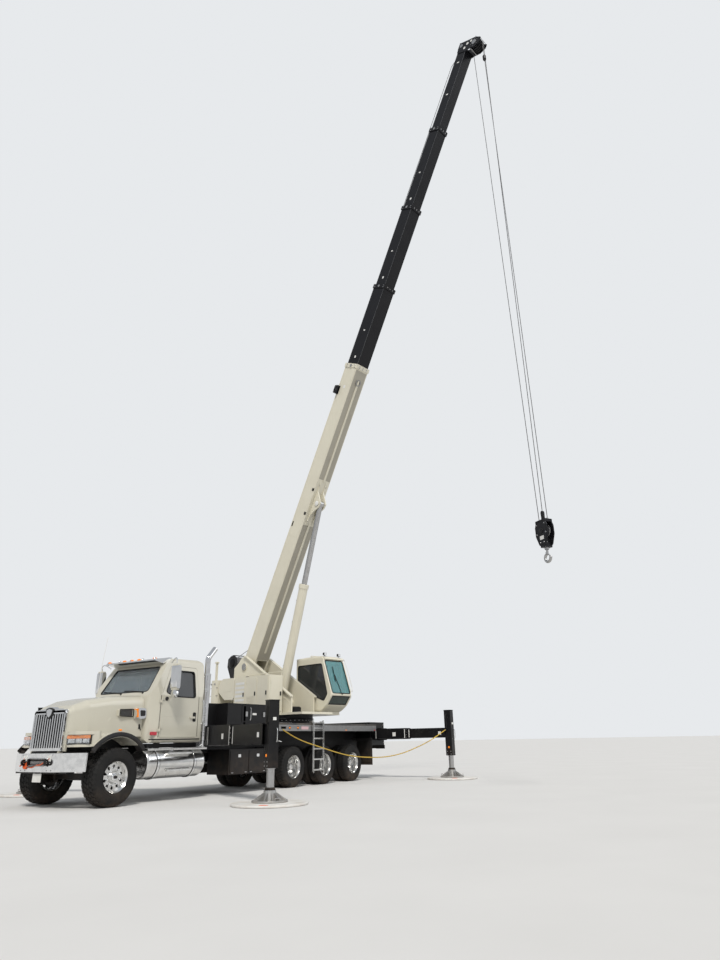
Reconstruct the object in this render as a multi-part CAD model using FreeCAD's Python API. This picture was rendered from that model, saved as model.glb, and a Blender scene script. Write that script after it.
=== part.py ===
"""A swing-cab telescopic boom truck crane, in millimetres.

The carrier is drawn with the front axle at x = 0, +x to the front, +y to the left and the road at z = 0.
The superstructure is drawn in its own frame, with +x along the boom and the slewing axis at x = y = 0,
and is then turned and moved onto the carrier. The boom is drawn level, with its foot pin at the origin.
At the end everything is moved so that the origin is the middle of the whole crane, at road level.
"""
import FreeCAD
import Part
import os
from math import atan2, cos, degrees, hypot, pi, radians, sin, tan

V = FreeCAD.Vector
X_AXIS, Y_AXIS, Z_AXIS = V(1, 0, 0), V(0, 1, 0), V(0, 0, 1)

# Clearances
RUN_GAP = 0.3            # between a shaft and its bore
SLIDE_GAP = 0.5          # between a telescoping piece and the collar that guides it
PANEL_GAP = 6.0          # round doors and lids
DOOR_HINGE_R = 14.0      # the hinge knuckles stand this much off the panel, and 2 mm more
ARC_SHARE = 0.45         # how much of a run the arc at its end may take
MAX_BEND = 50000.0       # a bend may be as wide as its runs allow, up to this

# Carrier: wheels and axles
HALF_WIDTH = 1270.0
REAR_AXLES_X = (-6000.0, -7520.0, -9040.0)
FRONT_TYRE_R, FRONT_TYRE_W, FRONT_TYRE_Y = 562.0, 420.0, HALF_WIDTH - 230.0
TWIN_SPACING = 340.0
REAR_TYRE_R, REAR_TYRE_W = 525.0, 280.0
REAR_TYRE_Y = (HALF_WIDTH - 170.0 - TWIN_SPACING, HALF_WIDTH - 170.0)
RIM_R, RIM_WALL, RIM_SHARE = 286.0, 14.0, 0.86      # the rim's width is this share of the tyre's
FRONT_DISC_OUT, FRONT_HUB_IN, FRONT_HUB_OUT = 90.0, 140.0, 175.0     # from the tyre's middle
REAR_HUB_IN, REAR_HUB_OUT = 120.0, 10.0             # past the inner and the outer tyre's middle
HAND_HOLES, HAND_HOLE_R, HAND_HOLE_RING = 10, 28.0, 200.0
HUB_R, SPINDLE_R, SPINDLE_SHORT = 112.0, 42.0, 45.0
KINGPIN_IN, KINGPIN_R, KNUCKLE_BOSS_R = 280.0, 25.0, 55.0
KINGPIN_Y = FRONT_TYRE_Y - KINGPIN_IN
AXLE_TUBE_R, BOWL_R, SADDLE_HALF, LEAF_HALF = 95.0, 215.0, 90.0, 620.0

# Carrier: frame
RAIL_Y, RAIL_W, RAIL_WALL = 430.0, 80.0, 12.0
RAIL_Z0, RAIL_Z1 = 810.0, 1070.0
RAIL_FRONT, RAIL_REAR = 880.0, -11440.0
SUBFRAME_Y, SUBFRAME_TOP, SUBFRAME_WALL = 450.0, 1600.0, 25.0
SUBFRAME_FRONT, SUBFRAME_REAR = -4900.0, -10480.0
TOW_BORE_R, TOW_LUG_R, TOW_LUG_T = 26.0, 60.0, 30.0
TOW_FRONT_Y, TOW_FRONT_REACH, TOW_REAR_REACH = 380.0, 170.0, 130.0

# Carrier: truck cab
CAB_FRONT, CAB_REAR, CAB_FLOOR = -900.0, -2570.0, 1200.0
CAB_HALF, CAB_ROOF_HALF, CAB_BELT_Z = 1070.0, 935.0, 2230.0
SCREEN_TOP_X, SCREEN_TOP_Z, ROOF_Z = -1370.0, 2950.0, 3110.0
CAB_WALL, CAB_CORNER_R, CAB_TAPER, CAB_TAPER_L = 55.0, 110.0, 120.0, 230.0
WINDOW_R = 60.0
DOOR_FRONT, DOOR_REAR, DOOR_FOOT, DOOR_TOP = -1185.0, -2340.0, 1310.0, 2900.0
DOOR_HINGE_Z, DRIVER_Y = (1500.0, 2120.0), 480.0

# Carrier: hood, grille and bumper
HOOD_FRONT, HOOD_NOSE_Z, HOOD_FOOT, HOOD_WALL = 800.0, 1890.0, 1350.0, 30.0
HOOD_SECTIONS = (           # place along the truck, half width, top, corner radius
    (HOOD_FRONT, 560.0, HOOD_NOSE_Z, 110.0),
    (710.0, 590.0, 1970.0, 150.0),
    (400.0, 665.0, 2090.0, 190.0),
    (-100.0, 745.0, 2170.0, 200.0),
    (CAB_FRONT + PANEL_GAP, 830.0, 2220.0, 200.0),
)
HOOD_HINGE = (862.0, 1052.0)
ARCH_R, FLARE_T, FENDER_Y = 764.0, 90.0, (700.0, HALF_WIDTH - 30.0)
GRILLE_HALF, GRILLE_Z0, GRILLE_Z1, GRILLE_T, GRILLE_BARS = 520.0, 1085.0, 1860.0, 56.0, 12
BUMPER_FRONT, BUMPER_Z0, BUMPER_Z1, BUMPER_T, BUMPER_HALF = 1010.0, 690.0, 1040.0, 60.0, HALF_WIDTH - 120.0
BUMPER_FLAT, BUMPER_REAR_X, BUMPER_EDGE_R = 560.0, (740.0, 660.0), 70.0
LAMP_Z0, LAMP_Z1 = 1200.0, 1380.0

# Carrier: tanks, stack and deck
TANK_R, TANK_Y, TANK_Z, TANK_X = 312.0, HALF_WIDTH - 340.0, 775.0, (-2535.0, -800.0)
STRAP_T, STRAP_HALF, STRAPS_X, TANK_EDGE_R = 8.0, 30.0, (-1100.0, -2200.0), 55.0
STACK_X, STACK_Y, STACK_R, STACK_TOP = CAB_REAR - 115.0, CAB_HALF - 105.0, 68.0, 3090.0
GUARD_R, GUARD_Z = 95.0, (1250.0, 2800.0)
DECK_FRONT, DECK_REAR, DECK_T = -4880.0, -10460.0, 60.0
TRIM_T, TRIM_Z0 = 30.0, 1450.0
TRIM_FRONT, TRIM_SLOT_X, TRIM_SLOT_Z = -5240.0, (-5560.0, -5340.0), (60.0, 115.0)
LADDER_X, LADDER_HALF, LADDER_FOOT, LADDER_PITCH, LADDER_OFF = -7030.0, 250.0, 330.0, 280.0, 20.0
TAIL_BAR_Z, TAIL_LAMP_Y = (900.0, 980.0, 1010.0), (640.0, 980.0)
FLAP_X, FLAP_Y, FLAP_Z = -10230.0, (HALF_WIDTH - 630.0, HALF_WIDTH - 30.0), (420.0, 1200.0)
BOX_X, BOX_Z = (-4840.0, -3380.0), (440.0, 1020.0)

# Outriggers: housing, outer stage and inner stage are box beams, one in the other
FRONT_SPLAY = radians(25)
FRONT_JACK = (-1620.0, 3970.0)
REAR_JACK_LEFT, REAR_JACK_RIGHT = (-10800.0, 3800.0), (-11200.0, 3800.0)
HOUSING_Y = 1000.0
STOWED_Y = 1150.0                       # the jack's middle when the beams are in
FRONT_BEAM = (400.0, 470.0)             # width and height of the front outer stage
REAR_BEAM = (300.0, 340.0)
STAGE_STEP = 22.0                       # room between two stages, each side, with the wall
STAGE_WALL = 12.0
FRONT_BEAM_Z = (1335.0, 1855.0)         # left and right: the two housings cross one over the other
REAR_BEAM_Z = 1355.0
JACK_SIDE, JACK_TOPS, JACK_FOOT = 220.0, (2010.0, 2150.0, 2040.0), 680.0
JACK_ROD_R, FLOAT_R, FLOAT_TOP = 80.0, 370.0, 330.0
JACK_LIFT = 330.0
PAD_R, PAD_T = 785.0, 50.0
REAR_BOX_X, REAR_BOX_TOP, REAR_SKIRT_FOOT = -11430.0, 1740.0, 1010.0

# Rope that sags from the deck trim's slot to the rear left outrigger
ROPE_R, ROPE_END = 14.0, (-10600.0, 3753.0, 1436.0)
ROPE_ROUTE = (
    (-5385.3, 1262.0, 1503.0), (-5577.0, 1354.0, 1377.0), (-5824.0, 1472.0, 1245.0), (-6073.0, 1591.0, 1144.0),
    (-6325.0, 1711.0, 1067.0), (-6616.0, 1850.0, 970.0), (-6912.0, 1991.0, 880.0), (-7212.0, 2134.0, 796.0),
    (-7516.0, 2280.0, 741.0), (-7827.0, 2428.0, 712.0), (-8143.0, 2579.0, 696.0), (-8465.0, 2733.0, 700.0),
    (-8795.0, 2890.0, 738.0), (-9133.0, 3052.0, 806.0), (-9481.0, 3218.0, 921.0), (-9748.0, 3346.0, 1014.0),
    (-10020.0, 3476.0, 1126.0), (-10300.0, 3609.0, 1268.0), (-10491.0, 3701.0, 1376.0),
    (-10645.0, 3774.0, 1461.0),
)

# Superstructure, in its own frame
SLEW_X, SLEW_ANGLE = -7350.0, radians(78)
RING_R, RING_BORE_R, RING_Z0, RING_Z1 = 720.0, 520.0, 1660.0, 1925.0
BASE_Z0, BASE_T = RING_Z1 + RUN_GAP, 60.0
BASE_TOP = BASE_Z0 + BASE_T
CHEEK_Y, CHEEK_T = 425.0, 50.0
PIN_X, PIN_Z, PIN_R = -1790.0, 3500.0, 70.0
LUFF_REST, LUFF_LOW, LUFF_HIGH = radians(61.85), radians(0), radians(80)
TAIL_X, CHEEK_REAR_X = -2720.0, -2360.0
WEIGHT_HALF, WEIGHT_Z0, WEIGHT_Z1, WEIGHT_R = 1150.0, 2360.0, 3090.0, 120.0
POST_X, POST_Y, POST_TOP = -2530.0, 1060.0, 3660.0
CABINET = (-1450.0, 320.0, -1100.0, -560.0)
OPCAB_Y, OPCAB_WALL, OPCAB_CORNER_R = (560.0, 1460.0), 45.0, 75.0
OPCAB_FOOT, OPCAB_ROOF, OPCAB_REAR, OPCAB_NOSE = BASE_TOP + 30, 3700.0, -400.0, 1300.0
OPCAB_LOW_SCREEN_Z, OPCAB_SCREEN_Z = (2230.0, 2470.0), (2540.0, 3560.0)
WINCH_X, WINCH_Z, DRUM_R, DRUM_HALF = TAIL_X, 3720.0, 150.0, 280.0
FLANGE_R, FLANGE_T, WINCH_CHEEK_T, MOTOR_R, MOTOR_L = 250.0, 22.0, 40.0, 105.0, 198.0

# Boom: widths and heights of the five sections, from the base outwards
SECTIONS = ((530.0, 600.0), (484.0, 540.0), (438.0, 480.0), (394.0, 428.0), (350.0, 376.0))
SECTION_WALL = 10.0
BASE_TAIL, BASE_HEAD = -300.0, 10780.0
STROKE_REST, STROKE_STACKED, STROKE_FULL = 2877.0, 170.0, 7000.0
SECTION_LENGTHS = (10400.0, 10300.0, 10200.0, 10150.0)
TIP_EXTRA = 120.0                       # the last section stands out this much further
COLLAR_L, COLLAR_T = 140.0, 22.0
AXIS_ABOVE_PIN = 110.0
SHEAVE_R, SHEAVE_DROP, SHEAVE_AHEAD, SHEAVE_Y = 210.0, 464.0, 10.0, (-70.0, 0.0, 70.0)
GROOVE_DEPTH, SHEAVE_HALF_T = 16.0, 26.0
HEAD_PLATE_T = 16.0

# Lift cylinder
CYL_FOOT = (-450.0, 2350.0)
CYL_EYE_ALONG, CYL_EYE_DROP = 5920.0, 395.0
BARREL_R, BARREL_BORE_R, BARREL_L, ROD_R, ROD_L = 145.0, 110.0, 3700.0, 88.0, 4150.0
CYL_EYE_R, CYL_EYE_HALF, CYL_PIN_R = 105.0, 95.0, 45.0
FOOT_PIN_HALF = 364.5

# Hook block, hung by three falls
FALL_R, FALLS_AHEAD, BLOCK_SHEAVE_R, BLOCK_TURN = 9.0, 231.0, 150.0, radians(-21.4)
BLOCK_TOP, BLOCK_FOOT, BLOCK_HALF_W, BLOCK_T = 6060.0, 5380.0, 210.0, 220.0
HOOK_FOOT, HOOK_R, HOOK_WIRE = 5000.0, 95.0, 34.0


def box(x0, x1, y0, y1, z0, z1):
    """A box between two corners given in any order."""
    x, y, z = sorted((x0, x1)), sorted((y0, y1)), sorted((z0, z1))
    return Part.makeBox(x[1] - x[0], y[1] - y[0], z[1] - z[0], V(x[0], y[0], z[0]))


def rod(a, b, r):
    """A round bar from point a to point b."""
    a, b = V(*a), V(*b)
    return Part.makeCylinder(r, (b - a).Length, a, b - a)


def tube(a, b, r, bore):
    return rod(a, b, r).cut(rod(a, b, bore))


def smooth_wire(points, largest, closed):
    """Straight runs joined by tangent arcs, and the arcs' radii: as large as the runs allow, up to largest."""
    n = len(points)
    stops, radii = [], []
    for i, corner in enumerate(points):
        if not closed and i in (0, n - 1):
            stops.append((corner,))
            continue
        back, ahead = points[i - 1] - corner, points[(i + 1) % n] - corner
        half = (pi - back.getAngle(ahead)) / 2
        radius = min(largest, ARC_SHARE * min(back.Length, ahead.Length) / tan(half))
        back.normalize()
        ahead.normalize()
        inward = (back + ahead).normalize()
        cut = radius * tan(half)
        crest = corner + inward * (radius / cos(half) - radius)
        stops.append((corner + back * cut, crest, corner + ahead * cut))
        radii.append(radius)
    edges = []
    for i, stop in enumerate(stops):
        if len(stop) == 3:
            edges.append(Part.Arc(*stop).toShape())
        if closed or i + 1 < n:
            edges.append(Part.LineSegment(stop[-1], stops[(i + 1) % n][0]).toShape())
    return Part.Wire(edges), radii


def swept(points, r, largest):
    """A round tube or rope of radius r along a route, and the radii of its bends."""
    path, radii = smooth_wire([V(*p) for p in points], largest, False)
    start, after = V(*points[0]), V(*points[1])
    ring = Part.Wire(Part.makeCircle(r, start, after - start))
    return path.makePipeShell([ring], True, True), radii


def face(corners, r):
    """A flat face whose corners are rounded by r, or by less where a side is short."""
    if not r:
        return Part.Face(Part.makePolygon(corners + corners[:1]))
    return Part.Face(smooth_wire(corners, r, True)[0])


def plate_xz(points, y0, y1, r=0.0):
    """A flat plate with its outline in x and z, between two values of y; r rounds its corners."""
    return face([V(x, min(y0, y1), z) for x, z in points], r).extrude(V(0, abs(y1 - y0), 0))


def plate_yz(points, x0, x1, r=0.0):
    return face([V(min(x0, x1), y, z) for y, z in points], r).extrude(V(abs(x1 - x0), 0, 0))


def plate_xy(points, z0, z1, r=0.0):
    return face([V(x, y, z0) for x, y in points], r).extrude(V(0, 0, z1 - z0))


def turned(points, centre):
    """A ring body round a line along y through centre, from an outline in radius and y."""
    corners = [V(centre[0] + r, y, centre[1]) for r, y in points]
    section = Part.Face(Part.makePolygon(corners + corners[:1]))
    return section.revolve(V(centre[0], 0, centre[1]), Y_AXIS, 360)


def fuse(*shapes):
    """One solid from shapes that overlap or share faces."""
    first = shapes[0].fuse(list(shapes[1:])) if len(shapes) > 1 else shapes[0]
    return first.removeSplitter()


def separate(*shapes):
    return Part.Compound(list(shapes))


def mirrored(shape):
    """The same piece on the right side."""
    return shape.mirror(V(0, 0, 0), Y_AXIS)


def both_sides(shape):
    return separate(shape, mirrored(shape))


def hinge_knuckles(x, y, heights, leaf_x, way, drop):
    """Upright hinge knuckles at (x, y) with a leaf back onto the panel; drop sets one half under the other."""
    pieces = []
    for z in heights:
        z0 = z - drop * (60 + RUN_GAP)
        pieces.append(rod((x, y, z0), (x, y, z0 + 60), DOOR_HINGE_R))
        pieces.append(box(x, leaf_x, y, y - way * (DOOR_HINGE_R + 4), z0, z0 + 60))
    return pieces


def box_tube(x0, x1, half_y, z0, z1, wall):
    outer = box(x0, x1, -half_y, half_y, z0, z1)
    return outer.cut(box(x0 - 1, x1 + 1, wall - half_y, half_y - wall, z0 + wall, z1 - wall))


# Wheels and what carries them

def tyre_outline(r, w, y):
    """Half the tyre's section, from bead to tread and back, as radius and y."""
    h = w / 2
    return [(RIM_R, y - RIM_SHARE * h), (RIM_R + 60, y - h), (0.93 * r, y - 0.98 * h), (r, y - 0.78 * h),
            (r, y + 0.78 * h), (0.93 * r, y + 0.98 * h), (RIM_R + 60, y + h), (RIM_R, y + RIM_SHARE * h)]


def rim(centre, y0, y1, disc_y, hub_in, hub_out):
    """Barrel, disc with ten holes and hub of one wheel, from y0 to y1."""
    x, z = centre
    barrel = tube((x, y0, z), (x, y1, z), RIM_R, RIM_R - RIM_WALL)
    disc = rod((x, disc_y - RIM_WALL, z), (x, disc_y, z), RIM_R - RIM_WALL / 2)
    hub = rod((x, hub_in, z), (x, hub_out, z), HUB_R)
    body = barrel.fuse([disc, hub])
    holes = []
    for i in range(HAND_HOLES):
        a = 2 * pi * i / HAND_HOLES
        cx, cz = x + HAND_HOLE_RING * cos(a), z + HAND_HOLE_RING * sin(a)
        holes.append(rod((cx, disc_y - 3 * RIM_WALL, cz), (cx, disc_y + 2 * RIM_WALL, cz), HAND_HOLE_R))
    holes.append(rod((x, hub_in - 1, z), (x, hub_out - 40, z), SPINDLE_R + RUN_GAP))
    return body.cut(holes)


def front_wheel():
    centre = (0, FRONT_TYRE_R)
    tyre = turned(tyre_outline(FRONT_TYRE_R, FRONT_TYRE_W, FRONT_TYRE_Y), centre)
    y, half = FRONT_TYRE_Y, RIM_SHARE * FRONT_TYRE_W / 2
    return fuse(tyre, rim(centre, y - half, y + half, y + FRONT_DISC_OUT, y - FRONT_HUB_IN, y + FRONT_HUB_OUT))


def rear_wheel(x):
    centre = (x, REAR_TYRE_R)
    inner, outer = REAR_TYRE_Y
    half = RIM_SHARE * REAR_TYRE_W / 2
    tyres = [turned(tyre_outline(REAR_TYRE_R, REAR_TYRE_W, y), centre) for y in REAR_TYRE_Y]
    rims = rim(centre, inner - half, outer + half, (inner + outer) / 2,
               inner - REAR_HUB_IN, outer + REAR_HUB_OUT)
    return fuse(rims, *tyres)


def front_axle():
    z = FRONT_TYRE_R
    beam = box(-45, 45, -KINGPIN_Y, KINGPIN_Y, z - 60, z + 60)
    parts = [beam]
    for side in (-1, 1):
        y = side * KINGPIN_Y
        parts.append(rod((0, y, z - 80), (0, y, z + 80), KNUCKLE_BOSS_R))
        spring_y = side * (RAIL_Y - RAIL_W / 2)
        parts.append(box(-90, 90, spring_y - 45, spring_y + 45, z + 60, z + 110))
        leaf = [(-640, RAIL_Z0), (-560, RAIL_Z0), (-260, z + 165), (260, z + 165), (560, RAIL_Z0),
                (640, RAIL_Z0), (300, z + 110), (-300, z + 110)]
        parts.append(plate_xz(leaf, spring_y - 38, spring_y + 38))
    body = fuse(*parts)
    return body.cut([rod((0, s * KINGPIN_Y, z - 90), (0, s * KINGPIN_Y, z + 90), KINGPIN_R + RUN_GAP)
                     for s in (-1, 1)])


def knuckle():
    """Left steering knuckle: two arms over the kingpin, a web and the spindle."""
    z, y = FRONT_TYRE_R, KINGPIN_Y
    arm_top = box(-40, 40, y - 45, y + 120, z + 85, z + 125)
    arm_low = box(-40, 40, y - 45, y + 120, z - 125, z - 85)
    web = box(-40, 40, y + 70, y + 120, z - 125, z + 125)
    kingpin = rod((0, y, z - 125), (0, y, z + 125), KINGPIN_R)
    spindle = rod((0, y + 100, z), (0, FRONT_TYRE_Y + FRONT_HUB_OUT - SPINDLE_SHORT, z), SPINDLE_R)
    return fuse(arm_top, arm_low, web, kingpin, spindle)


def axles():
    """The steered front axle and three driven ones with differentials, saddles and spindles."""
    pieces = [front_axle()]
    for x in REAR_AXLES_X:
        z = REAR_TYRE_R
        tube_end = REAR_TYRE_Y[0] - REAR_HUB_IN - 40
        spindle_end = REAR_TYRE_Y[1] + REAR_HUB_OUT - SPINDLE_SHORT - 5
        housing = rod((x, -tube_end, z), (x, tube_end, z), AXLE_TUBE_R)
        spindle = rod((x, -spindle_end, z), (x, spindle_end, z), SPINDLE_R)
        bowl = Part.makeSphere(BOWL_R, V(x, 0, z))
        saddles = [box(x - SADDLE_HALF, x + SADDLE_HALF, s * (RAIL_Y - RAIL_W), s * RAIL_Y, z, RAIL_Z0)
                   for s in (-1, 1)]
        leaves = [box(x - LEAF_HALF, x + LEAF_HALF, s * (RAIL_Y - RAIL_W), s * RAIL_Y,
                      RAIL_Z0 - 70, RAIL_Z0 - 10) for s in (-1, 1)]
        pieces.append(fuse(housing, spindle, bowl, *saddles, *leaves))
    return separate(*pieces)


# Frame, engine and deck

def chassis_frame():
    rails = []
    for side in (-1, 1):
        y0, y1 = side * (RAIL_Y - RAIL_W), side * RAIL_Y
        web_y = side * (RAIL_Y - RAIL_WALL)
        outer = box(RAIL_REAR, RAIL_FRONT, y0, y1, RAIL_Z0, RAIL_Z1)
        hollow = box(RAIL_REAR - 1, RAIL_FRONT + 1, y0 - side, web_y, RAIL_Z0 + RAIL_WALL, RAIL_Z1 - RAIL_WALL)
        rails.append(outer.cut(hollow))
    inside = RAIL_Y - RAIL_WALL
    cross = [box(x - 60, x + 60, -inside, inside, RAIL_Z0, RAIL_Z0 + 70)
             for x in (740, 330, -560, -1700, -3000, -4700, -6760, -8280, -10200, -11380)]
    ends = [box(x - 20, x + 20, -inside, inside, RAIL_Z0, RAIL_Z1) for x in (RAIL_FRONT - 20, RAIL_REAR + 30)]
    mounts = [box(x - 70, x + 70, s * (RAIL_Y - RAIL_W), s * RAIL_Y, RAIL_Z1, CAB_FLOOR)
              for x in (CAB_FRONT - 150, CAB_REAR + 120) for s in (-1, 1)]
    tank_side = TANK_Y - TANK_R - STRAP_T - RUN_GAP
    brackets = [box(x - 40, x + 40, s * RAIL_Y, s * tank_side, TANK_Z - 30, TANK_Z + 120)
                for x in STRAPS_X for s in (-1, 1)]
    hinge = [box(790, HOOD_HINGE[0] + 18, s * 380, s * 430, 1000, HOOD_HINGE[1] + 14) for s in (-1, 1)]
    lugs = [tow_lug(RAIL_FRONT, TOW_FRONT_REACH, s * TOW_FRONT_Y) for s in (-1, 1)]
    lugs.append(tow_lug(RAIL_REAR, -TOW_REAR_REACH, 0))
    subframe = box_tube(SUBFRAME_REAR, SUBFRAME_FRONT, SUBFRAME_Y, RAIL_Z1, SUBFRAME_TOP, SUBFRAME_WALL)
    body = fuse(*rails, *cross, *ends, *mounts, *brackets, *hinge, *lugs, subframe)
    pin = rod((HOOD_HINGE[0], -440, HOOD_HINGE[1]), (HOOD_HINGE[0], 440, HOOD_HINGE[1]), 12 + RUN_GAP)
    return body.cut(pin)


def tow_lug(x, reach, y):
    """A towing eye with its bore along y, standing off the frame's end by reach."""
    z = RAIL_Z0 + 60
    root = x - 20 if reach > 0 else x + 20
    plate = box(root, x + reach, y - TOW_LUG_T / 2, y + TOW_LUG_T / 2, z - TOW_LUG_R, z + TOW_LUG_R)
    eye = rod((x + reach, y - TOW_LUG_T / 2, z), (x + reach, y + TOW_LUG_T / 2, z), TOW_LUG_R)
    bore = rod((x + reach, y - TOW_LUG_T, z), (x + reach, y + TOW_LUG_T, z), TOW_BORE_R)
    return plate.fuse(eye).cut(bore)


def engine_block():
    """One plain mass for engine and gearbox, with the radiator in front of it."""
    block = box(-760, 560, -330, 330, RAIL_Z0 + 70, 1700)
    radiator = box(640, 720, -450, 450, RAIL_Z1, 1790)
    shroud = box(560, 640, -300, 300, 1150, 1650)
    return fuse(block, shroud, radiator)


def deck():
    """Deck plate on bearers, with the trim strip that closes each side."""
    z1 = SUBFRAME_TOP + DECK_T
    plate = box(DECK_REAR, DECK_FRONT, -HALF_WIDTH, HALF_WIDTH, SUBFRAME_TOP, z1)
    bearers = [box(x - 30, x + 30, s * SUBFRAME_Y, s * (HALF_WIDTH - TRIM_T), SUBFRAME_TOP - 90, SUBFRAME_TOP)
               for x in (-5200, -6760, -8280, -9800, -10400) for s in (-1, 1)]
    return fuse(plate, *bearers, *deck_trim())


def deck_trim():
    strip = box(DECK_REAR + 10, TRIM_FRONT, HALF_WIDTH - TRIM_T, HALF_WIDTH, TRIM_Z0, SUBFRAME_TOP)
    slot = box(*TRIM_SLOT_X, HALF_WIDTH - TRIM_T - 1, HALF_WIDTH + 1, *(TRIM_Z0 + z for z in TRIM_SLOT_Z))
    left = strip.cut(slot)
    return [left, mirrored(left)]


def ladder():
    """Ladder hooked over the deck's left edge."""
    y0, y1 = HALF_WIDTH + LADDER_OFF, HALF_WIDTH + LADDER_OFF + 60
    top = SUBFRAME_TOP + DECK_T + 30
    rails = [box(LADDER_X + s * LADDER_HALF - 14, LADDER_X + s * LADDER_HALF + 14, y0, y1, LADDER_FOOT, top)
             for s in (-1, 1)]
    steps = [box(LADDER_X - LADDER_HALF, LADDER_X + LADDER_HALF, y0 + 5, y1 - 5, z, z + 28)
             for z in range(int(LADDER_FOOT) + 60, int(SUBFRAME_TOP) - 60, int(LADDER_PITCH))]
    hook = box(LADDER_X - LADDER_HALF, LADDER_X + LADDER_HALF, HALF_WIDTH - 220, y1, top - 30, top)
    return fuse(*rails, *steps, hook)


def flaps_and_tail_lamps():
    """Mudflaps on their arms, and a bar across the tail with a lamp box at each end."""
    flap = box(FLAP_X, FLAP_X + 20, *FLAP_Y, *FLAP_Z)
    arm = box(FLAP_X, FLAP_X + 40, SUBFRAME_Y, FLAP_Y[1], FLAP_Z[1], FLAP_Z[1] + 40)
    flaps = fuse(flap, arm)
    x, half = RAIL_REAR, TAIL_LAMP_Y[1] + 20
    z0, z1, z2 = TAIL_BAR_Z
    bar = [box(x - 40, x, s * half, s * (TOW_LUG_R + 60), z0, z1) for s in (-1, 1)]
    stay = box(x - 40, x, -half, half, z1, z2)
    lamps = [box(x - 75, x - 40, s * TAIL_LAMP_Y[0], s * TAIL_LAMP_Y[1], z0 - 10, z1 + 20) for s in (-1, 1)]
    return separate(flaps, mirrored(flaps), fuse(*bar, stay, *lamps))


# Truck cab, hood and front end

def cab_form(inset):
    """The cab's outer form, drawn in by inset on every side."""
    side = [(CAB_FRONT - inset, CAB_FLOOR + inset), (CAB_FRONT - inset, CAB_BELT_Z - 10),
            (SCREEN_TOP_X - inset, SCREEN_TOP_Z - inset * 0.3), (SCREEN_TOP_X - 150, ROOF_Z - 30 - inset),
            (CAB_REAR + 130, ROOF_Z - inset), (CAB_REAR + inset, ROOF_Z - 80 - inset),
            (CAB_REAR + inset, CAB_FLOOR + inset)]
    half, roof = CAB_HALF - inset, CAB_ROOF_HALF - inset
    front = [(-half, CAB_FLOOR), (half, CAB_FLOOR), (half, CAB_BELT_Z), (roof, ROOF_Z - 60 - inset),
             (roof - 80, ROOF_Z + 5), (80 - roof, ROOF_Z + 5), (-roof, ROOF_Z - 60 - inset),
             (-half, CAB_BELT_Z)]
    taper = half - CAB_TAPER
    corner = CAB_FRONT - CAB_TAPER_L
    plan = [(CAB_REAR + inset, -half), (CAB_REAR + inset, half), (corner, half),
            (CAB_FRONT - inset, taper), (CAB_FRONT - inset, -taper), (corner, -half)]
    r = CAB_CORNER_R - inset
    return plate_xz(side, -CAB_HALF, CAB_HALF, r).common(
        [plate_yz(front, CAB_REAR, CAB_FRONT, r)]).common([plate_xy(plan, CAB_FLOOR, ROOF_Z + 10, r)])


def cab_shell():
    return cab_form(0).cut(cab_form(CAB_WALL))


def door_outline(grow):
    lean = (DOOR_TOP - CAB_BELT_Z) * 0.46
    return [(DOOR_FRONT + grow, DOOR_FOOT - grow), (DOOR_FRONT + grow, CAB_BELT_Z),
            (DOOR_FRONT - lean + grow, DOOR_TOP + grow), (DOOR_REAR - grow, DOOR_TOP + grow),
            (DOOR_REAR - grow, DOOR_FOOT - grow)]


def truck_cab():
    """Hollow cab with its windows and door openings cut, dashboard, wheel and two seats inside."""
    shell = cab_shell()
    doorway = plate_xz(door_outline(PANEL_GAP), CAB_HALF - 370, CAB_HALF + 10, WINDOW_R + PANEL_GAP)
    low, high = CAB_HALF - 230, CAB_HALF - 290
    screen = plate_yz([(-low, 2300), (low, 2300), (high, 2880), (-high, 2880)], CAB_FRONT + 10, -1600, WINDOW_R)
    rear_window = plate_yz([(-600, 2350), (600, 2350), (600, 2850), (-600, 2850)],
                           CAB_REAR - 10, CAB_REAR + 200, WINDOW_R)
    shell = shell.cut([doorway, mirrored(doorway), screen, rear_window])
    floor = CAB_FLOOR + CAB_WALL
    dash_half = CAB_HALF - 2 * CAB_WALL
    dash = plate_xz([(-960, floor), (-960, 2210), (-1180, 2180), (-1290, 2020), (-1150, 1700), (-1150, floor)],
                    -dash_half, dash_half)
    seats = [seat(-1800, y, floor) for y in (-DRIVER_Y, DRIVER_Y)]
    hub = V(-1430, DRIVER_Y, 2118)
    column = rod((-1200, DRIVER_Y, 1950), (-1420, DRIVER_Y, 2110), 28)
    wheel = Part.makeTorus(200, 18, hub, V(-220, 0, 160))
    spoke = box(-12, 12, -200, 200, -12, 12)
    spoke.Placement = FreeCAD.Placement(hub, FreeCAD.Rotation(Y_AXIS, -36))
    hinges = []
    for side in (-1, 1):
        y = side * (CAB_HALF + DOOR_HINGE_R + 2)
        hinges += hinge_knuckles(DOOR_FRONT, y, DOOR_HINGE_Z, DOOR_FRONT + 70, side, 1)
    return fuse(shell, dash, *seats, column, wheel, spoke, *hinges)


def seat(x, y, floor):
    base = box(x - 240, x + 220, y - 190, y + 190, floor, floor + 300)
    cushion = box(x - 270, x + 260, y - 240, y + 240, floor + 300, floor + 430)
    back = plate_xz([(x - 270, floor + 380), (x - 140, floor + 430), (x - 230, floor + 1080),
                     (x - 340, floor + 1060)], y - 230, y + 230)
    rest = plate_xz([(x - 250, floor + 1060), (x - 250, floor + 1270), (x - 340, floor + 1270),
                     (x - 330, floor + 1050)], y - 120, y + 120)
    return fuse(base, cushion, back, rest)


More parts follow.
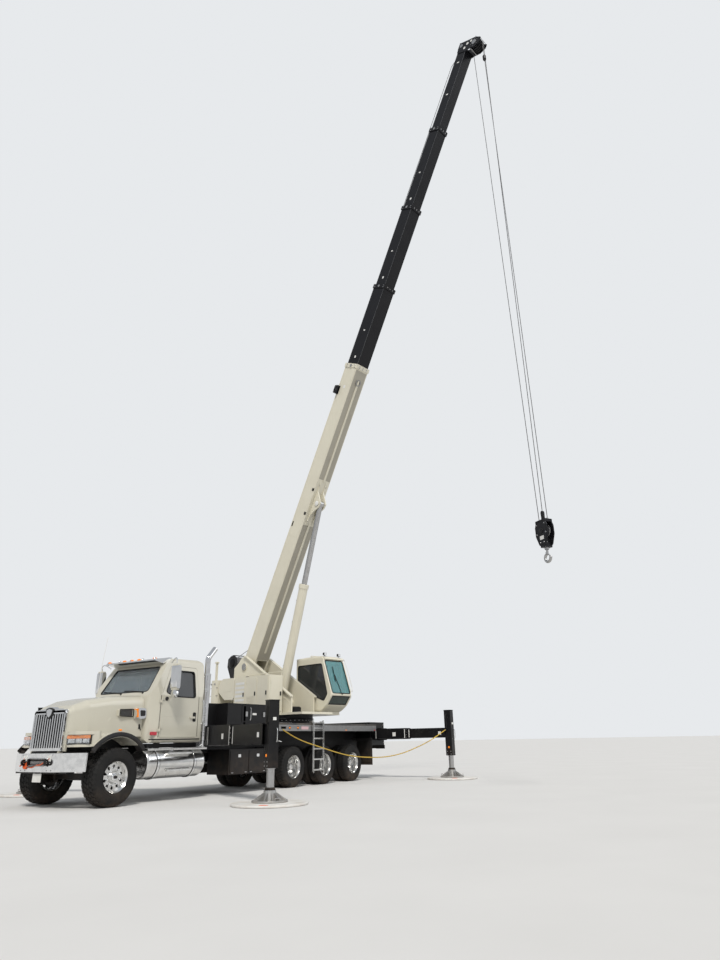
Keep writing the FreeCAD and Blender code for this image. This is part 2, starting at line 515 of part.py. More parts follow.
def truck_door():
    """Left door, as thick as the cab wall, with its window cut and its mirror on an arm."""
    inner_y = CAB_HALF - 370
    panel = cab_shell().common(plate_xz(door_outline(0), inner_y, CAB_HALF + 10, WINDOW_R))
    window = plate_xz([(DOOR_FRONT - 120, 2290), (DOOR_FRONT - 360, DOOR_TOP - 90),
                       (DOOR_REAR + 90, DOOR_TOP - 90), (DOOR_REAR + 90, 2200), (DOOR_FRONT - 420, 2200)],
                      inner_y - 100, CAB_HALF + 20, WINDOW_R)
    handle = box(DOOR_REAR + 90, DOOR_REAR + 250, CAB_HALF - 5, CAB_HALF + 28, 1730, 1775)
    arm_y, mirror_x, mirror_y = CAB_HALF - 15, DOOR_FRONT - 190, CAB_HALF + 260
    arms = [rod((mirror_x, arm_y, z), (mirror_x + 60, mirror_y, 2230), 11) for z in (2180, 2110)]
    stalk = rod((mirror_x + 60, mirror_y, 2180), (mirror_x + 60, mirror_y, 2960), 12)
    head = box(mirror_x + 20, mirror_x + 100, mirror_y - 90, mirror_y + 90, 2330, 2900)
    brace = rod((mirror_x + 60, mirror_y, 2600), (mirror_x - 130, CAB_HALF - 25, 2240), 9)
    hinges = hinge_knuckles(DOOR_FRONT, CAB_HALF + DOOR_HINGE_R + 2, DOOR_HINGE_Z, DOOR_FRONT - 70, 1, 0)
    return fuse(panel.cut(window), handle, *arms, stalk, head, brace, *hinges)


def hood_form(inset):
    """The hood's form through its sections, drawn in by inset at the nose, sides and top."""
    wires = []
    for i, (x, half, top, r) in enumerate(HOOD_SECTIONS):
        w, z0, z1, corner = half - inset, HOOD_FOOT - 10 + inset / 3, top - inset, r - inset
        at = x - inset if i == 0 else x
        bulge = corner * (1 - cos(pi / 4))
        right = Part.Arc(V(at, w, z1 - corner), V(at, w - bulge, z1 - bulge), V(at, w - corner, z1))
        left = Part.Arc(V(at, corner - w, z1), V(at, bulge - w, z1 - bulge), V(at, -w, z1 - corner))
        outline = [V(at, -w, z0), V(at, w, z0), V(at, w, z1 - corner)]
        edges = [Part.LineSegment(outline[0], outline[1]), Part.LineSegment(outline[1], outline[2]), right,
                 Part.LineSegment(V(at, w - corner, z1), V(at, corner - w, z1)), left,
                 Part.LineSegment(V(at, -w, z1 - corner), outline[0])]
        wires.append(Part.Wire([e.toShape() for e in edges]))
    return Part.makeLoft(wires, True, True)


def hood():
    """Tilting hood with the fenders, arches and side intakes, open below and to the rear."""
    below = box(CAB_FRONT - 10, HOOD_FRONT - HOOD_WALL, -470, 470, HOOD_FOOT - 60, HOOD_FOOT + 60)
    mouth = box(HOOD_FRONT - 60, HOOD_FRONT + 10, -440, 440, HOOD_FOOT + 20, HOOD_NOSE_Z - 90)
    body = hood_form(0).cut([hood_form(HOOD_WALL), below, mouth])
    pieces = [body]
    for side in (-1, 1):
        pieces += fender(side)
        nose = plate_xy([(HOOD_FRONT, side * 540), (HOOD_FRONT, side * 860), (600, side * 1130),
                         (400, side * 1200), (400, side * 540)], 1150, 1450, 90)
        apron = box(HOOD_FRONT - 40, HOOD_FRONT, side * 450, side * 560, HOOD_HINGE[1] + 20, HOOD_FOOT + 40)
        strap = box(HOOD_HINGE[0] - 90, HOOD_HINGE[0] + 14, side * 440, side * 470,
                    HOOD_HINGE[1] - 14, HOOD_HINGE[1] + 28)
        pin = rod((HOOD_HINGE[0], side * 390, HOOD_HINGE[1]), (HOOD_HINGE[0], side * 470, HOOD_HINGE[1]), 12)
        intake = plate_xz([(-640, 1740), (-240, 1750), (-240, 1900), (-640, 1920)], side * 700, side * 815, 30)
        pod = rod((-880, side * 790, 1820), (-650, side * 790, 1820), 115)
        pieces += [nose, apron, strap, pin, intake, pod]
    body = fuse(*pieces)
    cavity = [box(CAB_FRONT + 60, HOOD_FRONT - HOOD_WALL, -430, 430, 1300, 1700)]
    lamp_seat = [lamp_form(s, 6) for s in (-1, 1)]
    return body.cut(cavity + lamp_seat)


def fender(side):
    """Wheel arch with its flare on one side, and the shelf that joins it to the hood."""
    y0, y1 = side * FENDER_Y[0], side * FENDER_Y[1]
    centre = (0, FRONT_TYRE_R)
    ring = rod((0, y0, centre[1]), (0, y1, centre[1]), ARCH_R + FLARE_T)
    hollow = rod((0, y0 * 0.5, centre[1]), (0, y1 * 1.1, centre[1]), ARCH_R)
    keep = box(-900, 840, y0, y1, 1160, 1500)
    arch = ring.cut(hollow).common(keep)
    shelf = box(-700, 420, side * 560, side * (FENDER_Y[0] + 30), 1365, 1395)
    return [arch, shelf]


def lamp_form(side, grow):
    """A headlamp's block, drawn bigger by grow for its seat."""
    plan = [(HOOD_FRONT + 40, side * 600), (HOOD_FRONT + 40, side * 850), (625, side * 1150),
            (560, side * 1150), (740 - grow, side * (860 - grow)), (740 - grow, side * (600 - grow))]
    return plate_xy(plan, LAMP_Z0 - grow, LAMP_Z1 + grow)


def headlamps():
    return separate(*[lamp_form(side, 0) for side in (-1, 1)])


def grille():
    """Chrome surround with its upright bars and the crown over it."""
    x0, x1 = HOOD_FRONT, HOOD_FRONT + GRILLE_T
    outer = box(x0, x1, -GRILLE_HALF, GRILLE_HALF, GRILLE_Z0, GRILLE_Z1)
    opening = box(x0 - 1, x1 + 1, 45 - GRILLE_HALF, GRILLE_HALF - 45, GRILLE_Z0 + 45, GRILLE_Z1 - 60)
    span = 2 * (GRILLE_HALF - 45)
    bars = [box(x0, x1 - 8, y - 9, y + 9, GRILLE_Z0 + 20, GRILLE_Z1 - 30)
            for y in (span * ((i + 0.5) / GRILLE_BARS - 0.5) for i in range(GRILLE_BARS))]
    top = GRILLE_Z1
    crown = plate_yz([(-430, top), (430, top), (330, top + 45), (-330, top + 45)], x0, x1)
    return fuse(outer.cut(opening), *bars, crown)


def front_bumper():
    """Polished bumper bent back at both ends, with a winch in its middle opening."""
    front, t = BUMPER_FRONT, BUMPER_T
    half, inner = BUMPER_HALF, BUMPER_HALF - t
    flat, back, end = BUMPER_FLAT, *BUMPER_REAR_X
    outer = [(front, -flat), (front, flat), (back, half), (end, half), (end, inner), (front - t, flat - 15),
             (front - t, 15 - flat), (end, -inner), (end, -half), (back, -half)]
    shell = plate_xy(outer, BUMPER_Z0, BUMPER_Z1, BUMPER_EDGE_R)
    opening = box(front - t - 20, front + 20, -330, 330, 790, 960)
    drum = rod((front - 75, -270, 870), (front - 75, 270, 870), 48)
    ends = [box(RAIL_FRONT, front - t + 5, s * 268, s * 345, 780, 975) for s in (-1, 1)]
    stays = [box(RAIL_FRONT, front - t + 5, s * 352, s * 362, RAIL_Z0 + 150, RAIL_Z1 - 60) for s in (-1, 1)]
    slots = [box(front - t - 40, front + 20, s * TOW_FRONT_Y - 25, s * TOW_FRONT_Y + 25,
                 RAIL_Z0 - 15, RAIL_Z0 + 135) for s in (-1, 1)]
    return fuse(shell.cut([opening, *slots]), drum, *ends, *stays)


def sun_visor():
    """Outside visor over the windscreen, with five lamp seats along it."""
    outline = [(-1330, 2960), (-1050, 3010), (-1050, 3040), (-1330, 3080), (-1500, ROOF_Z), (-1600, ROOF_Z),
               (-1480, 3020)]
    plate = plate_xz(outline, -850, 850).cut(cab_form(0))
    lamps = [Part.makeSphere(34, V(-1090, y, 3046)) for y in (-820, -410, 0, 410, 820)]
    return fuse(plate, *lamps)


def fuel_tanks():
    tank = rod((TANK_X[0], TANK_Y, TANK_Z), (TANK_X[1], TANK_Y, TANK_Z), TANK_R)
    tank = tank.makeFillet(TANK_EDGE_R, [e for e in tank.Edges if e.Closed])
    straps = [tube((x - STRAP_HALF, TANK_Y, TANK_Z), (x + STRAP_HALF, TANK_Y, TANK_Z),
                   TANK_R + STRAP_T, TANK_R - 2) for x in STRAPS_X]
    steps = [box(-2050, -1350, TANK_Y + 200, HALF_WIDTH - 5, z, z + 30) for z in (TANK_Z - 165, TANK_Z + 185)]
    return both_sides(fuse(tank, *straps, *steps))


def exhaust_stack():
    """Upright pipe in its guard, with an elbow at the top that points back and out."""
    x, y, z1 = STACK_X, STACK_Y, STACK_TOP
    pipe = rod((x, y, RAIL_Z1), (x, y, z1 - 60), STACK_R)
    guard = rod((x, y, GUARD_Z[0]), (x, y, GUARD_Z[1]), GUARD_R)
    elbow, _ = swept([(x, y, z1 - 60), (x, y, z1 + 90), (x - 235, y, z1 + 350)], STACK_R, 420)
    foot = box(x - 60, x + 60, RAIL_Y - 60, y, RAIL_Z1, RAIL_Z1 + 60)
    stay = box(x + 50, CAB_REAR, y - 20, y + 20, 2160, 2200)
    return fuse(pipe, guard, elbow, foot, stay)


# Outriggers

class Corner:
    """One outrigger: where its jack stands, which way its beams run and how thick they are."""

    def __init__(self, name, jack, side, splay, beam, beam_z, jack_top):
        self.name, self.side, self.splay, self.beam = name, side, splay, beam
        self.beam_z, self.jack_top = beam_z, jack_top
        self.jack = V(jack[0], side * jack[1], 0)
        self.way = V(sin(splay), side * cos(splay), 0)
        self.reach = jack[1] / cos(splay)             # from the middle of the truck to the jack, along the beam
        self.stowed = STOWED_Y / cos(splay)
        self.travel = self.reach - self.stowed
        self.mouth = HOUSING_Y / cos(splay)

    def place(self, shape):
        """Moves a piece drawn along +x from the truck's middle line onto this corner's beam line."""
        start = self.jack - self.way * self.reach
        angle = degrees(atan2(self.way.y, self.way.x))
        out = shape.copy()
        out.Placement = FreeCAD.Placement(start, FreeCAD.Rotation(Z_AXIS, angle)).multiply(out.Placement)
        return out


def corner_beam(corner, x0, x1, width, height, wall):
    return box_tube(x0, x1, width / 2, corner.beam_z - height / 2, corner.beam_z + height / 2, wall)


def collar(corner, x0, x1, inner, thick):
    """A frame round a beam's mouth that guides the next stage; inner is that stage's section."""
    w, h = inner[0] / 2 + SLIDE_GAP, inner[1] / 2 + SLIDE_GAP
    z = corner.beam_z
    outer = box(x0, x1, -w - thick, w + thick, z - h - thick, z + h + thick)
    return outer.cut(box(x0 - 1, x1 + 1, -w, w, z - h, z + h))


def inner_section(corner):
    return corner.beam[0] - 2 * STAGE_STEP, corner.beam[1] - 2 * STAGE_STEP


def beam_housing(corner):
    """The fixed tube across the truck that holds the outer stage."""
    w, h = corner.beam[0] + 2 * STAGE_STEP, corner.beam[1] + 2 * STAGE_STEP
    body = corner_beam(corner, -corner.mouth - 150, corner.mouth, w, h, STAGE_WALL)
    mouth = collar(corner, corner.mouth - 60, corner.mouth, corner.beam, STAGE_STEP - SLIDE_GAP)
    return corner.place(fuse(body, mouth))


def outer_beam(corner):
    w, h = corner.beam
    shift = corner.travel / 2
    tail, head = -corner.mouth - 60 + shift, corner.mouth - 40 + shift
    body = corner_beam(corner, tail, head, w, h, STAGE_WALL)
    mouth = collar(corner, head, head + 36, inner_section(corner), STAGE_STEP - SLIDE_GAP - 4)
    return corner.place(fuse(body, mouth))


def inner_beam(corner):
    """Inner stage with the square jack tube at its end."""
    w, h = inner_section(corner)
    head = corner.reach - JACK_SIDE / 2
    tail = head - (corner.stowed + corner.mouth - 80)
    body = corner_beam(corner, tail, head + 20, w, h, STAGE_WALL)
    x, half = corner.reach, JACK_SIDE / 2
    jack = box(x - half, x + half, -half, half, JACK_FOOT, corner.jack_top)
    cap = box(x - half - 8, x + half + 8, -half - 8, half + 8, corner.jack_top - 16, corner.jack_top)
    bore = box(x - half + 14, x + half - 14, 14 - half, half - 14, JACK_FOOT + 60, corner.jack_top - 40)
    gland = rod((x, 0, JACK_FOOT - 1), (x, 0, JACK_FOOT + 80), JACK_ROD_R + RUN_GAP)
    return corner.place(fuse(body, jack, cap).cut([bore, gland]))


def rope_eye():
    """The small block on the rear left jack tube that the rope's end meets."""
    x, y, z = ROPE_END
    return box(x, CORNERS[2].jack.x + JACK_SIDE / 2 - 5, y - 21, y + 21, z - 24, z + 24)


def stay_rope():
    """The rope, cut flat where it meets the trim and the eye block."""
    rope, radii = swept(ROPE_ROUTE, ROPE_R, MAX_BEND)
    print("stay rope bends", [round(r) for r in radii])
    x, y, z = ROPE_END
    return rope.cut([box(x - 200, x, y - 200, y + 200, z - 200, z + 200),
                     box(-5600, -5200, HALF_WIDTH - 200, HALF_WIDTH, TRIM_Z0, TRIM_Z0 + 200)])


def jack_rod(corner):
    """Jack rod with the ribbed round float at its foot."""
    x, top = corner.reach, corner.jack_top - 60 - JACK_LIFT
    shank = rod((x, 0, FLOAT_TOP - 20), (x, 0, top), JACK_ROD_R)
    cone = Part.makeCone(FLOAT_R, 120, FLOAT_TOP - PAD_T - 40, V(x, 0, PAD_T + 40))
    foot = rod((x, 0, PAD_T), (x, 0, PAD_T + 40), FLOAT_R)
    return corner.place(fuse(shank, cone, foot))


def corner_pad(corner):
    """Ground pad under the float, with a shallow rim."""
    return rod((corner.jack.x, corner.jack.y, 0), (corner.jack.x, corner.jack.y, PAD_T), PAD_R)


CORNERS = (
    Corner("front_left", FRONT_JACK, 1, FRONT_SPLAY, FRONT_BEAM, FRONT_BEAM_Z[0], JACK_TOPS[0]),
    Corner("front_right", FRONT_JACK, -1, FRONT_SPLAY, FRONT_BEAM, FRONT_BEAM_Z[1], JACK_TOPS[1]),
    Corner("rear_left", REAR_JACK_LEFT, 1, 0.0, REAR_BEAM, REAR_BEAM_Z, JACK_TOPS[2]),
    Corner("rear_right", REAR_JACK_RIGHT, -1, 0.0, REAR_BEAM, REAR_BEAM_Z, JACK_TOPS[2]),
)


def front_outrigger_box():
    """Two crossed beam housings behind the cab, the upper one in a cover, on a saddle over the rails."""
    left, right = CORNERS[0], CORNERS[1]
    housings = [beam_housing(left), beam_housing(right)]
    half_h = FRONT_BEAM[1] / 2 + STAGE_STEP
    low_top, high_foot, high_top = FRONT_BEAM_Z[0] + half_h, FRONT_BEAM_Z[1] - half_h, FRONT_BEAM_Z[1] + half_h
    middle = left.jack.x - left.way.x * left.reach
    web = box(middle - 700, middle + 500, -SUBFRAME_Y, SUBFRAME_Y, low_top - 6, high_foot + 6)
    saddle = box(middle - 500, middle + 500, -SUBFRAME_Y, SUBFRAME_Y, RAIL_Z1, FRONT_BEAM_Z[0] - half_h + 8)
    link = box(SUBFRAME_FRONT, middle - 300, -SUBFRAME_Y, SUBFRAME_Y, RAIL_Z1, SUBFRAME_TOP)
    cover = box(SUBFRAME_FRONT + 60, middle + 260, -1100, HALF_WIDTH - 30, high_foot, high_top)
    nose = box(middle + 260, middle + 600, -880, 880, high_foot, high_top)
    cores = [corner.place(corner_beam_core(corner)) for corner in (left, right)]
    return fuse(*housings, web, saddle, link.cut(cores[0]), cover.cut(cores[1]), nose.cut(cores[1]))


def corner_beam_core(corner):
    """The room inside a housing, with a little more so that nothing fused round it closes it."""
    w, h = corner.beam[0] / 2 + STAGE_STEP - STAGE_WALL, corner.beam[1] / 2 + STAGE_STEP - STAGE_WALL
    z = corner.beam_z
    return box(-corner.mouth - 200, corner.mouth + 200, -w, w, z - h, z + h)


def tool_boxes():
    """Black stowage boxes hung low beside the rails, behind the cab."""
    body = box(*BOX_X, RAIL_Y + 60, HALF_WIDTH - 60, *BOX_Z)
    brackets = [box(x - 40, x + 40, RAIL_Y, RAIL_Y + 60, BOX_Z[1] - 140, BOX_Z[1] - 20)
                for x in (BOX_X[0] + 240, BOX_X[1] - 220)]
    return both_sides(fuse(body, *brackets))


def rear_outrigger_box():
    housings = [beam_housing(CORNERS[2]), beam_housing(CORNERS[3])]
    half_h = REAR_BEAM[1] / 2 + STAGE_STEP
    z0, z1 = REAR_BEAM_Z - half_h, REAR_BEAM_Z + half_h
    saddle = box(REAR_BOX_X, SUBFRAME_REAR, -SUBFRAME_Y, SUBFRAME_Y, RAIL_Z1, z0 + 8)
    cover = box(REAR_BOX_X, SUBFRAME_REAR, -HOUSING_Y, HOUSING_Y, z1 - 8, REAR_BOX_TOP)
    skirts = [box(REAR_BOX_X, SUBFRAME_REAR, s * (HOUSING_Y - 20), s * HOUSING_Y, REAR_SKIRT_FOOT, z0 + 8)
              for s in (-1, 1)]
    floor = box(REAR_BOX_X, SUBFRAME_REAR, -HOUSING_Y, HOUSING_Y, z0 - 4, z0 + 8)
    return fuse(*housings, saddle, cover, floor, *skirts)


def ground_pads():
    return separate(*[corner_pad(c) for c in CORNERS])


# Superstructure, drawn in its own frame

def turret_place(shape):
    """Turns a superstructure piece to the boom's heading and sets it on the slewing axis."""
    out = shape.copy()
    move = FreeCAD.Placement(V(SLEW_X, 0, 0), FreeCAD.Rotation(Z_AXIS, degrees(SLEW_ANGLE)))
    out.Placement = move.multiply(out.Placement)
    return out


def boom_place(shape):
    """Raises a boom piece, drawn level with the foot pin at the origin, to its angle at rest."""
    out = shape.copy()
    lift = FreeCAD.Placement(V(PIN_X, 0, PIN_Z), FreeCAD.Rotation(Y_AXIS, -degrees(LUFF_REST)))
    out.Placement = lift.multiply(out.Placement)
    return turret_place(out)


def boom_point(along, above):
    """A point of the boom at rest, in the superstructure's frame: x and z."""
    c, s = cos(LUFF_REST), sin(LUFF_REST)
    return PIN_X + along * c - above * s, PIN_Z + along * s + above * c


def slewing_ring():
    pedestal = tube((0, 0, RING_Z0), (0, 0, RING_Z0 + 100), RING_R + 30, RING_BORE_R)
    race = tube((0, 0, RING_Z0 + 100), (0, 0, RING_Z1), RING_R, RING_BORE_R)
    return turret_place(fuse(pedestal, race))


def turret():
    """Base plate, two sloping side plates with flanges, cross plate and the boom's foot pin."""
    base = box(-1560, 1280, -620, 620, BASE_Z0, BASE_TOP)
    rear = CHEEK_REAR_X
    cheek = [(620, BASE_Z0), (620, 2470), (-1640, 3790), (-1790, 3850), (-1980, 3810), (-2120, 3660),
             (rear, 3500), (rear, 2300), (-1560, BASE_Z0)]
    flange = [(640, 2440), (640, 2478), (-1650, 3812), (-1790, 3870), (-1790, 3846), (-1640, 3780)]
    parts = [base]
    for side in (-1, 1):
        parts.append(plate_xz(cheek, side * CHEEK_Y, side * (CHEEK_Y + CHEEK_T)))
        parts.append(plate_xz(flange, side * CHEEK_Y, side * (CHEEK_Y + 120)))
        parts.append(rod((PIN_X, side * CHEEK_Y, PIN_Z), (PIN_X, side * (CHEEK_Y + CHEEK_T + 25), PIN_Z), 120))
        x, z = CYL_FOOT
        parts.append(rod((x, side * (CHEEK_Y - 60), z), (x, side * CHEEK_Y, z), 110))
    cross = box(rear, rear + 30, -CHEEK_Y, CHEEK_Y, 2340, 3500)
    rear_floor = plate_xz([(-1560, BASE_Z0), (-1560, BASE_TOP), (rear + 30, 2360), (rear, 2340), (rear, 2300)],
                          -CHEEK_Y, CHEEK_Y)
    pin = rod((PIN_X, -CHEEK_Y, PIN_Z), (PIN_X, CHEEK_Y, PIN_Z), PIN_R)
    cab_shelf = box(OPCAB_REAR - 20, 780, OPCAB_Y[0] + 40, OPCAB_Y[1] - 60, BASE_Z0, OPCAB_FOOT)
    cabinet_shelf = box(CABINET[0], CABINET[1], CABINET[2], CABINET[3] - 40, BASE_Z0, BASE_TOP)
    return turret_place(fuse(*parts, cross, rear_floor, pin, cab_shelf, cabinet_shelf))


def cabinet():
    """Hydraulic cabinet on the right of the turret, with the lower rounded cover behind it."""
    x0, x1, y0, y1 = CABINET
    main = plate_xy([(x0, y0), (x1, y0), (x1, y1), (x0, y1)], BASE_TOP, 3080, 30)
    cover = plate_xz([(x0, 2450), (x0, 3100), (x0 - 620, 3110), (x0 - 760, 3040), (x0 - 840, 2880),
                      (x0 - 840, 2700), (x0 - 500, 2450)], y0, y1, 90)
    return turret_place(fuse(main, cover))


def counterweight():
    half = WEIGHT_HALF
    plan = [(CHEEK_REAR_X, -half), (CHEEK_REAR_X, half), (TAIL_X, half), (TAIL_X, -half)]
    slab = plate_xy(plan, WEIGHT_Z0, WEIGHT_Z1, WEIGHT_R)
    x, y = POST_X, POST_Y
    posts = [box(x - 30, x + 30, s * (y + 30), s * (y - 30), WEIGHT_Z1, POST_TOP) for s in (-1, 1)]
    heads = [box(x - 60, x + 60, s * (y + 50), s * (y - 50), POST_TOP - 20, POST_TOP + 20) for s in (-1, 1)]
    return turret_place(fuse(slab, *posts, *heads))


def main_winch():
    """Drum between two flanges and two cheek plates bolted to the turret's cross plate."""
    x, z, w, rear = WINCH_X, WINCH_Z, DRUM_HALF, CHEEK_REAR_X
    flange_y, cheek_y = w + FLANGE_T, w + FLANGE_T + WINCH_CHEEK_T
    drum = rod((x, -w, z), (x, w, z), DRUM_R)
    flanges = [rod((x, s * w, z), (x, s * flange_y, z), FLANGE_R) for s in (-1, 1)]
    outline = [(rear, 3140), (rear, 3500), (x + 200, z + 180), (x - 40, z + 240), (x - 210, z + 140),
               (x - 240, z - 120), (x + 20, 3110)]
    cheeks = [plate_xz(outline, s * flange_y, s * cheek_y) for s in (-1, 1)]
    motor = rod((x, cheek_y, z), (x, cheek_y + MOTOR_L, z), MOTOR_R)
    tie = box(x + 20, x + 240, -flange_y, flange_y, WEIGHT_Z1, WEIGHT_Z1 + 60)
    return turret_place(fuse(drum, *flanges, *cheeks, motor, tie))


def opcab_form(inset):
    foot, roof = OPCAB_FOOT + inset, OPCAB_ROOF - inset
    rear, nose = OPCAB_REAR + inset, OPCAB_NOSE - inset
    side = [(rear, foot), (760 - inset * 0.6, foot), (1050 - inset, 2200 + inset * 0.5), (nose, 2500),
            (900 - inset, 3600 - inset * 0.5), (800 - inset, roof), (rear, roof)]
    y0, y1 = OPCAB_Y[0] + inset, OPCAB_Y[1] - inset
    r = OPCAB_CORNER_R - inset
    plan = [(rear, y0), (nose, y0), (nose, y1), (rear, y1)]
    front = [(y0, foot), (y1, foot), (y1, roof), (y0, roof)]
    form = plate_xz(side, y0, y1, r).common([plate_xy(plan, foot, roof, r)])
    return form.common([plate_yz(front, OPCAB_REAR, OPCAB_NOSE, r)])


OPDOOR_HINGE_Z = (2400.0, 3200.0)
OPDOOR = [(-300, 2110), (700, 2110), (980, 2330), (1080, 2520), (800, 3560), (-300, 3560)]


def operator_cab():
    """Hollow cab with its windows cut, a seat and two consoles."""
    y0, y1 = OPCAB_Y
    shell = opcab_form(0).cut(opcab_form(OPCAB_WALL))
    (low0, low1), (high0, high1) = OPCAB_LOW_SCREEN_Z, OPCAB_SCREEN_Z
    screen = plate_yz([(y0 + 60, high0), (y1 - 60, high0), (y1 - 60, high1), (y0 + 60, high1)],
                      800, OPCAB_NOSE + 100, WINDOW_R)
    low_screen = plate_yz([(y0 + 70, low0), (y1 - 70, low0), (y1 - 70, low1), (y0 + 70, low1)],
                          960, OPCAB_NOSE + 100)
    side_window = plate_xz([(-280, 2960), (440, 2500), (960, 2330), (1110, 2530), (850, 3460), (-280, 3460)],
                           y0 - 10, y0 + 80, WINDOW_R)
    back_window = box(-450, -300, y0 + 120, y1 - 120, 2900, 3500)
    g = PANEL_GAP
    shifts = [(-g, -g), (0, -g), (g, -g), (g, 0), (g, g), (-g, g)]
    grown = [(x + dx, z + dz) for (x, z), (dx, dz) in zip(OPDOOR, shifts)]
    doorway = plate_xz(grown, y1 - 80, y1 + 10)
    shell = shell.cut([screen, low_screen, side_window, back_window, doorway])
    floor = OPCAB_FOOT + OPCAB_WALL
    middle = (y0 + y1) / 2
    consoles = [box(120, 560, y - 60, y + 60, floor, floor + 620) for y in (middle - 250, middle + 250)]
    hinges = hinge_knuckles(OPDOOR[0][0], y1 + DOOR_HINGE_R + 2, OPDOOR_HINGE_Z, OPDOOR[0][0] - 70, 1, 1)
    return turret_place(fuse(shell, seat(110, middle, floor), *consoles, *hinges))


def operator_door():
    y1 = OPCAB_Y[1]
    panel = opcab_form(0).cut(opcab_form(OPCAB_WALL)).common(plate_xz(OPDOOR, y1 - OPCAB_WALL, y1))
    window = plate_xz([(-210, 2560), (1010, 2560), (760, 3470), (-210, 3470)], y1 - 80, y1 + 10, WINDOW_R)
    handle = box(700, 860, y1 - 5, y1 + 26, 2440, 2480)
    hinges = hinge_knuckles(OPDOOR[0][0], y1 + DOOR_HINGE_R + 2, OPDOOR_HINGE_Z, OPDOOR[0][0] + 70, 1, 0)
    return turret_place(fuse(panel.cut(window), handle, *hinges))


def cylinder_line():
    """The cylinder's eye, its unit direction from eye to foot and its length at rest."""
    ex, ez = boom_point(CYL_EYE_ALONG, -CYL_EYE_DROP)
    dx, dz = CYL_FOOT[0] - ex, CYL_FOOT[1] - ez
    length = hypot(dx, dz)
    return (ex, ez), (dx / length, dz / length), length


def cylinder_place(shape):
    """Sets a cylinder piece, drawn along +z from its eye at the origin, on its line at rest."""
    (ex, ez), (dx, dz), _ = cylinder_line()
    out = shape.copy()
    tilt = FreeCAD.Rotation(Z_AXIS, V(dx, 0, dz))
    out.Placement = FreeCAD.Placement(V(ex, 0, ez), tilt).multiply(out.Placement)
    return turret_place(out)


def lift_rod():
    shank = rod((0, 0, 0), (0, 0, ROD_L), ROD_R)
    piston = rod((0, 0, ROD_L - 150), (0, 0, ROD_L), BARREL_BORE_R - RUN_GAP)
    eye = rod((0, -CYL_EYE_HALF, 0), (0, CYL_EYE_HALF, 0), CYL_EYE_R)
    bore = rod((0, -CYL_EYE_HALF - 1, 0), (0, CYL_EYE_HALF + 1, 0), CYL_PIN_R + RUN_GAP)
    return cylinder_place(fuse(shank, piston, eye).cut(bore))


def lift_barrel():
    """Barrel with its gland collar, side valve and round foot."""
    _, _, length = cylinder_line()
    collar_z = length - BARREL_L
    body = rod((0, 0, collar_z), (0, 0, length - 90), BARREL_R)
    ring = rod((0, 0, collar_z - 40), (0, 0, collar_z + 90), BARREL_R + 18)
    foot = rod((0, -140, length), (0, 140, length), 135)
    neck = box(-120, 120, -120, 120, length - 200, length)
    valve = box(BARREL_R - 10, BARREL_R + 60, -60, 60, length - 900, length - 560)
    line = box(BARREL_R - 5, BARREL_R + 22, -12, 12, collar_z + 60, length - 880)
    pin = rod((0, -FOOT_PIN_HALF, length), (0, FOOT_PIN_HALF, length), 60)
    solid = fuse(body, ring, foot, neck, valve, line, pin)
    bore = rod((0, 0, collar_z + 60), (0, 0, length - 260), BARREL_BORE_R)
    gland = rod((0, 0, collar_z - 60), (0, 0, collar_z + 61), ROD_R + RUN_GAP)
    return cylinder_place(solid.cut([bore, gland]))


# Boom, drawn level

def boom_tube(index, x0, x1):
    w, h = SECTIONS[index]
    return box_tube(x0, x1, w / 2, AXIS_ABOVE_PIN - h / 2, AXIS_ABOVE_PIN + h / 2, SECTION_WALL)


def head_collar(index, x):
    """The frame at a section's head: thicker outside, and snug inside round the next section."""
    w, h = SECTIONS[index]
    nw, nh = SECTIONS[index + 1]
    z = AXIS_ABOVE_PIN
    half_w, half_h, g = w / 2 + COLLAR_T, h / 2 + COLLAR_T, SLIDE_GAP
    outer = box(x - COLLAR_L, x, -half_w, half_w, z - half_h, z + half_h)
    hole = box(x - COLLAR_L - 1, x + 1, -nw / 2 - g, nw / 2 + g, z - nh / 2 - g, z + nh / 2 + g)
    return outer.cut(hole)


def section_head(index):
    """Where the head of a section stands at rest, along the boom."""
    extra = TIP_EXTRA if index == 4 else 0
    return BASE_HEAD + index * STROKE_REST + extra


def boom_base():
    w, h = SECTIONS[0]
    z0 = AXIS_ABOVE_PIN - h / 2
    body = boom_tube(0, BASE_TAIL, BASE_HEAD)
    opening = box(BASE_TAIL - 1, 330, -w / 2 + 60, w / 2 - 60, z0 - 1, z0 + SECTION_WALL + 1)
    bosses = [rod((0, s * w / 2, 0), (0, s * (CHEEK_Y - 5), 0), 150) for s in (-1, 1)]
    ribs = [box(a, b, -32, 32, z0 - 20, z0) for a, b in ((600, 5150), (6650, 10300))]
    hanger_outline = [(5100, z0), (6700, z0), (6300, z0 - 40), (CYL_EYE_ALONG + 150, -CYL_EYE_DROP - 60),
                      (CYL_EYE_ALONG + 60, -CYL_EYE_DROP - 140), (CYL_EYE_ALONG - 90, -CYL_EYE_DROP - 120),
                      (5500, z0 - 60)]
    hangers = [plate_xz(hanger_outline, s * (CYL_EYE_HALF + 5), s * (CYL_EYE_HALF + 45)) for s in (-1, 1)]
    eye_x, eye_z, eye_half = CYL_EYE_ALONG, -CYL_EYE_DROP, CYL_EYE_HALF + 60
    eye_pin = rod((eye_x, -eye_half, eye_z), (eye_x, eye_half, eye_z), CYL_PIN_R)
    guide = box(9700, 9900, -120, -40, AXIS_ABOVE_PIN + h / 2, AXIS_ABOVE_PIN + h / 2 + 90)
    solid = fuse(body.cut(opening), head_collar(0, BASE_HEAD), *bosses, *ribs, *hangers, eye_pin, guide)
    bore = rod((0, -CHEEK_Y, 0), (0, CHEEK_Y, 0), PIN_R + RUN_GAP)
    return boom_place(solid.cut(bore))


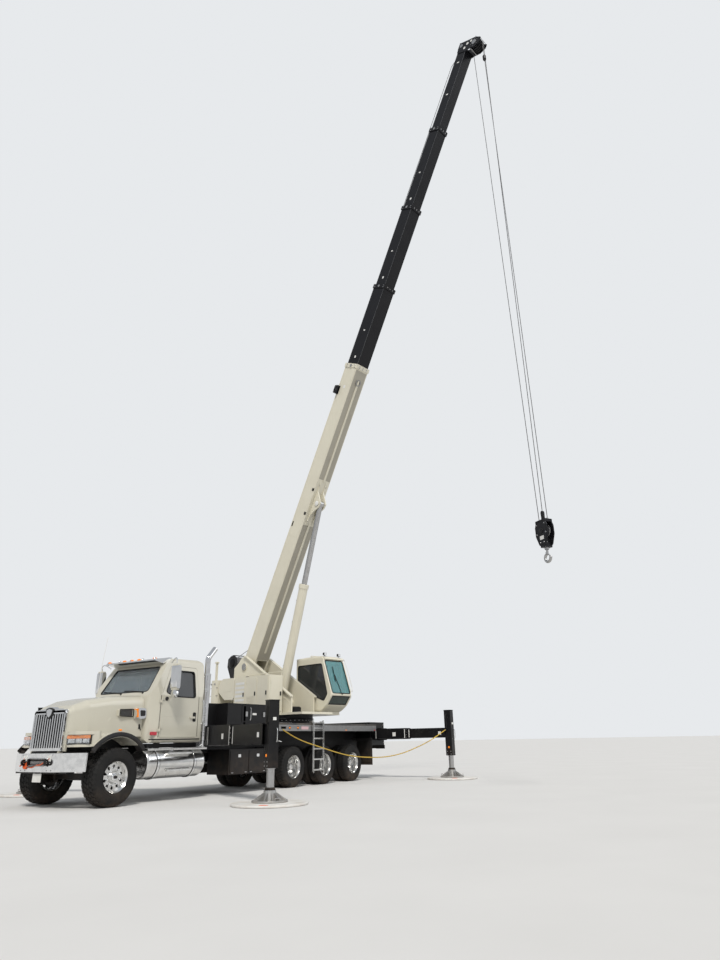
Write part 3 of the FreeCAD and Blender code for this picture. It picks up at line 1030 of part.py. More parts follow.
def boom_section(index):
    """A telescopic section between the base and the last one, with tail pads that keep it centred."""
    head = section_head(index)
    tail = head - SECTION_LENGTHS[index - 1]
    return boom_place(fuse(boom_tube(index, tail, head), head_collar(index, head), tail_pads(index, tail)))


def tail_pads(index, tail):
    """Pads at a section's tail that ride inside the section before it."""
    w, h = SECTIONS[index - 1]
    own_w, own_h = SECTIONS[index]
    g = SECTION_WALL + SLIDE_GAP
    z = AXIS_ABOVE_PIN
    outer = box(tail, tail + 80, -w / 2 + g, w / 2 - g, z - h / 2 + g, z + h / 2 - g)
    inner = box(tail - 1, tail + 81, -own_w / 2 + SECTION_WALL, own_w / 2 - SECTION_WALL,
                z - own_h / 2 + SECTION_WALL, z + own_h / 2 - SECTION_WALL)
    return outer.cut(inner)


def sheave_axis():
    """The lower sheave shaft's place along and above the boom line."""
    return section_head(4) + SHEAVE_AHEAD, AXIS_ABOVE_PIN - SHEAVE_DROP


def boom_tip_section():
    """Last section with its head: two side plates, an upper guide sheave and the lower hoist sheaves."""
    head = section_head(4)
    tail = head - SECTION_LENGTHS[3]
    end = head - TIP_EXTRA - 10
    w, h = SECTIONS[4]
    top, bottom = AXIS_ABOVE_PIN + h / 2, AXIS_ABOVE_PIN - h / 2
    along, above = sheave_axis()
    start = head - 2 * TIP_EXTRA
    outline = [(start, bottom), (start, top), (head - 60, top + 30), (head + 150, top + 25),
               (head + 175, top - 370), (along + 190, above), (along + 110, above - 255),
               (along - 30, above - 255), (along - 180, above - 90), (along - 205, above + 130)]
    plates = [plate_xz(outline, s * w / 2, s * (w / 2 + HEAD_PLATE_T), 40) for s in (-1, 1)]
    shaft = rod((along, -w / 2, above), (along, w / 2, above), 35)
    sheaves = [sheave(along, y, above, SHEAVE_R) for y in SHEAVE_Y]
    guide_at = head + 20, top - 90
    upper = sheave(guide_at[0], 0, guide_at[1], 110)
    upper_shaft = rod((guide_at[0], -w / 2, guide_at[1]), (guide_at[0], w / 2, guide_at[1]), 30)
    wall = box(end - 16, end, -w / 2, w / 2, bottom, top)
    tie = box(head + 60, head + 150, -w / 2, w / 2, top - 20, top)
    return boom_place(fuse(boom_tube(4, tail, end), tail_pads(4, tail), *plates, shaft, *sheaves, upper,
                           upper_shaft, wall, tie))


def sheave(x, y, z, r):
    """A grooved rope wheel on a shaft along y."""
    t = SHEAVE_HALF_T
    return turned([(30, y - t), (r, y - t), (r - GROOVE_DEPTH, y), (r, y + t), (30, y + t)], (x, z))


# Hook block and falls, hanging plumb below the lower sheaves

def hang_x():
    """How far ahead of the slewing axis the hook hangs."""
    return boom_point(*sheave_axis())[0] + FALLS_AHEAD


def hang_place(shape):
    """Moves a piece drawn on the line x = y = 0 to the hook's plumb line, turned as the block hangs."""
    out = shape.copy()
    out.Placement = FreeCAD.Placement(V(hang_x(), 0, 0), FreeCAD.Rotation(Z_AXIS, degrees(BLOCK_TURN)))
    return turret_place(out)


def hoist_falls():
    """Three falls, from the grooves of the head's sheaves down to the block's sheave and its rope anchor."""
    axis_x, axis_z = boom_point(*sheave_axis())
    seat = SHEAVE_R - GROOVE_DEPTH + (FALL_R + RUN_GAP) / cos(atan2(GROOVE_DEPTH, SHEAVE_HALF_T))
    tops = ((axis_x + seat, SHEAVE_Y[1]), (axis_x - seat, SHEAVE_Y[2]), (axis_x + seat, SHEAVE_Y[2]))
    falls = []
    for (x, y), foot in zip(tops, (BLOCK_SHEAVE_R, -BLOCK_SHEAVE_R, 0.0)):
        foot_at = (hang_x() + foot * cos(BLOCK_TURN), foot * sin(BLOCK_TURN), BLOCK_TOP + RUN_GAP)
        falls.append(rod(foot_at, (x, y, axis_z), FALL_R))
    return turret_place(separate(*falls))


def hook_block():
    """Two rounded cheek plates with the sheave between them and the hook's crosshead below."""
    z0, z1, hw, t = BLOCK_FOOT, BLOCK_TOP, BLOCK_HALF_W, BLOCK_T / 2
    outline = [(-hw + 60, z1 - 20), (hw - 60, z1 - 20), (hw, z1 - 160), (hw, z0 + 300), (110, z0 + 40),
               (-110, z0 + 40), (-hw, z0 + 300), (-hw, z1 - 160)]
    cheeks = [plate_xz(outline, s * (t - 26), s * t, 70) for s in (-1, 1)]
    wheel = rod((0, -50, z1 - 270), (0, 50, z1 - 270), BLOCK_SHEAVE_R)
    shaft = rod((0, -t, z1 - 270), (0, t, z1 - 270), 32)
    crosshead = box(-80, 80, -t, t, z0, z0 + 110)
    bridge = box(-BLOCK_SHEAVE_R - 25, BLOCK_SHEAVE_R + 25, -t, t, z1 - 70, z1)
    body = fuse(*cheeks, wheel, shaft, crosshead, bridge)
    return hang_place(body.cut(rod((0, 0, z0 - 1), (0, 0, z0 + 120), 30 + RUN_GAP)))


def hook():
    """Swivelling hook: shank with its nut, a bowl of round bar and the point."""
    cz = HOOK_FOOT + HOOK_R + HOOK_WIRE
    shank = rod((0, 0, cz + HOOK_R - 20), (0, 0, BLOCK_FOOT + 125), 30)
    nut = rod((0, 0, BLOCK_FOOT + 110 + RUN_GAP), (0, 0, BLOCK_FOOT + 150), 52)
    collar_ring = rod((0, 0, BLOCK_FOOT - 45), (0, 0, BLOCK_FOOT - RUN_GAP), 48)
    bowl = Part.makeTorus(HOOK_R, HOOK_WIRE, V(0, 0, cz), Y_AXIS)
    mouth = plate_xz([(20, cz), (220, cz + 10), (220, cz + 200), (20, cz + 200)], -60, 60)
    tip = Part.makeSphere(HOOK_WIRE, V(HOOK_R, 0, cz))
    ring = bowl.cut(mouth)
    return hang_place(fuse(shank, nut, collar_ring, ring, tip))


def wheel_nodes():
    nodes = {"front_wheel_left": front_wheel(), "front_wheel_right": mirrored(front_wheel())}
    for i, x in enumerate(REAR_AXLES_X, 1):
        nodes[f"rear_wheel_left_{i}"] = rear_wheel(x)
        nodes[f"rear_wheel_right_{i}"] = mirrored(rear_wheel(x))
    return nodes


def outrigger_nodes():
    nodes = {}
    for c in CORNERS:
        nodes[f"outer_beam_{c.name}"] = outer_beam(c)
        eye = [rope_eye()] if c.name == "rear_left" else []
        nodes[f"inner_beam_{c.name}"] = fuse(inner_beam(c), *eye)
        nodes[f"jack_rod_{c.name}"] = jack_rod(c)
    return nodes


def carrier_nodes():
    return {
        "chassis_frame": chassis_frame(), "axles": axles(),
        "engine_block": engine_block(), "truck_cab": truck_cab(), "truck_door_left": truck_door(),
        "truck_door_right": mirrored(truck_door()), "hood": hood(), "grille": grille(),
        "headlamps": headlamps(),
        "front_bumper": front_bumper(), "sun_visor": sun_visor(), "exhaust_stack": exhaust_stack(),
        "fuel_tanks": fuel_tanks(), "deck": deck(), "ladder": ladder(),
        "flaps_and_tail_lamps": flaps_and_tail_lamps(), "knuckle_left": knuckle(),
        "knuckle_right": mirrored(knuckle()), "front_outrigger_box": front_outrigger_box(),
        "rear_outrigger_box": rear_outrigger_box(), "tool_boxes": tool_boxes(), "ground_pads": ground_pads(),
        "stay_rope": stay_rope(),
    }


def superstructure_nodes():
    nodes = {
        "slewing_ring": slewing_ring(), "turret": turret(), "cabinet": cabinet(),
        "counterweight": counterweight(),
        "main_winch": main_winch(), "operator_cab": operator_cab(), "operator_door": operator_door(),
        "lift_barrel": lift_barrel(), "lift_rod": lift_rod(), "boom_base": boom_base(),
        "boom_tip_section": boom_tip_section(), "hoist_falls": hoist_falls(), "hook_block": hook_block(),
        "hook": hook(),
    }
    for i in (1, 2, 3):
        nodes[f"boom_section_{i}"] = boom_section(i)
    return nodes


NODES = {**carrier_nodes(), **wheel_nodes(), **outrigger_nodes(), **superstructure_nodes()}
WHOLE = Part.Compound(list(NODES.values())).BoundBox
SHIFT = V(-(WHOLE.XMin + WHOLE.XMax) / 2, -(WHOLE.YMin + WHOLE.YMax) / 2, -WHOLE.ZMin)

os.makedirs("parts", exist_ok=True)
for name, shape in NODES.items():
    moved = shape.copy()
    moved.translate(SHIFT)
    moved.exportStep(os.path.join("parts", name + ".step"))
print("nodes", len(NODES), "shift", [round(v, 3) for v in SHIFT])
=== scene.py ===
"""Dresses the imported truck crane: finishes for its solids, and the detail that stands on them.

Everything is in metres in the part's own frame. Four working frames follow the part's source: TRUCK,
with the front axle at x = 0; TURRET, with the slewing axis at x = y = 0 and +x along the boom; BOOM, with
the foot pin at the origin and +x along the boom; and one frame for each outrigger, with +x along its beams.
"""

import bmesh
import bpy
from math import atan2, cos, hypot, pi, radians, sin, tau
from mathutils import Matrix, Vector


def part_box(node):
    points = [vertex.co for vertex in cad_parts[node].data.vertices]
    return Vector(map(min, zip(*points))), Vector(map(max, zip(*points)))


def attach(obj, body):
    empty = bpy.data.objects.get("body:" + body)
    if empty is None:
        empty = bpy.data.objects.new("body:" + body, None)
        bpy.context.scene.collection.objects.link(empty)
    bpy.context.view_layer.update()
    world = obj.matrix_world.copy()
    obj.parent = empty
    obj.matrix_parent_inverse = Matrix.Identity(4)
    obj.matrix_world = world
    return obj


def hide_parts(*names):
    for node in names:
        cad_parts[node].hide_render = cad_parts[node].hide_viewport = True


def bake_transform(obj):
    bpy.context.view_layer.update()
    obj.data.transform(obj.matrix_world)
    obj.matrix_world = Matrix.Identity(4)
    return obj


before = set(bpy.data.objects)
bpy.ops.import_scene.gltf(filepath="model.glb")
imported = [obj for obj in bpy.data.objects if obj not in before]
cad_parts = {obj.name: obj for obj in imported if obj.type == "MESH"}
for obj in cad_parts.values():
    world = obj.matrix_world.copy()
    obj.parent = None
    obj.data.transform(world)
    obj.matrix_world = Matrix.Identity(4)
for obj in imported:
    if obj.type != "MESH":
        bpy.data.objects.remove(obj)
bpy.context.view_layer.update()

# Frames, with the same numbers as the part's source
SHIFT = Vector((5.4375, -2.303262, 0.0))
SLEW_X, SLEW_ANGLE, LUFF_REST = -7.35, radians(78), radians(61.85)
PIN_X, PIN_Z = -1.79, 3.50
CYLINDER_X, CYLINDER_Z = -0.45, 2.35
WINCH_X, WINCH_Z = -2.72, 3.72
MIRROR = Matrix.Scale(-1, 4, (0, 1, 0))
TRUCK = Matrix.Translation(SHIFT)
TRUCK_RIGHT = TRUCK @ MIRROR
TURRET = TRUCK @ Matrix.Translation((SLEW_X, 0, 0)) @ Matrix.Rotation(SLEW_ANGLE, 4, "Z")
BOOM = TURRET @ Matrix.Translation((PIN_X, 0, PIN_Z)) @ Matrix.Rotation(-LUFF_REST, 4, "Y")

# Sizes that pieces share with the solids they stand on
FRONT_TYRE, REAR_TYRE = (0.562, 0.420, (1.04,)), (0.525, 0.280, (0.76, 1.10))
REAR_AXLES = (-6.0, -7.52, -9.04)
CAB_HALF, CAB_REAR = 1.07, -2.57
BOOM_SECTIONS = ((0.530, 0.600), (0.484, 0.540), (0.438, 0.480), (0.394, 0.428), (0.350, 0.376))
BOOM_BODIES = ("boom_base", "boom_section_1", "boom_section_2", "boom_section_3", "boom_tip_section")
BASE_HEAD, STROKE_REST, TIP_EXTRA, BOOM_AXIS = 10.78, 2.877, 0.12, 0.11
OPCAB_Y = (0.56, 1.46)


# Camera, fitted to the photograph

FOCAL_PIXELS, IMAGE_HEIGHT = 656.4, 960
CAMERA_AT, CAMERA_PITCH, CAMERA_ROLL, CAMERA_HEADING = (9.869, 13.318, 1.184), 21.60, -1.08, -148.41


def photo_camera():
    data = bpy.data.cameras.new("photo_camera")
    data.lens = FOCAL_PIXELS / IMAGE_HEIGHT * data.sensor_width
    data.clip_start, data.clip_end = 0.1, 600
    camera = bpy.data.objects.new("photo_camera", data)
    bpy.context.scene.collection.objects.link(camera)
    heading, pitch, roll = (radians(v) for v in (CAMERA_HEADING, CAMERA_PITCH, CAMERA_ROLL))
    ahead = Vector((cos(heading) * cos(pitch), sin(heading) * cos(pitch), sin(pitch)))
    right = ahead.cross(Vector((0, 0, 1))).normalized()
    up = right.cross(ahead)
    tilted_right = cos(roll) * right + sin(roll) * up
    tilted_up = -sin(roll) * right + cos(roll) * up
    turn = Matrix((tilted_right, tilted_up, -ahead)).transposed().to_4x4()
    camera.matrix_world = Matrix.Translation(TRUCK @ Vector(CAMERA_AT)) @ turn
    bpy.context.scene.camera = camera


# Shader nodes

def put(tree, kind, inputs=None, **settings):
    """Adds a node. An input is a plain value, or another node's output, which is linked."""
    made = tree.nodes.new(kind)
    for key, value in settings.items():
        setattr(made, key, value)
    for key, value in (inputs or {}).items():
        if isinstance(value, bpy.types.NodeSocket):
            tree.links.new(value, made.inputs[key])
        else:
            made.inputs[key].default_value = value
    return made


def blended(tree, share, below, above):
    """Colour between two colours, by share."""
    made = put(tree, "ShaderNodeMix", data_type="RGBA")
    for index, value in ((0, share), (6, below), (7, above)):
        if isinstance(value, bpy.types.NodeSocket):
            tree.links.new(value, made.inputs[index])
        else:
            made.inputs[index].default_value = value
    return made.outputs[2]


def calc(tree, operation, a, b=0.0):
    return put(tree, "ShaderNodeMath", {0: a, 1: b}, operation=operation).outputs[0]


def ramp(tree, value, low, high, to_low=0.0, to_high=1.0):
    """A value taken from one range to another, and held inside it."""
    names = {"Value": value, "From Min": low, "From Max": high, "To Min": to_low, "To Max": to_high}
    return put(tree, "ShaderNodeMapRange", names).outputs["Result"]


def stretched(tree, scale):
    """The piece's own coordinates, scaled by axis."""
    place = put(tree, "ShaderNodeTexCoord").outputs["Object"]
    return put(tree, "ShaderNodeMapping", {"Vector": place, "Scale": scale}).outputs["Vector"]


def effect(name, inputs, outputs):
    """An empty node group with named inputs and outputs, and its two end nodes."""
    tree = bpy.data.node_groups.new(name, "ShaderNodeTree")
    for label, kind, value in inputs:
        tree.interface.new_socket(label, in_out="INPUT",
                                  socket_type="NodeSocket" + kind).default_value = value
    for label, kind in outputs:
        tree.interface.new_socket(label, in_out="OUTPUT", socket_type="NodeSocket" + kind)
    return tree, tree.nodes.new("NodeGroupInput").outputs, tree.nodes.new("NodeGroupOutput")


def weathering_effect():
    """Colour that drifts in broad patches, with thin streaks running down it."""
    grey = (0.5, 0.5, 0.5, 1)
    tree, given, out = effect("weathering", (
        ("Colour", "Color", grey), ("Worn Colour", "Color", grey), ("Patch Scale", "Float", 1.5),
        ("Patches", "Float", 0.3), ("Streaks", "Float", 0.2)), (("Colour", "Color"), ("Wear", "Float")))
    place = put(tree, "ShaderNodeTexCoord").outputs["Object"]
    broad = put(tree, "ShaderNodeTexNoise", {"Vector": place, "Scale": given["Patch Scale"], "Detail": 6.0,
                                             "Roughness": 0.6}).outputs["Fac"]
    patches = calc(tree, "MULTIPLY", ramp(tree, broad, 0.42, 0.70), given["Patches"])
    runs = put(tree, "ShaderNodeTexNoise", {"Vector": stretched(tree, (14, 14, 0.9)), "Scale": 1.6,
                                            "Detail": 5.0, "Roughness": 0.55}).outputs["Fac"]
    streaks = calc(tree, "MULTIPLY", ramp(tree, runs, 0.52, 0.78), given["Streaks"])
    wear = calc(tree, "MAXIMUM", patches, streaks)
    tree.links.new(blended(tree, wear, given["Colour"], given["Worn Colour"]), out.inputs["Colour"])
    tree.links.new(wear, out.inputs["Wear"])
    return tree


def dust_effect():
    """Dried road dust that is thickest near the ground and lies in blotches."""
    tree, given, out = effect("road_dust", (
        ("Colour", "Color", (0.5, 0.5, 0.5, 1)), ("Dust Colour", "Color", (0.33, 0.22, 0.14, 1)),
        ("Top", "Float", 1.2), ("Amount", "Float", 0.5)), (("Colour", "Color"), ("Dust", "Float")))
    place = put(tree, "ShaderNodeTexCoord").outputs["Object"]
    height = put(tree, "ShaderNodeSeparateXYZ", {0: place}).outputs["Z"]
    low = calc(tree, "SUBTRACT", 1.0, calc(tree, "DIVIDE", height, given["Top"]))
    blotches = put(tree, "ShaderNodeTexNoise",
                   {"Vector": place, "Scale": 5.0, "Detail": 8.0, "Roughness": 0.65})
    cover = calc(tree, "MULTIPLY", ramp(tree, low, 0.0, 0.9), ramp(tree, blotches.outputs["Fac"], 0.35, 0.65))
    share = calc(tree, "MULTIPLY", cover, given["Amount"])
    tree.links.new(blended(tree, share, given["Colour"], given["Dust Colour"]), out.inputs["Colour"])
    tree.links.new(share, out.inputs["Dust"])
    return tree


def grain_effect():
    """Small unevenness of a surface: a bump, and a mask for its gloss."""
    tree, given, out = effect("grain", (("Scale", "Float", 200.0), ("Depth", "Float", 0.0004)),
                              (("Normal", "Vector"), ("Grain", "Float")))
    place = put(tree, "ShaderNodeTexCoord").outputs["Object"]
    noise = put(tree, "ShaderNodeTexNoise",
                {"Vector": place, "Scale": given["Scale"], "Detail": 3.0}).outputs["Fac"]
    bump = put(tree, "ShaderNodeBump", {"Strength": 0.5, "Distance": given["Depth"], "Height": noise})
    tree.links.new(bump.outputs["Normal"], out.inputs["Normal"])
    tree.links.new(noise, out.inputs["Grain"])
    return tree


def brushing_effect():
    """Fine lines along one direction, as on drawn or polished metal."""
    tree, given, out = effect("brushing", (("Lines Across", "Vector", (1, 1, 60)),
                                           ("Depth", "Float", 0.0003)),
                              (("Normal", "Vector"), ("Lines", "Float")))
    place = put(tree, "ShaderNodeTexCoord").outputs["Object"]
    mapped = put(tree, "ShaderNodeMapping",
                 {"Vector": place, "Scale": given["Lines Across"]}).outputs["Vector"]
    lines = put(tree, "ShaderNodeTexNoise", {"Vector": mapped, "Scale": 6.0, "Detail": 4.0}).outputs["Fac"]
    bump = put(tree, "ShaderNodeBump", {"Strength": 0.3, "Distance": given["Depth"], "Height": lines})
    tree.links.new(bump.outputs["Normal"], out.inputs["Normal"])
    tree.links.new(lines, out.inputs["Lines"])
    return tree


def lay_effect():
    """The slanting strands of a laid rope that runs roughly upright or level."""
    tree, given, out = effect("rope_lay", (("Pitch", "Float", 40.0), ("Depth", "Float", 0.003)),
                              (("Normal", "Vector"), ("Strands", "Float")))
    place = put(tree, "ShaderNodeTexCoord").outputs["Object"]
    wave = put(tree, "ShaderNodeTexWave", {"Vector": place, "Scale": given["Pitch"], "Distortion": 0.6},
               wave_type="BANDS", bands_direction="DIAGONAL").outputs["Fac"]
    bump = put(tree, "ShaderNodeBump", {"Strength": 0.9, "Distance": given["Depth"], "Height": wave})
    tree.links.new(bump.outputs["Normal"], out.inputs["Normal"])
    tree.links.new(wave, out.inputs["Strands"])
    return tree


EFFECTS = {"weathering": weathering_effect(), "dust": dust_effect(), "grain": grain_effect(),
           "brushing": brushing_effect(), "lay": lay_effect()}


def use(tree, name, inputs):
    return put(tree, "ShaderNodeGroup", inputs, node_tree=EFFECTS[name]).outputs


def rgb(values):
    return (*values, 1.0)


def blank_material(name):
    """A new material, its node tree and its shader."""
    material = bpy.data.materials.new(name)
    material.use_nodes = True
    tree = material.node_tree
    return material, tree, tree.nodes["Principled BSDF"]


def painted(name, colour, worn, gloss, coat=0.0, patches=0.25, streaks=0.2, dust_top=1.5, dust=0.2,
            shine=0.4):
    """Sprayed paint with a slight peel, faded patches, streaks and dust low down."""
    material, tree, shader = blank_material(name)
    film = use(tree, "weathering", {"Colour": rgb(colour), "Worn Colour": rgb(worn), "Patches": patches,
                                    "Streaks": streaks})
    dusty = use(tree, "dust", {"Colour": film["Colour"], "Top": dust_top, "Amount": dust})
    peel = use(tree, "grain", {"Scale": 90.0, "Depth": 0.0006})
    tree.links.new(dusty["Colour"], shader.inputs["Base Color"])
    uneven = calc(tree, "MULTIPLY_ADD", film["Wear"], 0.25)
    uneven.node.inputs[2].default_value = gloss
    rough = calc(tree, "MULTIPLY_ADD", dusty["Dust"], 0.5)
    tree.links.new(uneven, rough.node.inputs[2])
    tree.links.new(rough, shader.inputs["Roughness"])
    tree.links.new(peel["Normal"], shader.inputs["Normal"])
    shader.inputs["Specular IOR Level"].default_value = shine
    shader.inputs["Coat Weight"].default_value = coat
    shader.inputs["Coat Roughness"].default_value = 0.08
    return material


def bare_metal(name, colour, worn, roughness, lines=(1, 1, 60), dust_top=1.2, dust=0.35):
    """Unpainted metal with drawn lines, dull spots and dust low down."""
    material, tree, shader = blank_material(name)
    dull = use(tree, "weathering", {"Colour": rgb(colour), "Worn Colour": rgb(worn), "Patch Scale": 7.0,
                                    "Patches": 0.4, "Streaks": 0.15})
    dusty = use(tree, "dust", {"Colour": dull["Colour"], "Top": dust_top, "Amount": dust})
    brush = use(tree, "brushing", {"Lines Across": lines})
    tree.links.new(dusty["Colour"], shader.inputs["Base Color"])
    spots = calc(tree, "MULTIPLY_ADD", dull["Wear"], 0.3)
    spots.node.inputs[2].default_value = roughness
    rough = calc(tree, "MULTIPLY_ADD", dusty["Dust"], 0.6)
    tree.links.new(spots, rough.node.inputs[2])
    tree.links.new(rough, shader.inputs["Roughness"])
    metal = calc(tree, "SUBTRACT", 1.0, dusty["Dust"])
    tree.links.new(metal, shader.inputs["Metallic"])
    tree.links.new(brush["Normal"], shader.inputs["Normal"])
    return material


def moulded(name, colour, worn, roughness, scale=140.0, depth=0.0006, dust_top=1.2, dust=0.2, shine=0.3):
    """Rubber or plastic with a fine grain, faded patches and dust."""
    material, tree, shader = blank_material(name)
    faded = use(tree, "weathering", {"Colour": rgb(colour), "Worn Colour": rgb(worn), "Patch Scale": 4.0,
                                     "Patches": 0.4, "Streaks": 0.1})
    dusty = use(tree, "dust", {"Colour": faded["Colour"], "Top": dust_top, "Amount": dust})
    grain = use(tree, "grain", {"Scale": scale, "Depth": depth})
    tree.links.new(dusty["Colour"], shader.inputs["Base Color"])
    rough = calc(tree, "MULTIPLY_ADD", grain["Grain"], 0.2)
    rough.node.inputs[2].default_value = roughness
    tree.links.new(rough, shader.inputs["Roughness"])
    tree.links.new(grain["Normal"], shader.inputs["Normal"])
    shader.inputs["Specular IOR Level"].default_value = shine
    return material


def rope(name, dark, light, pitch, depth, metallic):
    """A laid rope: dark between its strands, as painted shade, and light on them."""
    material, tree, shader = blank_material(name)
    lay = use(tree, "lay", {"Pitch": pitch, "Depth": depth})
    shade = use(tree, "weathering", {"Colour": rgb(light), "Worn Colour": rgb(dark), "Patch Scale": 9.0,
                                     "Patches": 0.5, "Streaks": 0.0})
    # painted shade: the colour goes dark between the strands, where shade falls in the grooves
    colour = blended(tree, lay["Strands"], rgb(dark), shade["Colour"])
    tree.links.new(colour, shader.inputs["Base Color"])
    tree.links.new(lay["Normal"], shader.inputs["Normal"])
    shader.inputs["Metallic"].default_value = metallic
    shader.inputs["Roughness"].default_value = 0.55
    return material


def window_glass(name, tint, clear):
    """Tinted glass with a trace of dust on it."""
    material, tree, shader = blank_material(name)
    dusty = use(tree, "weathering", {"Colour": rgb(tint),
                                     "Worn Colour": rgb([min(1, v * 1.5 + 0.04) for v in tint]),
                                     "Patch Scale": 2.5, "Patches": 0.35, "Streaks": 0.25})
    tree.links.new(dusty["Colour"], shader.inputs["Base Color"])
    film = calc(tree, "MULTIPLY_ADD", dusty["Wear"], 0.12)
    film.node.inputs[2].default_value = 0.03
    tree.links.new(film, shader.inputs["Roughness"])
    shader.inputs["Transmission Weight"].default_value = clear
    shader.inputs["IOR"].default_value = 1.45
    shader.inputs["Specular IOR Level"].default_value = 0.6
    return material


def lamp_lens(name, colour, glow):
    """Ribbed lamp lens."""
    material, tree, shader = blank_material(name)
    ribs = use(tree, "brushing", {"Lines Across": (40, 40, 1), "Depth": 0.002})
    shade = blended(tree, ramp(tree, ribs["Lines"], 0.4, 0.6), rgb([v * 0.6 for v in colour]), rgb(colour))
    tree.links.new(shade, shader.inputs["Base Color"])
    tree.links.new(ribs["Normal"], shader.inputs["Normal"])
    tree.links.new(shade, shader.inputs["Emission Color"])
    shader.inputs["Emission Strength"].default_value = glow
    shader.inputs["Roughness"].default_value = 0.12
    return material


def tread_plate(name, colour, worn):
    """Walking surface with raised lozenges."""
    material, tree, shader = blank_material(name)
    dirt = use(tree, "weathering", {"Colour": rgb(colour), "Worn Colour": rgb(worn), "Patch Scale": 2.0,
                                    "Patches": 0.7, "Streaks": 0.0})
    cells = put(tree, "ShaderNodeTexVoronoi", {"Vector": stretched(tree, (26, 13, 13)), "Scale": 1.0},
                feature="DISTANCE_TO_EDGE").outputs["Distance"]
    raised = ramp(tree, cells, 0.12, 0.26)
    bump = put(tree, "ShaderNodeBump", {"Strength": 0.6, "Distance": 0.003, "Height": raised})
    light = blended(tree, calc(tree, "MULTIPLY", raised, 0.35), dirt["Colour"],
                    rgb([v * 1.8 for v in colour]))
    tree.links.new(light, shader.inputs["Base Color"])
    tree.links.new(bump.outputs["Normal"], shader.inputs["Normal"])
    shader.inputs["Roughness"].default_value = 0.62
    shader.inputs["Metallic"].default_value = 0.3
    return material


def perforated_chrome(name):
    """Chrome pipe with rows of round holes round its guard, painted near-black as the shade inside them, and
    heat tint near the top.
    """
    material, tree, shader = blank_material(name)
    place = put(tree, "ShaderNodeTexCoord").outputs["Object"]
    height = put(tree, "ShaderNodeSeparateXYZ", {0: place}).outputs["Z"]
    dots = put(tree, "ShaderNodeTexVoronoi", {"Vector": place, "Scale": 26.0, "Randomness": 0.0},
               feature="F1").outputs["Distance"]
    hole = ramp(tree, dots, 0.30, 0.36, 1.0, 0.0)
    guard = calc(tree, "MULTIPLY", calc(tree, "GREATER_THAN", height, 1.32),
                 calc(tree, "LESS_THAN", height, 2.74))
    share = calc(tree, "MULTIPLY", hole, guard)
    stained = use(tree, "weathering", {"Colour": rgb((0.80, 0.80, 0.81)),
                                       "Worn Colour": rgb((0.52, 0.50, 0.46)),
                                       "Patch Scale": 6.0, "Patches": 0.4, "Streaks": 0.2})
    # the holes are painted near-black and not metal: painted shade inside them
    tree.links.new(blended(tree, share, stained["Colour"], rgb((0.02, 0.02, 0.02))),
                   shader.inputs["Base Color"])
    tree.links.new(calc(tree, "SUBTRACT", 1.0, share), shader.inputs["Metallic"])
    tree.links.new(calc(tree, "MULTIPLY_ADD", share, 0.5), shader.inputs["Roughness"])
    shader.inputs["Roughness"].links[0].from_node.inputs[2].default_value = 0.12
    bump = put(tree, "ShaderNodeBump", {"Strength": 0.8, "Distance": 0.003,
                                        "Height": calc(tree, "SUBTRACT", 1.0, share)})
    tree.links.new(bump.outputs["Normal"], shader.inputs["Normal"])
    return material


def air_mesh(name):
    """Black woven wire in front of an air intake, with painted shade near-black in the gaps between the wires.
    """
    material, tree, shader = blank_material(name)
    cells = put(tree, "ShaderNodeTexVoronoi",
                {"Vector": stretched(tree, (1, 1, 1)), "Scale": 60.0, "Randomness": 0.0},
                feature="F1").outputs["Distance"]
    wire = ramp(tree, cells, 0.34, 0.46)
    # the gaps between the wires are painted near-black: painted shade behind the mesh
    tree.links.new(blended(tree, wire, rgb((0.004, 0.004, 0.004)), rgb((0.06, 0.06, 0.062))),
                   shader.inputs["Base Color"])
    bump = put(tree, "ShaderNodeBump", {"Strength": 0.9, "Distance": 0.004, "Height": wire})
    tree.links.new(bump.outputs["Normal"], shader.inputs["Normal"])
    shader.inputs["Roughness"].default_value = 0.45
    return material


PUTTY, CREAM = (0.56, 0.535, 0.445), (0.70, 0.665, 0.545)
CAB_PAINT = painted("cab_paint", PUTTY, (0.46, 0.43, 0.35), 0.24, 0.7, 0.15, 0.08, 1.4, 0.15, 0.5)
CRANE_PAINT = painted("crane_paint", CREAM, (0.55, 0.50, 0.39), 0.34, 0.3, 0.25, 0.3, 1.0, 0.1, 0.5)
BOOM_BLACK = painted("boom_black", (0.006, 0.006, 0.008), (0.016, 0.016, 0.018), 0.30, 0.08, 0.25, 0.25, 0.5,
                     0.0, 0.22)
FRAME_BLACK = painted("frame_black", (0.006, 0.006, 0.007), (0.020, 0.019, 0.018), 0.38, 0.05, 0.3, 0.2, 1.1,
                      0.16, 0.25)
DECK_GREY = tread_plate("deck_plate", (0.055, 0.055, 0.055), (0.16, 0.13, 0.10))
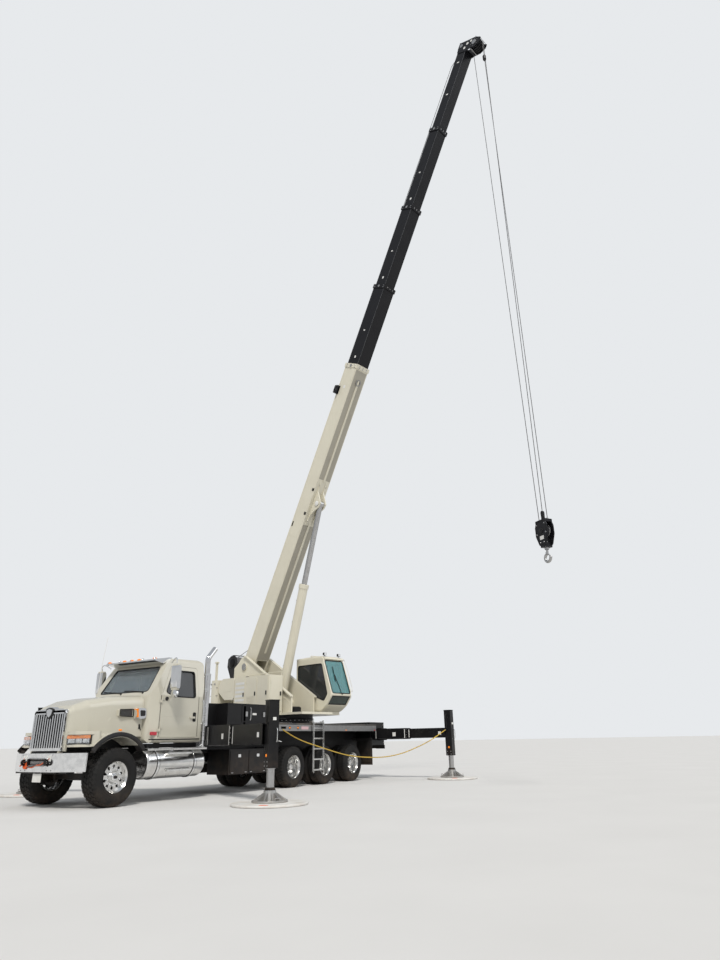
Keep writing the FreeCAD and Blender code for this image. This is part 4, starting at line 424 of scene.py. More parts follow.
# Bare grey metal for trim and treads; also the pale lines along the boom sections' edges, which are painted
# highlights
TRIM_AND_HIGHLIGHT_GREY = bare_metal("trim_and_highlight_grey", (0.34, 0.34, 0.34), (0.22, 0.21, 0.20), 0.45, (60, 1, 1), 1.2, 0.1)
CHROME = bare_metal("chrome", (0.82, 0.83, 0.84), (0.62, 0.62, 0.62), 0.06, (1, 1, 1), 1.1, 0.08)
POLISHED = bare_metal("polished", (0.76, 0.76, 0.75), (0.56, 0.55, 0.53), 0.16, (1, 60, 60), 0.9, 0.12)
STEEL = bare_metal("machined_steel", (0.50, 0.50, 0.50), (0.30, 0.28, 0.26), 0.26, (1, 1, 80), 0.7, 0.15)
FLOAT_STEEL = bare_metal("float_steel", (0.52, 0.52, 0.51), (0.38, 0.35, 0.32), 0.40, (8, 8, 8), 0.3, 0.25)
TYRE = moulded("tyre", (0.012, 0.012, 0.012), (0.030, 0.027, 0.024), 0.62, 60.0, 0.0015, 0.45, 0.15, 0.25)
BLACK_PLASTIC = moulded("black_plastic", (0.014, 0.014, 0.015), (0.035, 0.034, 0.033), 0.42, dust_top=1.4)
SEAL = moulded("rubber_seal", (0.008, 0.008, 0.008), (0.02, 0.02, 0.02), 0.5)
HOSE = moulded("hose_rubber", (0.016, 0.016, 0.017), (0.05, 0.048, 0.045), 0.48, 300.0, 0.0008)
PAD_WHITE = moulded("pad_white", (0.74, 0.73, 0.70), (0.50, 0.40, 0.31), 0.48, 40.0, 0.001, 0.05, 0.22)
LABEL_WHITE = moulded("label_white", (0.74, 0.74, 0.72), (0.58, 0.56, 0.50), 0.35, 400.0, 0.0001)
LABEL_RED = moulded("label_red", (0.52, 0.035, 0.06), (0.42, 0.10, 0.10), 0.35, 400.0, 0.0001)
LABEL_PINK = moulded("label_pink", (0.62, 0.42, 0.44), (0.52, 0.38, 0.38), 0.4, 400.0, 0.0001)
ORANGE = moulded("strap_orange", (0.72, 0.11, 0.02), (0.50, 0.10, 0.04), 0.5, 500.0, 0.0008)
WIRE_ROPE = rope("wire_rope", (0.05, 0.05, 0.052), (0.26, 0.26, 0.265), 45.0, 0.003, 0.7)
YELLOW_ROPE = rope("yellow_rope", (0.34, 0.20, 0.02), (0.80, 0.56, 0.08), 24.0, 0.006, 0.0)
SCREEN_GLASS = window_glass("screen_glass", (0.58, 0.68, 0.74), 0.88)
CLEAR_COVER = window_glass("clear_cover", (0.90, 0.92, 0.93), 0.96)
DARK_GLASS = window_glass("dark_glass", (0.035, 0.040, 0.045), 0.45)
TEAL_GLASS = window_glass("teal_glass", (0.16, 0.50, 0.52), 0.75)
LOW_GLASS = window_glass("low_glass", (0.035, 0.06, 0.05), 0.45)
MIRROR_FACE = bare_metal("mirror_face", (0.85, 0.87, 0.88), (0.80, 0.82, 0.83), 0.02, (1, 1, 1), 0.1, 0.0)
AMBER = lamp_lens("amber_lens", (0.95, 0.26, 0.02), 0.35)
RED_LENS = lamp_lens("red_lens", (0.60, 0.02, 0.02), 0.15)
CLEAR_LENS = lamp_lens("clear_lens", (0.80, 0.82, 0.84), 0.1)
CABIN_GREY = moulded("cabin_grey", (0.10, 0.10, 0.105), (0.14, 0.135, 0.13), 0.6, 220.0, 0.0006, dust=0.0)
STACK_CHROME = perforated_chrome("stack_chrome")
INTAKE_MESH = air_mesh("intake_mesh")
# A darker copy of the crane's paint: painted shade for the underside of the boom's base
UNDERSIDE_SHADE = painted("boom_underside_shade", (0.40, 0.375, 0.31), (0.28, 0.26, 0.22), 0.45, streaks=0.3)


# Mesh pieces

class Shape:
    """Gathers the faces of one piece, each with its finish, drawn in a working frame."""

    def __init__(self, place=TRUCK):
        self.place = place
        self.points, self.faces, self.finish_of_face, self.finishes = [], [], [], []

    def add(self, points, faces, finish):
        start = len(self.points)
        self.points += [self.place @ Vector(p) for p in points]
        if finish not in self.finishes:
            self.finishes.append(finish)
        flipped = self.place.to_3x3().determinant() < 0
        for corners in faces:
            corners = [start + i for i in corners]
            self.faces.append(corners[::-1] if flipped else corners)
            self.finish_of_face.append(self.finishes.index(finish))

    def block(self, low, high, finish):
        (x0, y0, z0), (x1, y1, z1) = [[f(a, b) for a, b in zip(low, high)] for f in (min, max)]
        points = [(x, y, z) for x in (x0, x1) for y in (y0, y1) for z in (z0, z1)]
        self.add(points, [(0, 1, 3, 2), (4, 6, 7, 5), (0, 4, 5, 1), (2, 3, 7, 6), (0, 2, 6, 4), (1, 5, 7, 3)],
                 finish)

    def block_at(self, middle, size, finish):
        self.block([m - s / 2 for m, s in zip(middle, size)], [m + s / 2 for m, s in zip(middle, size)],
                   finish)

    def plate(self, outline, across, a, b, finish):
        """An outline in the two other axes, in turn from x to z, made thick along the axis across."""
        order = {"x": lambda u, v, w: (w, u, v), "y": lambda u, v, w: (u, w, v), "z": lambda u, v,
                 w: (u, v, w)}[across]
        n = len(outline)
        area = sum(outline[i - 1][0] * outline[i][1] - outline[i][0] * outline[i - 1][1] for i in range(n))
        if area < 0:
            outline = outline[::-1]
        a, b = sorted((a, b))
        points = [order(u, v, a) for u, v in outline] + [order(u, v, b) for u, v in outline]
        faces = [tuple(reversed(range(n))), tuple(range(n, 2 * n))]
        faces += [(i, (i + 1) % n, n + (i + 1) % n, n + i) for i in range(n)]
        if across == "y":
            faces = [f[::-1] for f in faces]
        self.add(points, faces, finish)

    def turned(self, profile, start, way, finish, sides=24, closed=False):
        """A profile of (distance along, radius) turned round the line from start along way."""
        way = Vector(way).normalized()
        side = way.orthogonal().normalized()
        other = way.cross(side)
        start = Vector(start)
        points, faces = [], []
        for along, radius in profile:
            for k in range(sides):
                a = tau * k / sides
                points.append(start + way * along + (side * cos(a) + other * sin(a)) * radius)
        rows = len(profile)
        for row in range(rows if closed else rows - 1):
            here, there = row * sides, (row + 1) % rows * sides
            for k in range(sides):
                k2 = (k + 1) % sides
                faces.append((here + k, here + k2, there + k2, there + k))
        if not closed:
            faces += [tuple(range(sides))[::-1], tuple((rows - 1) * sides + k for k in range(sides))]
        self.add(points, faces, finish)

    def bar(self, a, b, radius, finish, sides=16, end_radius=None):
        length = (Vector(b) - Vector(a)).length
        self.turned([(0, radius), (length, radius if end_radius is None else end_radius)], a,
                    Vector(b) - Vector(a), finish, sides)

    def pipe(self, a, b, radius, bore, finish, sides=28):
        """A ring with an open middle, between two points."""
        length = (Vector(b) - Vector(a)).length
        self.turned([(0, bore), (0, radius), (length, radius), (length, bore)], a, Vector(b) - Vector(a),
                    finish, sides, True)

    def bolt(self, at, way, radius, finish):
        """A hexagon head on its washer."""
        at, way = Vector(at), Vector(way).normalized()
        self.bar(at, at + way * radius * 0.25, radius * 1.5, finish, 12)
        self.bar(at, at + way * radius * 1.1, radius, finish, 6)

    def ball(self, centre, radius, finish, squash=(1, 1, 1), rings=8, sides=14):
        points = [(0, 0, -1)]
        for i in range(1, rings):
            level = -cos(pi * i / rings)
            width = sin(pi * i / rings)
            points += [(width * cos(tau * k / sides), width * sin(tau * k / sides),
                        level) for k in range(sides)]
        points.append((0, 0, 1))
        last = len(points) - 1
        faces = []
        for k in range(sides):
            k2 = (k + 1) % sides
            faces += [(0, 1 + k2, 1 + k), (last, last - sides + k, last - sides + k2)]
            for i in range(rings - 2):
                a, b = 1 + i * sides, 1 + (i + 1) * sides
                faces.append((a + k, a + k2, b + k2, b + k))
        self.add([[c + radius * q * v for c, q, v in zip(centre, squash, p)] for p in points], faces, finish)

    def hose(self, route, radius, finish, sides=8, steps=6):
        """A round tube that passes smoothly through the points of a route."""
        line = smooth_line([Vector(p) for p in route], steps)
        side = (line[1] - line[0]).orthogonal().normalized()
        points, faces = [], []
        for i, at in enumerate(line):
            ahead = (line[min(i + 1, len(line) - 1)] - line[max(i - 1, 0)]).normalized()
            side = (side - ahead * side.dot(ahead)).normalized()
            other = ahead.cross(side)
            turns = [tau * k / sides for k in range(sides)]
            points += [at + (side * cos(t) + other * sin(t)) * radius for t in turns]
        for i in range(len(line) - 1):
            for k in range(sides):
                k2 = (k + 1) % sides
                faces.append((i * sides + k, i * sides + k2, (i + 1) * sides + k2, (i + 1) * sides + k))
        end = (len(line) - 1) * sides
        faces += [tuple(range(sides))[::-1], tuple(end + k for k in range(sides))]
        self.add(points, faces, finish)

    def frame_strip(self, outline, across, at, thick, width, finish):
        """A flat strip that follows a closed outline, such as a window's seal, width inwards from it."""
        n = len(outline)
        middle = [sum(p[i] for p in outline) / n for i in (0, 1)]
        inner = []
        for i, corner in enumerate(outline):
            back, ahead = outline[i - 1], outline[(i + 1) % n]
            ways = []
            for a, b in ((back, corner), (corner, ahead)):
                run = (b[0] - a[0], b[1] - a[1])
                size = hypot(*run)
                side = (-run[1] / size, run[0] / size)
                facing = side[0] * (middle[0] - a[0]) + side[1] * (middle[1] - a[1])
                inward = side if facing > 0 else (-side[0], -side[1])
                ways.append(inward)
            bend = 1 + ways[0][0] * ways[1][0] + ways[0][1] * ways[1][1]
            inner.append([c + width * (p + q) / bend for c, p, q in zip(corner, *ways)])
        for i in range(n):
            j = (i + 1) % n
            self.plate([outline[i], outline[j], inner[j], inner[i]], across, at, at + thick, finish)

    def loose(self, name, edge=0.0):
        """Makes the object and rounds its edges."""
        mesh = bpy.data.meshes.new(name)
        mesh.from_pydata(self.points, [], self.faces)
        for finish in self.finishes:
            mesh.materials.append(finish)
        mesh.polygons.foreach_set("material_index", self.finish_of_face)
        tidy = bmesh.new()
        tidy.from_mesh(mesh)
        bmesh.ops.recalc_face_normals(tidy, faces=tidy.faces)
        tidy.to_mesh(mesh)
        tidy.free()
        mesh.shade_smooth()
        mesh.set_sharp_from_angle(angle=radians(32))
        piece = bpy.data.objects.new(name, mesh)
        bpy.context.scene.collection.objects.link(piece)
        if edge:
            rounding = piece.modifiers.new("rounded_edges", "BEVEL")
            rounding.width, rounding.segments, rounding.limit_method = edge, 2, "ANGLE"
            rounding.angle_limit = radians(40)
            rounding.harden_normals = True
        return piece

    def done(self, name, body, edge=0.003, stands_for=()):
        """Makes the object and sets it on its body."""
        piece = self.loose(name, edge)
        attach(piece, body)
        if stands_for:
            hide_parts(*stands_for)
        return piece


def smooth_line(route, steps):
    """Points of a smooth line through a route."""
    padded = [route[0] * 2 - route[1], *route, route[-1] * 2 - route[-2]]
    line = []
    for i in range(1, len(padded) - 2):
        a, b, c, d = padded[i - 1:i + 3]
        for step in range(steps):
            t = step / steps
            line.append(0.5 * (2 * b + (c - a) * t + (2 * a - 5 * b + 4 * c - d) * t * t
                               + (3 * b - a - 3 * c + d) * t ** 3))
    return [*line, route[-1]]


def rounded(points, radius, steps=4):
    """An outline whose corners are rounded."""
    out, n = [], len(points)
    for i, corner in enumerate(points):
        c, b, a = Vector(corner), Vector(points[i - 1]), Vector(points[(i + 1) % n])
        cut = min(radius, 0.45 * (b - c).length, 0.45 * (a - c).length)
        start, end = c + (b - c).normalized() * cut, c + (a - c).normalized() * cut
        for t in (k / steps for k in range(steps + 1)):
            out.append(tuple(start * (1 - t) ** 2 + c * 2 * t * (1 - t) + end * t * t))
    return out


def panel(x0, y0, x1, y1, radius, steps=4):
    """A rounded rectangle, from one corner to the opposite one."""
    return rounded([(x0, y0), (x1, y0), (x1, y1), (x0, y1)], radius, steps)


# The rope, then the finishes of the solids

ROPE_RADIUS = 0.014
ROPE_ROUTE = (
    (-5.402, 1.270, 1.492), (-5.577, 1.354, 1.377), (-5.824, 1.472, 1.245), (-6.073, 1.591, 1.144),
    (-6.325, 1.711, 1.067), (-6.616, 1.850, 0.970), (-6.912, 1.991, 0.880), (-7.212, 2.134, 0.796),
    (-7.516, 2.280, 0.741), (-7.827, 2.428, 0.712), (-8.143, 2.579, 0.696), (-8.465, 2.733, 0.700),
    (-8.795, 2.890, 0.738), (-9.133, 3.052, 0.806), (-9.481, 3.218, 0.921), (-9.748, 3.346, 1.014),
    (-10.020, 3.476, 1.126), (-10.300, 3.609, 1.268), (-10.491, 3.701, 1.376), (-10.600, 3.753, 1.436),
)


def stay_rope():
    """The yellow rope that sags from the deck's trim to the rear left outrigger."""
    curve = bpy.data.curves.new("stay_rope_yellow", "CURVE")
    curve.dimensions, curve.bevel_depth, curve.bevel_resolution, curve.resolution_u = "3D", ROPE_RADIUS, 4, 10
    spline = curve.splines.new("NURBS")
    spline.points.add(len(ROPE_ROUTE) - 1)
    for point, at in zip(spline.points, ROPE_ROUTE):
        point.co = (*(TRUCK @ Vector(at)), 1)
    spline.order_u = 3
    spline.use_endpoint_u = True
    curve.materials.append(YELLOW_ROPE)
    piece = bpy.data.objects.new("stay_rope_yellow", curve)
    bpy.context.scene.collection.objects.link(piece)
    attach(piece, "carrier")
    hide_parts("stay_rope")


def finish_solids():
    """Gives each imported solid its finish."""
    finishes = {
        "chassis_frame": FRAME_BLACK, "axles": FRAME_BLACK, "engine_block": FRAME_BLACK,
        "truck_cab": CAB_PAINT,
        "front_bumper": CHROME, "sun_visor": CHROME, "exhaust_stack": STACK_CHROME, "fuel_tanks": POLISHED,
        "deck": DECK_GREY, "ladder": POLISHED, "flaps_and_tail_lamps": BLACK_PLASTIC,
        "front_outrigger_box": FRAME_BLACK, "rear_outrigger_box": FRAME_BLACK, "tool_boxes": FRAME_BLACK,
        "ground_pads": PAD_WHITE, "slewing_ring": FRAME_BLACK, "hood": CAB_PAINT, "grille": CHROME,
        "headlamps": CLEAR_LENS, "truck_door_left": CAB_PAINT, "truck_door_right": CAB_PAINT,
        "knuckle_left": FRAME_BLACK, "knuckle_right": FRAME_BLACK, "turret": CRANE_PAINT,
        "cabinet": CRANE_PAINT,
        "counterweight": CRANE_PAINT, "main_winch": BLACK_PLASTIC, "operator_cab": CRANE_PAINT,
        "operator_door": CRANE_PAINT, "boom_base": CRANE_PAINT, "boom_section_1": BOOM_BLACK,
        "boom_section_2": BOOM_BLACK, "boom_section_3": BOOM_BLACK, "boom_tip_section": BOOM_BLACK,
        "lift_rod": STEEL, "lift_barrel": CRANE_PAINT, "hoist_falls": WIRE_ROPE, "hook_block": BOOM_BLACK,
        "hook": STEEL,
    }
    for corner in ("front_left", "front_right", "rear_left", "rear_right"):
        finishes[f"outer_beam_{corner}"] = finishes[f"inner_beam_{corner}"] = FRAME_BLACK
        finishes[f"jack_rod_{corner}"] = FLOAT_STEEL
    for node, finish in finishes.items():
        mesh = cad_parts[node].data
        mesh.materials.clear()
        mesh.materials.append(finish)


# Wheels

def tyre(shape, radius, width, y, blocks, rows):
    """A tyre's body with rounded shoulders, sidewall rings and a tread of separate blocks."""
    h, base, bead = width / 2, radius - 0.016, 0.286
    profile = [(-0.80 * h, bead), (-0.90 * h, bead + 0.03), (-1.0 * h, bead + 0.085),
               (-0.995 * h, 0.86 * radius),
               (-0.90 * h, 0.945 * radius), (-0.74 * h, base), (0.74 * h, base), (0.90 * h, 0.945 * radius),
               (0.995 * h, 0.86 * radius), (1.0 * h, bead + 0.085), (0.90 * h, bead + 0.03), (0.80 * h, bead)]
    shape.turned(profile, (0, y, 0), (0, 1, 0), TYRE, 64, True)
    for ring in (0.36, 0.44, 0.465):
        for s in (-1, 1):
            shape.turned([(s * 0.990 * h, ring - 0.004), (s * 1.006 * h, ring),
                          (s * 0.990 * h, ring + 0.004)], (0, y, 0), (0, 1, 0), TYRE, 64, True)
    for row, (low, high, slant, share) in enumerate(rows):
        for k in range(blocks):
            a0 = tau * (k + 0.5 * (row % 2)) / blocks
            a1 = a0 + tau / blocks * share
            corners = [(a0, low), (a1, low), (a1 + slant, high), (a0 + slant, high)]
            points = []
            for level in (base - 0.004, radius - (0.020 if abs(low + high) > 1.45 else 0.0)):
                for a, side in corners:
                    points.append((level * cos(a), y + side * h, level * sin(a)))
            shape.add(points, [(0, 1, 5, 4), (1, 2, 6, 5), (2, 3, 7, 6), (3, 0, 4, 7), (4, 5, 6, 7)], TYRE)
    for k in range(blocks):
        a0, a1 = tau * k / blocks, tau * (k + 0.55) / blocks
        for s in (-1, 1):
            points = []
            for level, side in ((radius - 0.004, 0.74), (radius * 0.93, 0.955), (radius * 0.90, 1.0),
                                (radius * 0.93, 0.80)):
                for a in (a0, a1):
                    points.append((level * cos(a), y + s * side * h, level * sin(a)))
            shape.add(points, [(0, 1, 3, 2), (2, 3, 5, 4), (4, 5, 7, 6), (0, 2, 4, 6), (1, 7, 5, 3)], TYRE)


ALL_TERRAIN = ((-0.74, -0.42, 0.03, 0.66), (-0.36, -0.04, -0.04, 0.70), (0.04, 0.36, 0.04, 0.70),
               (0.42, 0.74, -0.03, 0.66))
DRIVE_TREAD = ((-0.74, -0.30, 0.03, 0.80), (-0.24, 0.24, 0.0, 0.86), (0.30, 0.74, -0.03, 0.80))


def hub(shape, y, way, studs, ring, radius):
    """Hub cap with its ring of wheel nuts."""
    shape.turned([(0, radius), (0.02, radius), (0.035, radius * 0.8), (0.085, radius * 0.72),
                  (0.10, radius * 0.5), (0.10, 0.0)], (0, y, 0), (0, way, 0), CHROME, 28)
    shape.turned([(0.10, 0.035), (0.125, 0.030), (0.130, 0.0)], (0, y, 0), (0, way, 0), BLACK_PLASTIC, 20)
    for k in range(studs):
        a = tau * (k + 0.5) / studs
        at = Vector((ring * cos(a), y, ring * sin(a)))
        shape.turned([(0, 0.021), (0.012, 0.019), (0.055, 0.015), (0.060, 0.0)], at, (0, way, 0), CHROME, 10)


def pierced_disc(shape, y, thick, outer, inner, holes, ring, hole, finish):
    """A wheel disc with round hand holes, cut by joining each hole to the sector of disc round it."""
    count = 12
    for k in range(holes):
        a0, a1 = tau * k / holes, tau * (k + 1) / holes
        middle = (a0 + a1) / 2
        centre = (ring * cos(middle), ring * sin(middle))
        edge, bore = [], []
        for j in range(4 * count):
            side, t = divmod(j, count)
            t /= count
            r, a = ((outer, a0 + (a1 - a0) * t), (outer + (inner - outer) * t, a1),
                    (inner, a1 + (a0 - a1) * t), (inner + (outer - inner) * t, a0))[side]
            p = (r * cos(a), r * sin(a))
            edge.append(p)
            turn = atan2(p[1] - centre[1], p[0] - centre[0])
            bore.append((centre[0] + hole * cos(turn), centre[1] + hole * sin(turn)))
        n = len(edge)
        for level, way in ((y, 1), (y - thick, -1)):
            points = [(u, level, v) for u, v in edge + bore]
            faces = [(i, (i + 1) % n, n + (i + 1) % n, n + i) for i in range(n)]
            shape.add(points, [f if way > 0 else f[::-1] for f in faces], finish)
        points = [(u, y, v) for u, v in bore] + [(u, y - thick, v) for u, v in bore]
        shape.add(points, [(i, (i + 1) % n, n + (i + 1) % n, n + i) for i in range(n)], finish)


def front_wheel(side, body):
    radius, width, (y,) = FRONT_TYRE
    base = TRUCK if side == "left" else TRUCK_RIGHT
    shape = Shape(base @ Matrix.Translation((0, 0, radius)))
    tyre(shape, radius, width, y, 36, ALL_TERRAIN)
    barrel = [(-0.172, 0.292), (-0.185, 0.300), (-0.172, 0.268), (-0.05, 0.245), (0.06, 0.268),
              (0.150, 0.272), (0.186, 0.300), (0.172, 0.292)]
    shape.turned(barrel, (0, y, 0), (0, 1, 0), POLISHED, 48, True)
    pierced_disc(shape, y + 0.095, 0.02, 0.268, 0.120, 10, 0.208, 0.030, POLISHED)
    shape.turned([(-0.03, 0.128), (0.02, 0.124), (0.045, 0.105), (0.045, 0.0)], (0, y + 0.095, 0), (0, 1, 0),
                 POLISHED, 32)
    hub(shape, y + 0.075, 1, 10, 0.162, 0.098)
    shape.bar((0, 0.90, 0), (0, y, 0), 0.19, FRAME_BLACK, 28)
    shape.done(f"road_wheel_front_{side}", body, 0.0, (body,))


def rear_wheel(side, index):
    radius, width, middles = REAR_TYRE
    base = TRUCK if side == "left" else TRUCK_RIGHT
    shape = Shape(base @ Matrix.Translation((REAR_AXLES[index - 1], 0, radius)))
    for y in middles:
        tyre(shape, radius, width, y, 40, DRIVE_TREAD)
        half = 0.86 * width / 2
        barrel = [(-half, 0.290), (-half - 0.008, 0.296), (-half + 0.006, 0.276), (-0.04, 0.258),
                  (half - 0.05, 0.262), (half + 0.008, 0.297), (half, 0.290)]
        shape.turned(barrel, (0, y, 0), (0, 1, 0), POLISHED, 44, True)
    disc_y = middles[1] - 0.105
    pierced_disc(shape, disc_y, 0.016, 0.266, 0.118, 10, 0.215, 0.026, POLISHED)
    hub(shape, disc_y - 0.01, 1, 10, 0.168, 0.110)
    shape.turned([(0.0, 0.095), (0.10, 0.088), (0.14, 0.075), (0.15, 0.0)], (0, disc_y, 0), (0, 1, 0),
                 POLISHED, 28)
    shape.bar((0, 0.64, 0), (0, disc_y - 0.02, 0), 0.20, FRAME_BLACK, 28)
    body = f"rear_wheel_{side}_{index}"
    shape.done(f"road_wheel_{side}_{index}", body, 0.0, (body,))


# Truck cab

WINDSCREEN = rounded([(-0.84, 2.30), (0.84, 2.30), (0.78, 2.88), (-0.78, 2.88)], 0.06)


def slanted(outline, low, high, x_low, x_high):
    """An outline in y and z, laid on a pane that slants from x_low at height low to x_high at height high."""
    return [(x_low + (x_high - x_low) * (z - low) / (high - low), y, z) for y, z in outline]


def pane(shape, points, push, thick, finish):
    """A flat pane through points in one plane, set back by push along its face."""
    a, b, c = Vector(points[0]), Vector(points[len(points) // 3]), Vector(points[2 * len(points) // 3])
    normal = (b - a).cross(c - a).normalized()
    n = len(points)
    near = [Vector(p) + normal * push for p in points]
    far = [p + normal * thick for p in near]
    faces = [tuple(range(n))[::-1], tuple(range(n, 2 * n))] + [(i, (i + 1) % n, n + (i + 1) % n,
                                                                n + i) for i in range(n)]
    shape.add(near + far, faces, finish)


def seal(shape, points, radius, finish):
    """A rubber bead round a closed run of points."""
    middle = sum((Vector(p) for p in points), Vector()) / len(points)
    loop = [Vector(p) + (middle - Vector(p)).normalized() * radius * 0.4 for p in points]
    shape.hose([*loop, loop[0], loop[1]], radius, finish, 6, 1)


def cab_glass():
    shape = Shape()
    screen = slanted(WINDSCREEN, 2.22, 2.95, -0.925, -1.395)
    pane(shape, screen, 0.0, 0.006, SCREEN_GLASS)
    seal(shape, [(x + 0.012, y, z + 0.006) for x, y, z in screen], 0.016, SEAL)
    top = slanted([(-0.79, 2.80), (0.79, 2.80), (0.78, 2.885), (-0.78, 2.885)], 2.22, 2.95, -0.932, -1.402)
    pane(shape, top, 0.002, 0.004, DARK_GLASS)
    shape.block((-0.985, -0.012, 2.30), (-1.02, 0.012, 2.34), SEAL)
    rear = panel(-0.60, 2.35, 0.60, 2.85, 0.05)
    pane(shape, [(CAB_REAR + 0.03, y, z) for y, z in rear], 0.0, 0.006, DARK_GLASS)
    seal(shape, [(CAB_REAR + 0.004, y, z) for y, z in rear], 0.016, SEAL)
    for y0, y1 in ((0.70, 0.12), (-0.05, -0.62)):
        shape.bar((-0.925, y0, 2.262), (-0.945, y0, 2.300), 0.020, BLACK_PLASTIC, 10)
        shape.bar((-0.930, y0, 2.298), (-0.975, y1, 2.345), 0.008, BLACK_PLASTIC, 8)
        shape.bar((-0.953, y0 - 0.16, 2.318), (-0.975, y1 - 0.10, 2.352), 0.011, SEAL, 6)
    shape.done("cab_windows", "carrier", 0.0)


def cab_dress():
    """Roof lamps' brackets, grab rails, seams, sills and the aerial."""
    shape = Shape()
    for s in (-1, 1):
        y = s * (CAB_HALF + 0.004)
        shape.block((-0.93, y, 1.285), (-2.45, s * (CAB_HALF - 0.03), 1.262), SEAL)
        shape.block((-1.160, y, 1.32), (-1.168, s * (CAB_HALF - 0.02), 2.22), SEAL)
        shape.block((-2.357, y, 1.33), (-2.365, s * (CAB_HALF - 0.02), 2.22), SEAL)
        for z in (1.47, 2.06):
            shape.bolt((-2.50, s * (CAB_HALF - 0.001), z), (0, s, 0), 0.010, CAB_PAINT)
        shape.hose([(-2.46, s * 1.075, 1.62), (-2.47, s * 1.125, 1.66), (-2.47, s * 1.125, 2.10),
                    (-2.46, s * 1.075, 2.14)],
                   0.013, CHROME, 10)
        shape.block((-2.45, s * 0.62, 1.10), (-0.95, s * 0.98, 1.19), FRAME_BLACK)
    shape.bar((-1.02, -1.02, 2.30), (-1.02, -1.02, 2.36), 0.022, BLACK_PLASTIC, 12)
    shape.hose([(-1.02, -1.02, 2.34), (-1.06, -1.03, 3.0), (-1.16, -1.06, 3.72)], 0.007, LABEL_WHITE, 6)
    shape.bar((-2.05, 0.30, 3.09), (-2.05, 0.30, 3.15), 0.035, LABEL_WHITE, 16, 0.012)
    shape.plate(panel(-1.12, 1.365, -0.955, 1.435, 0.008, 2), "y",
                CAB_HALF - 0.035, CAB_HALF + 0.003, LABEL_RED)
    shape.block((-1.60, -0.20, 2.86), (-1.42, 0.20, 2.93), CABIN_GREY)
    for y in (-0.48, 0.48):
        shape.plate(rounded([(-2.07, 1.70), (-1.54, 1.70), (-1.56, 1.76), (-2.07, 1.76)], 0.03), "y",
                    y - 0.23, y + 0.23, CABIN_GREY)
        shape.block_at((-2.14, y, 2.10), (0.06, 0.40, 0.62), CABIN_GREY)
    shape.block((-1.18, -0.93, 2.185), (-0.97, 0.93, 2.225), CABIN_GREY)
    shape.block((-1.20, -0.30, 1.95), (-1.32, 0.20, 2.12), CABIN_GREY)
    shape.pipe((-1.43, 0.48, 2.10), (-1.455, 0.48, 2.12), 0.215, 0.180, SEAL, 32)
    shape.done("cab_trim", "carrier", 0.004)


def door_dress(side):
    """Window glass, seals, handle, mirror and seams of one truck door."""
    shape = Shape(TRUCK if side == "left" else TRUCK_RIGHT)
    window = rounded([(-1.305, 2.29), (-1.545, 2.81), (-2.25, 2.81), (-2.25, 2.20), (-1.605, 2.20)], 0.07)

    def lean(z, out):
        return CAB_HALF - max(0.0, z - 2.23) * 0.163 - out

    pane(shape, [(x, lean(z, 0.03), z) for x, z in window], 0.0, 0.005, DARK_GLASS)
    seal(shape, [(x, lean(z, 0.004), z) for x, z in window], 0.015, SEAL)
    shape.plate(panel(-2.29, 1.66, -2.19, 1.87, 0.035), "y", CAB_HALF - 0.01, CAB_HALF + 0.006, SEAL)
    shape.plate(panel(-2.265, 1.70, -2.215, 1.84, 0.02), "y", CAB_HALF, CAB_HALF + 0.022, BLACK_PLASTIC)
    shape.frame_strip(rounded([(-1.20, 1.325), (-1.20, 1.78), (-2.325, 1.78), (-2.325, 1.325)], 0.05), "y",
                      CAB_HALF - 0.004, 0.006, 0.012, CAB_PAINT)
    x = -1.315
    head = [(x - 0.055, 2.36), (x + 0.055, 2.36), (x + 0.06, 2.83), (x + 0.04, 2.88), (x - 0.04, 2.88),
            (x - 0.06, 2.83)]
    shape.plate(rounded(head, 0.04), "y", 1.225, 1.435, CHROME)
    shape.block((x - 0.062, 1.245, 2.39), (x - 0.070, 1.415, 2.85), MIRROR_FACE)
    shape.turned([(0, 0.10), (0.05, 0.095), (0.075, 0.0)], (x - 0.02, 1.33, 2.25), (1, 0, 0), CHROME, 24)
    shape.turned([(0, 0.095), (0.012, 0.0)], (x - 0.02, 1.33, 2.25), (-1, 0, 0), MIRROR_FACE, 24)
    shape.hose([(x, 1.33, 2.93), (x + 0.01, 1.33, 3.02), (x - 0.02, 1.25, 3.05), (x - 0.06, 1.08, 2.96)],
               0.014, CHROME)
    shape.turned([(0, 0.05), (0.03, 0.045), (0.045, 0.0)], (x - 0.02, CAB_HALF - 0.01, 2.15), (0, 1, 0),
                 BLACK_PLASTIC, 16)
    shape.done(f"door_{side}_trim", f"truck_door_{side}", 0.003)


HOOD_LINE = ((0.80, 0.56, 1.89), (0.71, 0.59, 1.97), (0.40, 0.665, 2.09), (-0.10, 0.745, 2.17),
             (-0.894, 0.83, 2.22))


def hood_at(x):
    """The hood's half width and top at a place along the truck."""
    for (x0, w0, t0), (x1, w1, t1) in zip(HOOD_LINE, HOOD_LINE[1:]):
        if x >= x1:
            break
    t = (x0 - x) / (x0 - x1)
    return w0 + (w1 - w0) * t, t0 + (t1 - t0) * t


